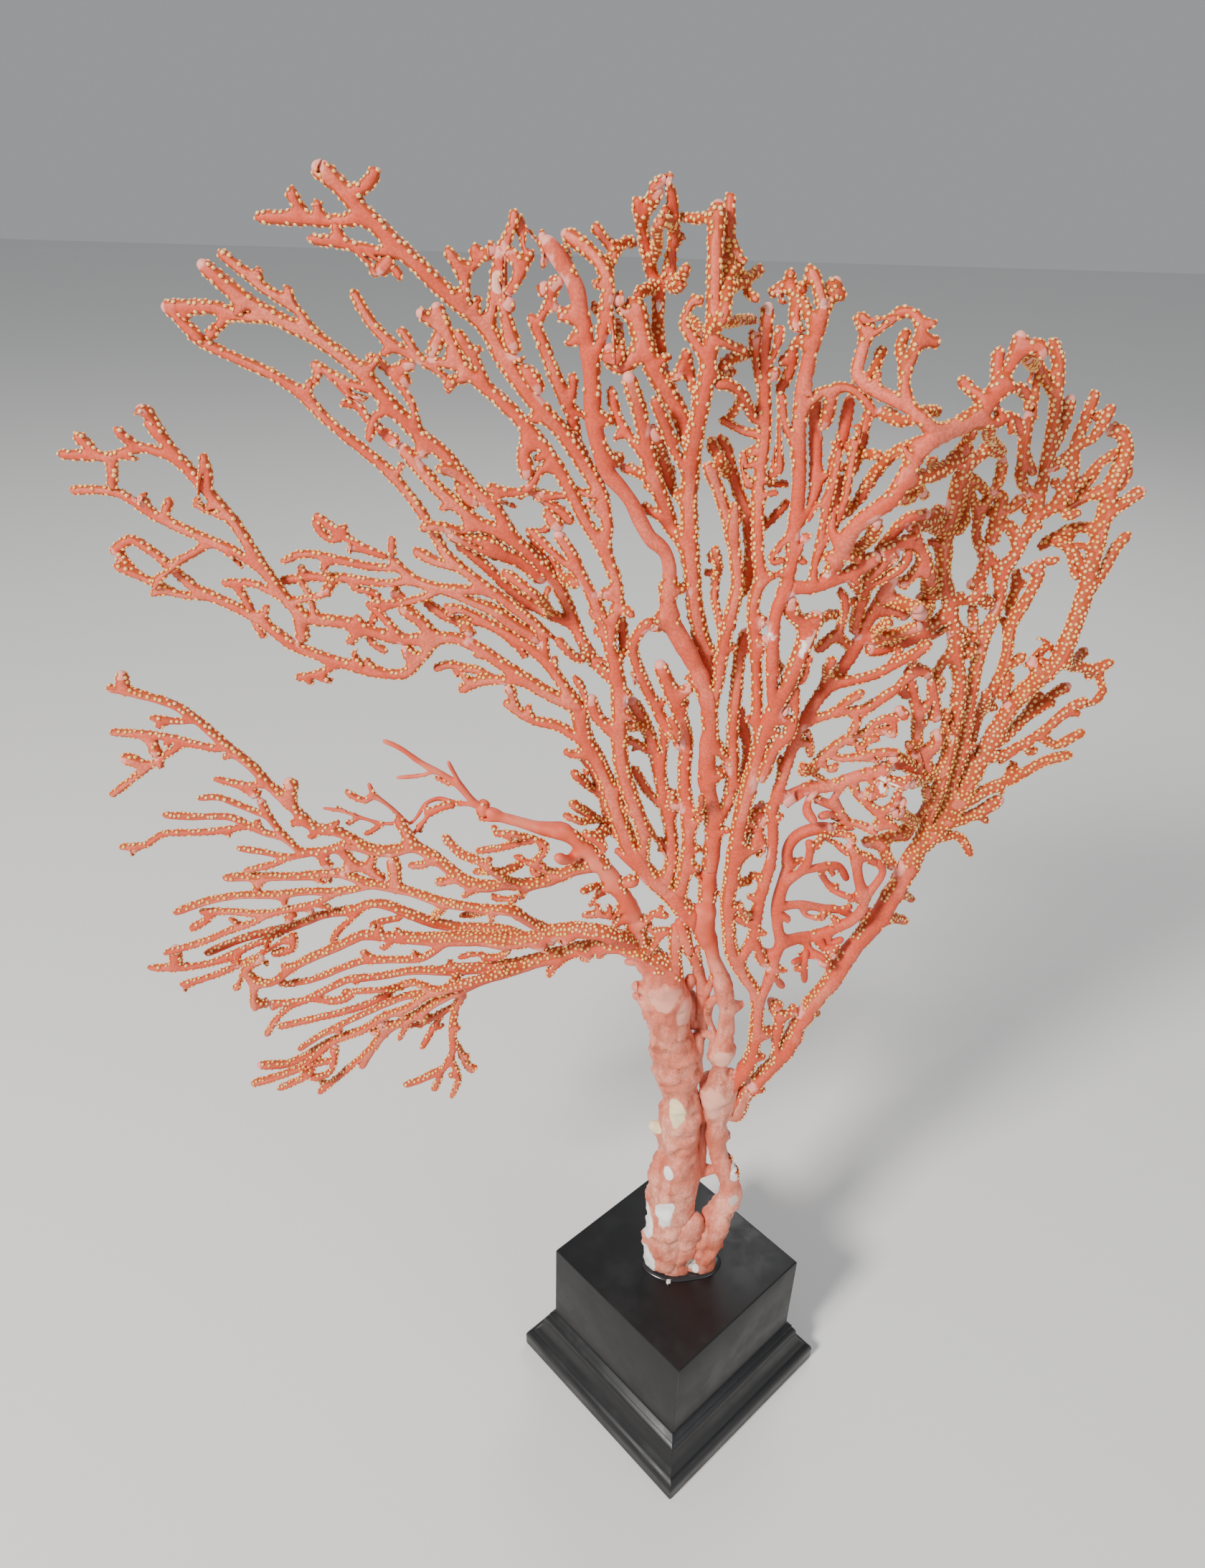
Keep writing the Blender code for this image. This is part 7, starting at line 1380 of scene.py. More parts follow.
def growStrand(cage, strand, strands, settings, rng):
    if "base" not in strand:
        strand["first"] = 0.0
    low = strand["first"] + settings["forkStep"] if strand["parent"] else 1.0
    length = strand["along"][-1]
    marks = []  # where the strand passes to another node of the frame
    for spot, limb in limbSpots.get(strand["name"], ()):
        flat, _ = nearestOn(np.array(spot), strand["flat"], strand["s"])
        marks.append((float(np.interp(flat, strand["s"], strand["along"])), limb))
    slim = marks[0][0] if strand["sides"] > 4 else never
    placed = placeKids(strand, low, slim, settings)
    stops = [k["start"] for k in placed] + [k["end"] for k in placed]
    room, start, end = settings["ringGap"]
    for i in bendsOf(strand["path"], strand["radius"], settings)[1:-1]:
        s = float(strand["along"][i])
        busy = any(k["start"] - room < s < k["end"] + room for k in placed)
        if low + start < s < length - end and not busy and abs(s - slim) > start:
            stops.append(s)
    thick = float(np.mean(strand["radius"]))
    if strand["sides"] > 4 or thick > settings["knotFrom"]:
        room, apart, fromSlim = settings["knotGap"]
        start, end = settings["knotEnds"]
        s = low + start
        while s < length - end:
            busy = any(k["start"] - room < s < k["end"] + room for k in placed)
            if not busy and all(abs(s - t) > apart for t in stops) and abs(s - slim) > fromSlim:
                stops.append(s)
            s += rng.uniform(*settings["knotStep"])
    if slim < never:
        stops.append(slim)
    swell = length - settings["swellAt"] * float(strand["radius"][-1])
    stops = [s for s in stops if s < swell - settings["swellGap"]]
    uneven = settings["knots"] if thick > settings["knotFrom"] else settings["uneven"]
    rows = [(s, 1.0 + rng.uniform(-1, 1) * uneven) for s in
            sorted(set(round(s, 5) for s in stops + [strand["first"]]))]
    rows += [(swell, settings["tipSwell"]), (length, settings["tipEnd"])]
    limb = strand["limb"]
    sides = strand["sides"]
    before = None
    opened = None
    points, faces, limbs = cage["points"], cage["faces"], cage["limbs"]

    def wall(*corners):
        faces.append(corners)
        limbs.append(limb)

    waiting = list(marks)
    for s, scale in rows:
        while waiting and s > waiting[0][0] + hair:
            limb = waiting.pop(0)[1]
        now = 4 if s > slim - hair else sides
        ringPoints = ringOf(strand, s, now, scale, settings)
        start = len(points)
        points += ringPoints
        if before is None and strand["parent"] and "base" in strand:
            base = strand["base"]
            corners = [points[i] for i in base]
            turn = min(range(4), key=lambda r: sum(
                np.linalg.norm(corners[i] - ringPoints[(i + r) % 4]) for i in range(4)))
            for i in range(4):
                j = (i + 1) % 4
                wall(base[i], base[j], start + (j + turn) % 4, start + (i + turn) % 4)
        elif before is None:
            wall(*[start + i for i in reversed(range(now))])
        elif now < wasSides:
            for i in range(now):
                j = (i + 1) % now
                a, b, c = (2 * i - 1) % wasSides, 2 * i, 2 * i + 1
                wall(before + a, before + b, start + i)
                wall(before + b, before + c, start + j, start + i)
        else:
            forks = {k["face"]: k["name"] for k in placed if opened == round(k["start"], 5)}
            for i in range(now):
                j = (i + 1) % now
                quad = (before + i, before + j, start + j, start + i)
                if i in forks:
                    strands[forks[i]]["base"] = quad
                    strands[forks[i]]["limb"] = limb
                else:
                    wall(*quad)
        before = start
        wasSides = now
        opened = s
    wall(*[before + i for i in range(wasSides)])


def swellStrands(strands, settings):
    for name, across, up, reach, more in settings["swellings"]:
        strand = strands[name]
        there, _ = nearestOn(np.array((across, up)), strand["flat"], strand["s"])
        near = np.exp(-((strand["s"] - there) / reach) ** 2)
        strand["radius"] = strand["radius"] * (1 + (more - 1) * near)


def addTwig(strands, order, name, flat, radii, lean, settings):
    best = None
    for other in order:
        mum = strands[other]
        there, away = nearestOn(flat[0], mum["flat"], mum["s"])
        if "nub" not in other and (best is None or away < best[0]):
            best = (away, other, there)
    mum = strands[best[1]]
    root = float(np.interp(best[2], mum["s"], mum["y"]))
    foot = pointAt(mum["flat"], mum["s"], best[2])
    if best[0] > settings["rootGap"]:
        flat = np.vstack((foot, flat))
        radii = np.concatenate((radii[:1], radii))
    if lean is None:
        lean = 0.0
        for other in order:
            if other != best[1]:
                mum = strands[other]
                there, away = nearestOn(flat[-1], mum["flat"], mum["s"])
                if away < float(np.interp(there, mum["s"], mum["radius"])):
                    lean = float(np.interp(there, mum["s"], mum["y"])) - root
    along = lengthsOf(flat)
    count = max(3, int(math.ceil(along[-1] / settings["twigStep"])) + 1)
    s = np.linspace(0, along[-1], count)
    flat = pointAt(flat, along, s)
    share = np.ones(count) if "fill" in name else easeOf(s / s[-1])
    y = root + lean * share
    scale = (y - eye[1]) / -eye[1]
    path = np.column_stack((eye[0] + (flat[:, 0] - eye[0]) * scale, y,
                            eye[2] + (flat[:, 1] - eye[2]) * scale))
    strands[name] = {
        "name": name,
        "parent": best[1],
        "flat": flat,
        "s": s,
        "y": y,
        "path": path,
        "radius": np.interp(s, along, radii) * scale,
        "along": lengthsOf(path),
        "sides": 4,
    }
    order.append(name)


def addTwigs(strands, order, rows, settings):
    rng = np.random.default_rng(settings["seed"] + 1)
    for number, row in enumerate(rowsOf(rows)):
        head, text = row.split(" : ")
        kind, rootRadius, tipRadius = head.split()
        flat = np.array([[float(v) for v in p.split(",")] for p in text.split()])
        radii = np.linspace(float(rootRadius), float(tipRadius), len(flat))
        kind, _, depth = kind.partition(":")
        lean = None
        if depth:
            lean = float(depth)
        elif kind != "link":
            lean = rng.uniform(*settings["twigLean"])
        addTwig(strands, order, "%s%d" % (kind, number), flat, radii, lean, settings)


def addNubs(strands, order, settings):
    rng = np.random.default_rng(settings["seed"] + 2)
    for name in list(order):
        strand = strands[name]
        short = strand["s"][-1] < settings["nubLeast"]
        if name in settings["noNubs"] or short or "depth" not in strand:
            continue
        s = rng.uniform(*settings["nubStart"])
        while s < strand["s"][-1] - settings["nubEnd"]:
            radius = float(np.interp(s, strand["s"], strand["radius"]))
            if radius < settings["nubMost"] and strand["flat"][:, 1].max() > settings["nubAbove"]:
                p = pointAt(strand["flat"], strand["s"], s)
                t = pointAt(strand["flat"], strand["s"], s + 1) - p
                t /= np.linalg.norm(t)
                way = np.array((-t[1], t[0])) * rng.choice((-1, 1))
                way = way + t * rng.uniform(*settings["nubTilt"])
                way /= np.linalg.norm(way)
                long = radius + rng.uniform(*settings["nubReach"])
                size = rng.uniform(*settings["nubRadius"])
                flat = np.array((p, p + way * long * settings["nubBend"], p + way * long))
                addTwig(strands, order, "%snub%d" % (name, int(s)), flat,
                        np.array((size, size, size)), rng.uniform(*settings["nubLean"]), settings)
            s += rng.uniform(*settings["nubEvery"])


def growCage(rows, twigs, settings):
    strands = readStrands(rows, settings)
    order = parentsFirst(strands)
    spreadStrands(strands, order, settings)
    swellStrands(strands, settings)
    addTwigs(strands, order, twigs, settings)
    addNubs(strands, order, settings)
    used = findForks(strands, order, settings)
    rng = np.random.default_rng(settings["seed"])
    cage = {"points": [], "faces": [], "limbs": []}
    for name in used:
        strand = strands[name]
        if not strand["parent"]:
            strand["limb"] = stemLimbs[name]
        if "limb" not in strand:
            strand["limb"] = strands[strand["parent"]]["limb"]
        if name in forkLimbs:
            strand["limb"] = forkLimbs[name]
        growStrand(cage, strand, strands, settings, rng)
    return strands, order, cage


# a screen colour such as cf5f45 as linear values
def tone(code):
    parts = [int(code[i:i + 2], 16) / 255 for i in (0, 2, 4)]
    linear = [v / 12.92 if v <= 0.04045 else ((v + 0.055) / 1.055) ** 2.4 for v in parts]
    return (*linear, 1.0)


def noiseAt(paint, place, scale, detail=2.0, rough=0.5):
    values = {"Vector": place, "Scale": scale, "Detail": detail, "Roughness": rough}
    return paint.node("ShaderNodeTexNoise", {"noise_dimensions": "3D"}, values)


def between(paint, value, low, high):
    values = {"Value": value, "From Min": low, "From Max": high, "To Min": 0.0, "To Max": 1.0}
    return paint.node("ShaderNodeMapRange", {"interpolation_type": "SMOOTHSTEP"}, values)


def blendColours(paint, share, a, b, way="MIX"):
    settings = {"data_type": "RGBA", "blend_type": way}
    return paint.node("ShaderNodeMix", settings, {0: share, 6: a, 7: b}, 2)


def objectPlace(paint):
    return paint.node("ShaderNodeTexCoord", {}, {}, 3)


def layerOf(paint, name):
    return paint.node("ShaderNodeAttribute", {"attribute_name": name}, {}, 2)


# noises have scale, detail and roughness, and a name in At holds where a blend starts and ends
coralLook = {
    "smooth": "da5434",
    "smoothLight": "e8785c",
    "smoothDeep": "b53a20",
    "between": "b8481a",
    # bead colours: the polyps' own yellow-orange, painted darker on the sides as shade and lighter
    # on the tops as a highlight
    "beadSideShaded": "e8843c",
    "beadTopHighlight": "ffd090",
    "beadTopHighlightYellow": "ffc266",
    "broken": "f0a596",
    "white": "f4ebe2",
    "pale": "f0b5a2",
    "broad": (45.0, 3.0, 0.55),
    "fine": (1400.0, 2.0, 0.6),
    "rim": (420.0, 3.0, 0.6),
    "ragged": 1.4,
    "lightAt": (0.42, 0.66),
    "deepAt": (0.62, 0.4),
    "deepShare": 0.45,
    "brokenShare": 0.8,
    "spotAt": (1.1, 0.88),
    "coatAt": (0.25, 0.6),
    "yellowAt": (0.38, 0.6),
    "topAt": (0.35, 0.8),
    "beadAt": (0.02, 0.35),
    "rough": 0.62,
    "bump": (0.35, 0.0002),
    # place in mm and half sizes of each pale spot
    "spots": (
        ((48.0, 4.0, 271.0), (4.2, 9.0, 4.6), "white"),
        ((20.0, 0.0, 316.0), (2.8, 8.0, 3.4), "pale"),
        ((17.0, 0.0, 314.0), (1.5, 8.0, 2.6), "white"),
        ((21.0, 0.0, 335.0), (1.8, 8.0, 2.2), "pale"),
        ((9.0, 0.0, 318.0), (1.8, 8.0, 2.2), "white"),
        ((74.5, 12.0, 302.0), (2.0, 12.0, 4.6), "pale"),
        ((69.0, 12.0, 291.0), (1.8, 12.0, 2.4), "white"),
        ((66.0, 12.0, 281.0), (1.8, 12.0, 2.4), "pale"),
        ((-23.5, 0.0, 393.0), (1.8, 10.0, 2.6), "white"),
        ((-17.0, 0.0, 395.0), (1.6, 10.0, 2.0), "white"),
        ((-60.0, 0.0, 398.0), (2.0, 10.0, 2.4), "pale"),
        ((1.0, 0.0, 396.0), (2.4, 10.0, 2.8), "pale"),
    ),
}


def bumpOf(paint, look, height):
    strength, distance = look["bump"]
    values = {"Strength": strength, "Distance": distance, "Height": height}
    return paint.node("ShaderNodeBump", {}, values)


def addSpots(paint, place, colour, spots, edge, look):
    for spot, half, finish in spots:
        moved = paint.node("ShaderNodeVectorMath", {"operation": "SUBTRACT"},
                           {0: place, 1: tuple(v * mm for v in spot)})
        scaled = paint.node("ShaderNodeVectorMath", {"operation": "DIVIDE"},
                            {0: moved, 1: tuple(v * mm for v in half)})
        away = paint.node("ShaderNodeVectorMath", {"operation": "LENGTH"}, {0: scaled}, 1)
        share = between(paint, away + edge, *coralLook["spotAt"])
        colour = blendColours(paint, share, colour, tone(look[finish]))
    return colour


# the skin under and between the beads, then their sides and tops: the polyps' own yellow-orange,
# the tops lighter as a painted highlight and the sides darker as painted shade
def addBeads(paint, skin, top):
    look = coralLook
    bead = layerOf(paint, "bead")
    coat = layerOf(paint, "coat")
    skin = blendColours(paint, between(paint, coat, *look["coatAt"]), skin, tone(look["between"]))
    beads = blendColours(paint, between(paint, bead, *look["topAt"]), tone(look["beadSideShaded"]), top)
    return blendColours(paint, between(paint, bead, *look["beadAt"]), skin, beads)


def paintCoral(look):
    paint = Paint("coralSkin")
    place = objectPlace(paint)
    broad = noiseAt(paint, place, *look["broad"])
    fine = noiseAt(paint, place, *look["fine"])
    rim = noiseAt(paint, place, *look["rim"])
    smooth = blendColours(paint, between(paint, broad, *look["lightAt"]), tone(look["smooth"]),
                          tone(look["smoothLight"]))
    deep = between(paint, fine, *look["deepAt"]) * look["deepShare"]
    smooth = blendColours(paint, deep, smooth, tone(look["smoothDeep"]))
    broken = layerOf(paint, "broken") * look["brokenShare"]
    smooth = blendColours(paint, broken, smooth, tone(look["broken"]))
    edge = (rim - 0.5) * look["ragged"]
    smooth = addSpots(paint, place, smooth, look["spots"], edge, look)
    # the top colour of each bead: yellow with a painted highlight, varied at random
    top = blendColours(paint, between(paint, broad, *look["yellowAt"]), tone(look["beadTopHighlight"]),
                       tone(look["beadTopHighlightYellow"]))
    colour = addBeads(paint, smooth, top)
    values = {"Base Color": colour, "Roughness": look["rough"], "Normal": bumpOf(paint, look, fine)}
    return paint.finish(**values)


stemLook = {
    "flesh": "e07a5e",
    "light": "f2a78e",
    "deep": "b04c30",
    "white": "f3efe9",
    "cream": "f0dcae",
    "grey": "cbb8ac",
    "pale": "e9a48d",
    "crack": "8c4322",
    "stretch": (1.0, 1.0, 0.22),
    "streak": (260.0, 4.0, 0.6),
    "broad": (60.0, 3.0, 0.6),
    "fine": (1300.0, 3.0, 0.6),
    "rim": (150.0, 2.0, 0.5),
    "cracks": (190.0, 5.0, 0.7),
    "lightAt": (0.4, 0.65),
    "streakAt": (0.56, 0.36),
    "streakShare": 0.6,
    "fineAt": (0.6, 0.38),
    "fineShare": 0.35,
    "ragged": 1.1,
    "raggedStreak": 0.3,
    "cracksAt": (0.44, 0.34),
    "crackShare": 0.75,
    # heights in metres at which the knobbly stretch and the limb's own look begin
    "knobblyAt": (0.12, 0.165),
    "limbAt": (0.18, 0.225),
    "rough": 0.58,
    "bump": (0.5, 0.0004),
    # place in mm and half sizes of each worn patch
    "patches": (
        ((-12.0, -6.0, 64.0), (4.6, 9.0, 8.5), "white"),
        ((-12.8, -4.0, 84.0), (2.6, 8.0, 8.5), "white"),
        ((-6.8, -8.0, 92.0), (3.0, 6.0, 6.0), "white"),
        ((-5.6, -8.0, 96.0), (2.2, 6.0, 3.4), "white"),
        ((-6.6, -8.0, 113.5), (1.7, 6.0, 3.4), "white"),
        ((-5.0, -7.0, 142.0), (3.4, 6.0, 5.6), "cream"),
        ((-12.5, -2.0, 131.0), (3.2, 6.0, 2.6), "cream"),
        ((18.3, -3.0, 110.0), (2.3, 7.0, 4.6), "white"),
        ((18.0, -4.0, 97.0), (1.7, 6.0, 2.2), "grey"),
        ((4.6, -8.0, 66.0), (1.8, 8.0, 2.8), "grey"),
        ((6.6, -8.0, 63.5), (1.2, 8.0, 2.2), "white"),
        ((9.2, -3.0, 166.5), (4.2, 7.0, 3.6), "pale"),
        ((-4.0, -3.0, 186.0), (4.0, 7.0, 5.0), "pale"),
        ((-12.0, -3.0, 193.0), (4.5, 7.0, 5.0), "pale"),
        ((7.0, -3.0, 145.0), (4.0, 7.0, 7.0), "pale"),
    ),
}


def paintStem(look):
    paint = Paint("stemSkin")
    place = objectPlace(paint)
    stretched = paint.node("ShaderNodeMapping", {}, {"Vector": place, "Scale": look["stretch"]})
    streak = noiseAt(paint, stretched, *look["streak"])
    broad = noiseAt(paint, place, *look["broad"])
    fine = noiseAt(paint, place, *look["fine"])
    rim = noiseAt(paint, place, *look["rim"])
    cracks = between(paint, noiseAt(paint, place, *look["cracks"]), *look["cracksAt"])
    flesh = blendColours(paint, between(paint, broad, *look["lightAt"]), tone(look["flesh"]),
                         tone(look["light"]))
    deep = between(paint, streak, *look["streakAt"]) * look["streakShare"]
    flesh = blendColours(paint, deep, flesh, tone(look["deep"]))
    deep = between(paint, fine, *look["fineAt"]) * look["fineShare"]
    flesh = blendColours(paint, deep, flesh, tone(look["deep"]))
    height = paint.node("ShaderNodeSeparateXYZ", {}, {0: place}, 2)
    knobbly = between(paint, height, *look["knobblyAt"])
    worn = blendColours(paint, cracks * knobbly * look["crackShare"], flesh, tone(look["crack"]))
    edge = (rim - 0.5) * look["ragged"] + (streak - 0.5) * look["raggedStreak"]
    worn = addSpots(paint, place, worn, look["patches"], edge, look)
    limb = blendColours(paint, between(paint, broad, *coralLook["lightAt"]),
                        tone(coralLook["smooth"]), tone(coralLook["smoothLight"]))
    skin = blendColours(paint, between(paint, height, *look["limbAt"]), worn, limb)
    # the stem's beads get the same painted highlight on their tops
    colour = addBeads(paint, skin, tone(coralLook["beadTopHighlight"]))
    bump = bumpOf(paint, look, streak * 0.6 + fine * 0.4)
    return paint.finish(**{"Base Color": colour, "Roughness": look["rough"], "Normal": bump})


plinthSettings = {
    "turn": 43.72,
    "profile": (
        (40.4, 0.0), (40.9, 0.5), (40.9, 4.5), (41.0, 5.6), (40.6, 7.0), (39.7, 8.2), (38.6, 8.6),
        (38.2, 9.5), (37.3, 10.5), (36.7, 11.7), (36.3, 13.0), (36.0, 14.6), (35.6, 15.5),
        (35.7, 16.4), (35.3, 17.6), (34.6, 18.4), (33.8, 19.0), (34.2, 19.5), (34.2, 20.1),
        (33.4, 20.9), (32.5, 21.5), (32.5, 59.1), (32.32, 59.52), (31.9, 59.7),
    ),
    "corner": 0.35,
    "sharp": 28,
    "black": "0e0e0f",
    "dusty": "232224",
    "grain": (2600.0, 3.0, 0.6),
    "dust": (90.0, 4.0, 0.6),
    "dustAt": (0.5, 0.8),
    "dustShare": 0.25,
    "roughAt": (0.35, 0.7),
    "rough": 0.38,
    "roughMore": 0.14,
    "bump": (0.12, 0.0001),
}


def paintPlinth(settings):
    paint = Paint("blackPaint")
    place = objectPlace(paint)
    grain = noiseAt(paint, place, *settings["grain"])
    dust = noiseAt(paint, place, *settings["dust"])
    dusty = between(paint, dust, *settings["dustAt"]) * settings["dustShare"]
    colour = blendColours(paint, dusty, tone(settings["black"]), tone(settings["dusty"]))
    more = between(paint, dust, *settings["roughAt"]) * settings["roughMore"]
    values = {"Base Color": colour, "Roughness": settings["rough"] + more,
              "Normal": bumpOf(paint, settings, grain)}
    return paint.finish(**values)


# the next ring of points and edges up from an open rim
def ringUp(shape, edges):
    made = bmesh.ops.extrude_edge_only(shape, edges=edges)["geom"]
    verts = [g for g in made if isinstance(g, bmesh.types.BMVert)]
    edges = [g for g in made if isinstance(g, bmesh.types.BMEdge)]
    return verts, [e for e in edges if e.verts[0] in verts and e.verts[1] in verts]


def smoothPiece(name, data):
    data.polygons.foreach_set("use_smooth", np.ones(len(data.polygons), bool))
    piece = bpy.data.objects.new(name, data)
    bpy.context.collection.objects.link(piece)
    return piece


def makePlinth(settings):
    shape = bmesh.new()
    bmesh.ops.create_grid(shape, x_segments=1, y_segments=1, size=settings["profile"][0][0] * mm)
    bmesh.ops.reverse_faces(shape, faces=shape.faces)
    edges = list(shape.edges)
    half, height = settings["profile"][0]
    for nextHalf, nextHeight in settings["profile"][1:]:
        verts, edges = ringUp(shape, edges)
        bmesh.ops.translate(shape, vec=(0, 0, (nextHeight - height) * mm), verts=verts)
        bmesh.ops.scale(shape, vec=(nextHalf / half, nextHalf / half, 1), verts=verts)
        half, height = nextHalf, nextHeight
    bmesh.ops.contextual_create(shape, geom=edges)
    bmesh.ops.recalc_face_normals(shape, faces=shape.faces)
    upright = [e for e in shape.edges
               if abs(abs(e.verts[0].co.x) - abs(e.verts[0].co.y)) < 1e-6
               and abs(e.verts[0].co.x * e.verts[1].co.y - e.verts[0].co.y * e.verts[1].co.x) < 1e-9
               and (e.verts[0].co - e.verts[1].co).length > 1e-5
               and abs(e.verts[0].co.z - e.verts[1].co.z) > 1e-6]
    bmesh.ops.bevel(shape, geom=upright, offset=settings["corner"] * mm, offset_type="OFFSET",
                    affect="EDGES", segments=2, profile=0.5, material=-1, clamp_overlap=True)
    bmesh.ops.rotate(shape, cent=(0, 0, 0), verts=shape.verts,
                     matrix=Matrix.Rotation(math.radians(settings["turn"]), 3, "Z"))
    data = bpy.data.meshes.new("paintedPlinth")
    shape.to_mesh(data)
    shape.free()
    piece = smoothPiece("paintedPlinth", data)
    data.set_sharp_from_angle(angle=math.radians(settings["sharp"]))
    data.materials.append(paintPlinth(settings))
    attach(piece, "root")
    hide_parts("plinth")
    print("plinth:", len(data.polygons), "faces")


makePlinth(plinthSettings)


strands, order, cage = growCage(strandRows, twigRows, fanSettings)
print("fan laid out:", len(order), "strands,", len(cage["faces"]), "cage faces")


def meshFrom(name, points, faces):
    data = bpy.data.meshes.new(name)
    data.from_pydata([tuple(float(v) * mm for v in p) for p in points], [], faces)
    data.update()
    return data


def roundCage(cage, levels):
    limbNames = sorted(set(cage["limbs"]))
    data = meshFrom("cage", cage["points"], cage["faces"])
    numbers = np.array([limbNames.index(limb) for limb in cage["limbs"]], np.int32)
    data.polygons.foreach_set("material_index", numbers)
    holder = bpy.data.objects.new("cage", data)
    bpy.context.collection.objects.link(holder)
    smooth = holder.modifiers.new("round", "SUBSURF")
    smooth.levels = levels
    smooth.render_levels = levels
    whole = bpy.context.evaluated_depsgraph_get()
    done = bpy.data.meshes.new_from_object(holder.evaluated_get(whole))
    points = np.zeros(len(done.vertices) * 3)
    done.vertices.foreach_get("co", points)
    quads = np.zeros(len(done.loops), np.int32)
    done.loops.foreach_get("vertex_index", quads)
    owner = np.zeros(len(done.polygons), np.int32)
    done.polygons.foreach_get("material_index", owner)
    bpy.data.objects.remove(holder)
    bpy.data.meshes.remove(done)
    return points.reshape(-1, 3) / mm, quads.reshape(-1, 4), owner, limbNames


def normalsOf(points, quads):
    a = points[quads[:, 2]] - points[quads[:, 0]]
    b = points[quads[:, 3]] - points[quads[:, 1]]
    faceNormals = np.cross(a, b)
    normals = np.zeros_like(points)
    for corner in range(4):
        np.add.at(normals, quads[:, corner], faceNormals)
    normals /= np.maximum(np.linalg.norm(normals, axis=1), 1e-12)[:, None]
    return normals


def nearestStrand(points, strands, order):
    tree = kdtree.KDTree(sum(len(strands[n]["s"]) for n in order))
    owner = []
    for k, name in enumerate(order):
        for i, p in enumerate(strands[name]["path"]):
            tree.insert(p, len(owner))
            owner.append((k, i))
    tree.balance()
    owner = np.array(owner)
    found = np.array([tree.find(p)[1] for p in points])
    return owner[found, 0], owner[found, 1]


# lumps: rounded swellings on the stems, faint ones on the limbs
def lumpSkin(points, normals, radius, settings):
    size = np.clip((radius - settings["from"]) / settings["over"], 0, 1) * settings["most"]
    size += settings["least"]
    moved = points.copy()
    elsewhere = Vector((7.0, 3.0, 1.0))
    for i in range(len(points)):
        p = Vector(points[i])
        broad = noise.noise(p * settings["broad"])
        small = noise.noise(p * settings["small"] + elsewhere)
        lump = settings["broadShare"] * broad + settings["smallShare"] * small
        moved[i] += normals[i] * (size[i] * lump)
    return moved


lumpSettings = {
    "from": 2.4,
    "over": 3.2,
    "most": 1.9,
    "least": 0.18,
    "broad": 0.24,
    "small": 0.55,
    "broadShare": 0.75,
    "smallShare": 0.35,
}
skinPoints, skinQuads, skinLimb, limbNames = roundCage(cage, 2)
skinStrand, skinSpot = nearestStrand(skinPoints, strands, order)
spotStarts = np.cumsum([0] + [len(strands[n]["s"]) for n in order])[:-1]
spotRadii = np.concatenate([strands[n]["radius"] for n in order])
skinRadius = spotRadii[spotStarts[skinStrand] + skinSpot]
skinPoints = lumpSkin(skinPoints, normalsOf(skinPoints, skinQuads), skinRadius, lumpSettings)
skinNormals = normalsOf(skinPoints, skinQuads)
print("skin:", len(skinQuads), "quads")


# smooth wear, lumps and the coat of beads

coatSettings = {
    # strands with no beads, with none on their front underside and with beads behind only
    "bare": "main side is kn1 kn2 kn3 kn4 knb dead1 dead2 dr1 dr2 dr3 dr4 dr5 dr6 dr7"
            " rl rl1 rl2 rl3 rl4 rl5 rl6 rl7 rl8 nt nt1 nt2 nt3 nt4 nt5 x1 x2 x3 x4".split(),
    "belowSmooth": "m n n2 n3 n4 s1 s2q k j l1 l3 l8 j2 j7 j8".split(),
    "smooth": "y1 y5 y8 z1 z2 a8c bd".split(),
    # where the coat fades: share of the normal that faces the front, radius, height and end
    "frontFade": (0.86, 0.74),
    "belowFade": (-0.35, -0.1),
    "belowFront": 0.35,
    "smoothFade": (0.35, 0.1),
    "lobe": (52, 8, 236),
    "lobeFade": (0.995, 0.97),
    "thickBelow": 225,
    "thickFade": (4.0, 3.1),
    "trunk": (-22, 16, 210),
    "trunkFade": (192, 206),
    "endFade": (0.6, 2.0),
    "endRadius": 1.75,
    "brokenFade": (3.4, 1.0),
    "gap": 1.14,
    "tries": 300000,
    "wanted": (0.35, 0.3),
    "sizes": (0.84, 1.12),
    "heights": (0.9, 1.25),
    "rimLift": 0.12,
    "rootDepth": 0.35,
    "rimShade": 0.55,
    # bead colour value at the rim: painted shade between the shaded side and the highlighted top
    "beadRadius": 0.64,
    "beadHeight": 0.46,
    "seed": 11,
}


def stepBetween(low, high, x):
    return easeOf(np.clip((x - low) / (high - low), 0, 1))


# how far each point is from the broken end of its strand, far away on the fine twigs
def endOf(strandOf, spotOf, radius):
    left = np.concatenate([strands[n]["s"][-1] - strands[n]["s"] for n in order])
    left = left[spotStarts[strandOf] + spotOf]
    return np.where(radius > coatSettings["endRadius"], left, never)


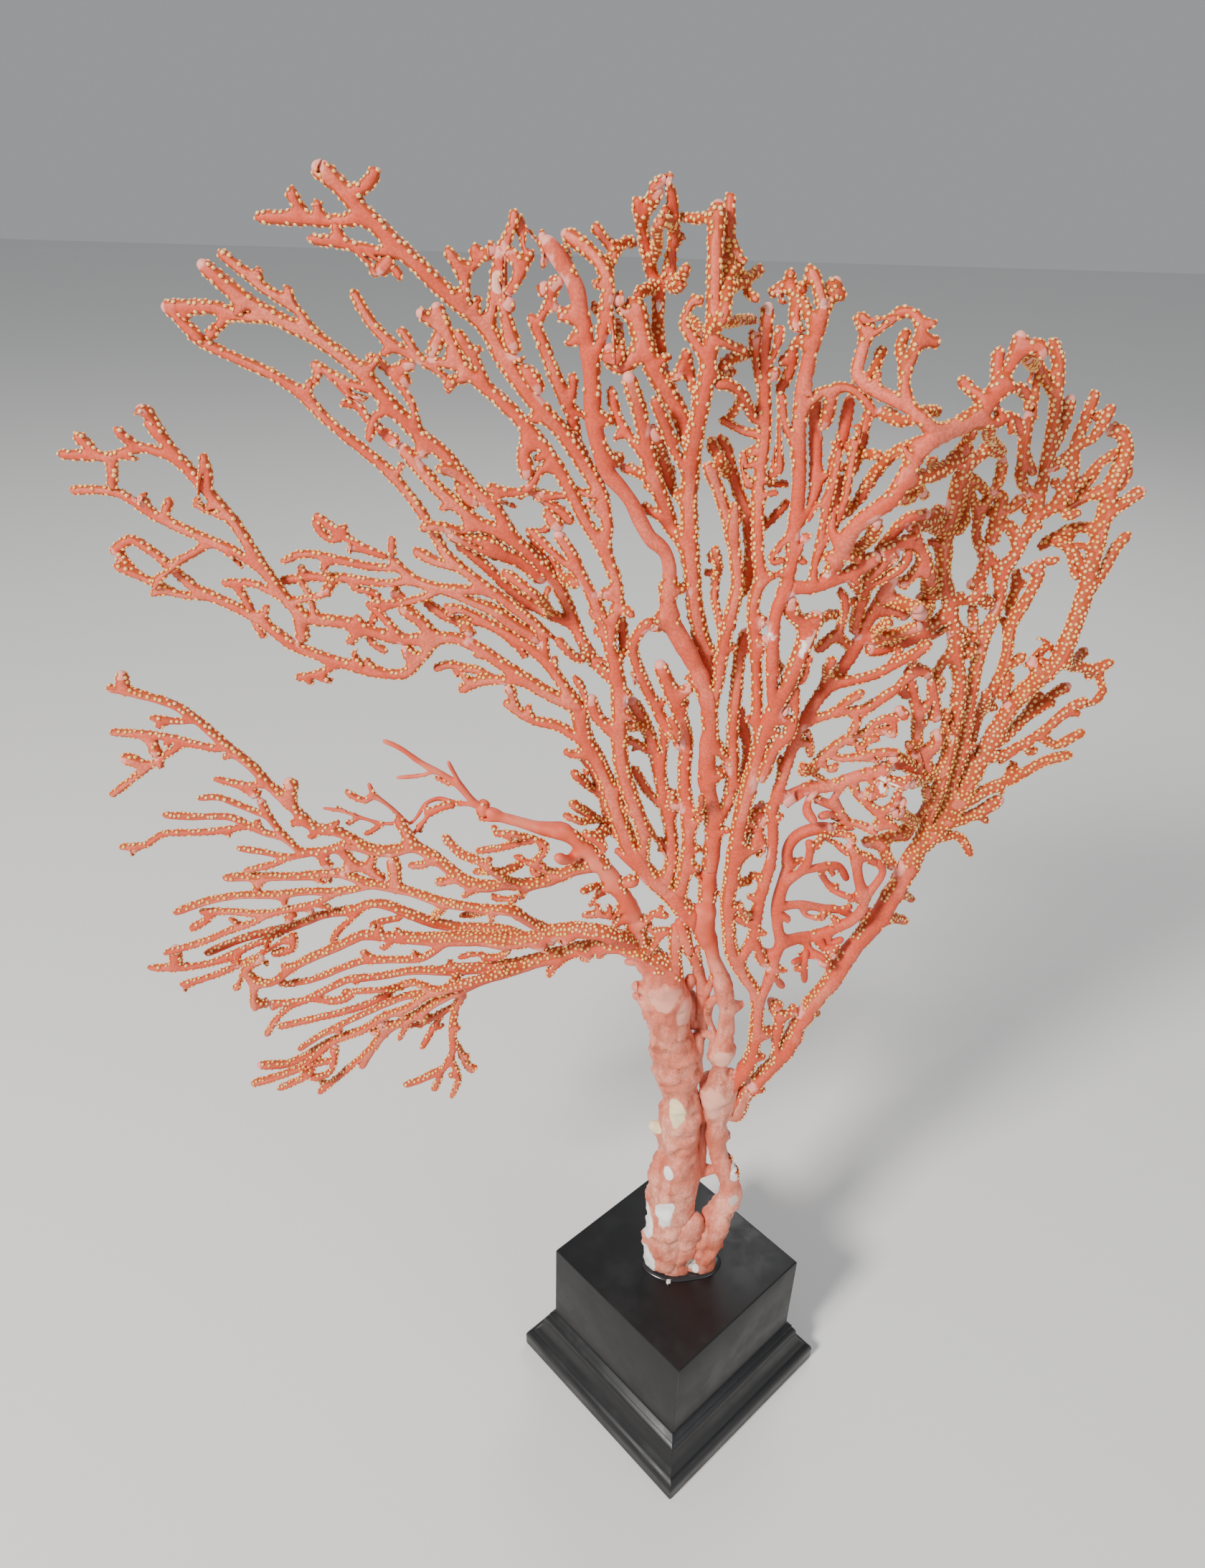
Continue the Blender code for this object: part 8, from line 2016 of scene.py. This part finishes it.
# how much of a coat of beads each point has, from 0 to 1
def coatOf(points, normals, strandOf, spotOf, radius, settings):
    names = np.array(order)[strandOf]
    front = -normals[:, 1]
    up = normals[:, 2]
    coat = stepBetween(*settings["frontFade"], np.abs(front))
    below = np.isin(names, settings["belowSmooth"])
    coat[below] = stepBetween(*settings["belowFade"], (up - settings["belowFront"] * front)[below])
    smooth = np.isin(names, settings["smooth"])
    coat[smooth] = stepBetween(*settings["smoothFade"], front[smooth])
    lobe = (points > settings["lobe"]).all(1)
    coat[lobe] = stepBetween(*settings["lobeFade"], front[lobe])
    low = points[:, 2] < settings["thickBelow"]
    coat[low] *= stepBetween(*settings["thickFade"], radius[low])
    left, right, top = settings["trunk"]
    trunk = (points[:, 0] > left) & (points[:, 0] < right) & (points[:, 2] < top)
    coat[trunk] *= stepBetween(*settings["trunkFade"], points[trunk, 2])
    coat *= stepBetween(*settings["endFade"], endOf(strandOf, spotOf, radius))
    coat[np.isin(names, settings["bare"])] = 0
    return coat


coat = coatOf(skinPoints, skinNormals, skinStrand, skinSpot, skinRadius, coatSettings)
skinEnd = endOf(skinStrand, skinSpot, skinRadius)


def isFree(spot, key, cells, gap):
    x, y, z = key
    sx, sy, sz = spot
    for cx in (x - 1, x, x + 1):
        for cy in (y - 1, y, y + 1):
            for cz in (z - 1, z, z + 1):
                for qx, qy, qz in cells.get((cx, cy, cz), ()):
                    if (qx - sx) ** 2 + (qy - sy) ** 2 + (qz - sz) ** 2 < gap * gap:
                        return False
    return True


# bead centres over the coated skin, no two closer than the gap
def throwBeads(points, quads, normals, coat, settings):
    rng = np.random.default_rng(settings["seed"])
    p = points[quads]
    area = 0.5 * np.linalg.norm(np.cross(p[:, 2] - p[:, 0], p[:, 3] - p[:, 1]), axis=1)
    weight = area * coat[quads].mean(1)
    face = rng.choice(len(quads), settings["tries"], p=weight / weight.sum())
    u, v = rng.random(settings["tries"]), rng.random(settings["tries"])
    share = np.stack(((1 - u) * (1 - v), u * (1 - v), u * v, (1 - u) * v), 1)[:, :, None]
    spots = (points[quads[face]] * share).sum(1)
    ways = (normals[quads[face]] * share).sum(1)
    ways /= np.linalg.norm(ways, axis=1)[:, None]
    wanted = (coat[quads[face]] * share[:, :, 0]).sum(1)
    least, more = settings["wanted"]
    ok = wanted > least + more * rng.random(len(spots))
    gap = settings["gap"]
    cells = {}
    kept = []
    keys = np.floor(spots / gap).astype(int)
    for i in np.nonzero(ok)[0]:
        key, spot = tuple(keys[i]), tuple(spots[i])
        if isFree(spot, key, cells, gap):
            cells.setdefault(key, []).append(spot)
            kept.append(i)
    kept = np.array(kept)
    return spots[kept], ways[kept], face[kept]


beadSpots, beadWays, beadFaces = throwBeads(skinPoints, skinQuads, skinNormals, coat, coatSettings)
print("beads:", len(beadSpots))


# points, faces and heights of low domes with five sides, joined as arrays; the heights also colour
# each dome, with painted shade at the rim and a painted highlight at the top
def beadMesh(spots, ways, settings, rng):
    count = len(spots)
    side = np.cross(ways, (0.31, 0.17, 0.93))
    side /= np.linalg.norm(side, axis=1)[:, None]
    other = np.cross(ways, side)
    size = rng.uniform(*settings["sizes"], count)[:, None]
    turn = rng.uniform(0, 2 * math.pi, count)
    rings = []
    for k in range(5):
        a = turn + k * 2 * math.pi / 5
        out = np.cos(a)[:, None] * side + np.sin(a)[:, None] * other
        lift = ways * settings["rimLift"] * size
        rings.append(spots + lift + out * settings["beadRadius"] * size)
    tall = rng.uniform(*settings["heights"], count)[:, None]
    top = spots + ways * settings["beadHeight"] * size * tall
    low = spots - ways * settings["rootDepth"]
    points = np.stack([*rings, top, low], 1).reshape(-1, 3)
    one = []
    for k in range(5):
        j = (k + 1) % 5
        one += [(k, j, 5), (j, k, 6)]
    faces = (np.array(one)[None] + 7 * np.arange(count)[:, None, None]).reshape(-1, 3)
    height = np.tile(np.array([settings["rimShade"]] * 5 + [1.0, 0.0]), count)
    return points, faces, height


# one piece of skin with its beads for each part of the fan

fanParts = {
    "trunk": "main_stem side_stem inner_stem left_limb centre_limb",
    "leftBundles": "left_bundle_top left_bundle_upper left_bundle_middle left_bundle_lower"
                   " left_bundle_bottom",
    "leftLimbs": "lower_left_limb far_left_limb left_lower_loop short_left_limb middle_left_limb",
    "upperLeft": "upper_left_limb_a upper_left_limb_b upper_left_limb_c upper_left_limb_d"
                 " upper_left_limb_e",
    "middle": "middle_limb_a middle_limb_b middle_limb_c middle_limb_d top_limb_a",
    "top": "top_limb_b top_limb_c top_limb_d top_limb_e",
    "centre": "upright_limb right_centre_limb top_limb_f right_net_lower right_net_upper",
    "upperRight": "upper_right_limb_a upper_right_limb_b",
    "farRight": "right_limb right_lobe_inner right_lobe_left right_lobe_middle right_lobe_outer"
                " right_lobe_top",
}


def makeFanPart(name, limbs, material):
    rng = np.random.default_rng(len(name) * 7 + ord(name[0]))
    numbers = [limbNames.index(limb) for limb in limbs]
    mine = np.isin(skinLimb, numbers)
    quads = skinQuads[mine]
    used, inverse = np.unique(quads, return_inverse=True)
    quads = inverse.reshape(-1, 4)
    points = skinPoints[used]
    beads = np.isin(skinLimb[beadFaces], numbers)
    beadPoints, beadTris, height = beadMesh(beadSpots[beads], beadWays[beads], coatSettings, rng)
    allPoints = np.vstack((points, beadPoints)) * mm
    data = bpy.data.meshes.new(name)
    data.vertices.add(len(allPoints))
    data.vertices.foreach_set("co", allPoints.ravel())
    corners = np.concatenate((quads.ravel(), (beadTris + len(points)).ravel()))
    data.loops.add(len(corners))
    data.loops.foreach_set("vertex_index", corners.astype(np.int32))
    starts = np.concatenate((4 * np.arange(len(quads)),
                             4 * len(quads) + 3 * np.arange(len(beadTris))))
    data.polygons.add(len(starts))
    data.polygons.foreach_set("loop_start", starts.astype(np.int32))
    data.update(calc_edges=True)
    data.validate()
    layers = {
        "bead": np.concatenate((np.zeros(len(points)), height)),
        "coat": np.concatenate((coat[used], np.ones(len(beadPoints)))),
        "broken": np.concatenate((stepBetween(*coatSettings["brokenFade"], skinEnd[used]),
                                  np.zeros(len(beadPoints)))),
    }
    for layer, values in layers.items():
        data.attributes.new(layer, "FLOAT", "POINT").data.foreach_set("value", values)
    shape = bmesh.new()
    shape.from_mesh(data)
    rims = [e for e in shape.edges if e.is_boundary]
    bmesh.ops.holes_fill(shape, edges=rims, sides=0)
    shape.to_mesh(data)
    shape.free()
    data.materials.append(material)
    piece = smoothPiece(name, data)
    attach(piece, "root")
    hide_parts(*limbs)
    print(name + ":", len(quads) * 2 + len(beadTris), "triangles,", int(beads.sum()), "beads")


coralPaint = paintCoral(coralLook)
stemPaint = paintStem(stemLook)
for partName, limbList in fanParts.items():
    makeFanPart(partName, limbList.split(), stemPaint if partName == "trunk" else coralPaint)


# the glue at the foot: a thin dull smear with one pale drip in front

glueSettings = {
    "top": 59.75,
    # centre, half sizes, height, unevenness of the rim, colour, roughness
    "spots": (
        ((1.6, -2.6), (14.7, 8.7), 0.9, 0.08, "2b2a2b", 0.22),
        ((-3.4, -11.4), (0.8, 1.3), 0.9, 0.15, "e9e6df", 0.4),
    ),
    "around": 64,
    "waves": (2, 7),
    # the drip's material reaches this many times its half sizes from its middle
    "dripReach": (1.5, 1.6),
    "rings": ((1.0, 0.0), (0.985, 0.35), (0.93, 0.7), (0.8, 0.92), (0.5, 1.0)),
    "seed": 3,
}


def makeGlue(settings):
    rng = np.random.default_rng(settings["seed"])
    shape = bmesh.new()
    materials = []
    for number, (centre, half, height, uneven, colour, rough) in enumerate(settings["spots"]):
        paint = Paint("glue" + str(number))
        materials.append(paint.finish(**{"Base Color": tone(colour), "Roughness": rough}))
        turns = np.arange(settings["around"]) * 2 * math.pi / settings["around"]
        rim = np.ones(len(turns))
        for wave in range(*settings["waves"]):
            rim += uneven / wave * np.sin(wave * turns + rng.uniform(0, 6.28))
        made = bmesh.ops.create_circle(shape, cap_ends=True, segments=len(turns), radius=mm)
        first = made["verts"]
        for vert, turn, wide in zip(first, turns, rim):
            vert.co = Vector(((centre[0] + half[0] * wide * math.cos(turn)) * mm,
                              (centre[1] + half[1] * wide * math.sin(turn)) * mm,
                              settings["top"] * mm))
        middle = Vector((*centre, settings["top"])) * mm
        edges = [e for e in shape.edges if e.verts[0] in first and e.verts[1] in first]
        before = settings["rings"][0]
        for share, rise in settings["rings"][1:]:
            verts, edges = ringUp(shape, edges)
            for vert in verts:
                flat = Vector((vert.co.x - middle.x, vert.co.y - middle.y, 0)) * (share / before[0])
                vert.co = middle + flat + Vector((0, 0, rise * height * mm))
            before = (share, rise)
        bmesh.ops.contextual_create(shape, geom=edges)
        reach = [h * far * mm for h, far in zip(half, settings["dripReach"])]
        for face in shape.faces if number else ():
            near = (face.calc_center_median() - middle).length < reach[0]
            if near and all((v.co - middle).length < reach[1] for v in face.verts):
                face.material_index = number
    bmesh.ops.recalc_face_normals(shape, faces=shape.faces)
    data = bpy.data.meshes.new("glue")
    shape.to_mesh(data)
    shape.free()
    for material in materials:
        data.materials.append(material)
    piece = smoothPiece("glue", data)
    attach(piece, "root")
    print("glue:", len(data.polygons), "faces")


makeGlue(glueSettings)
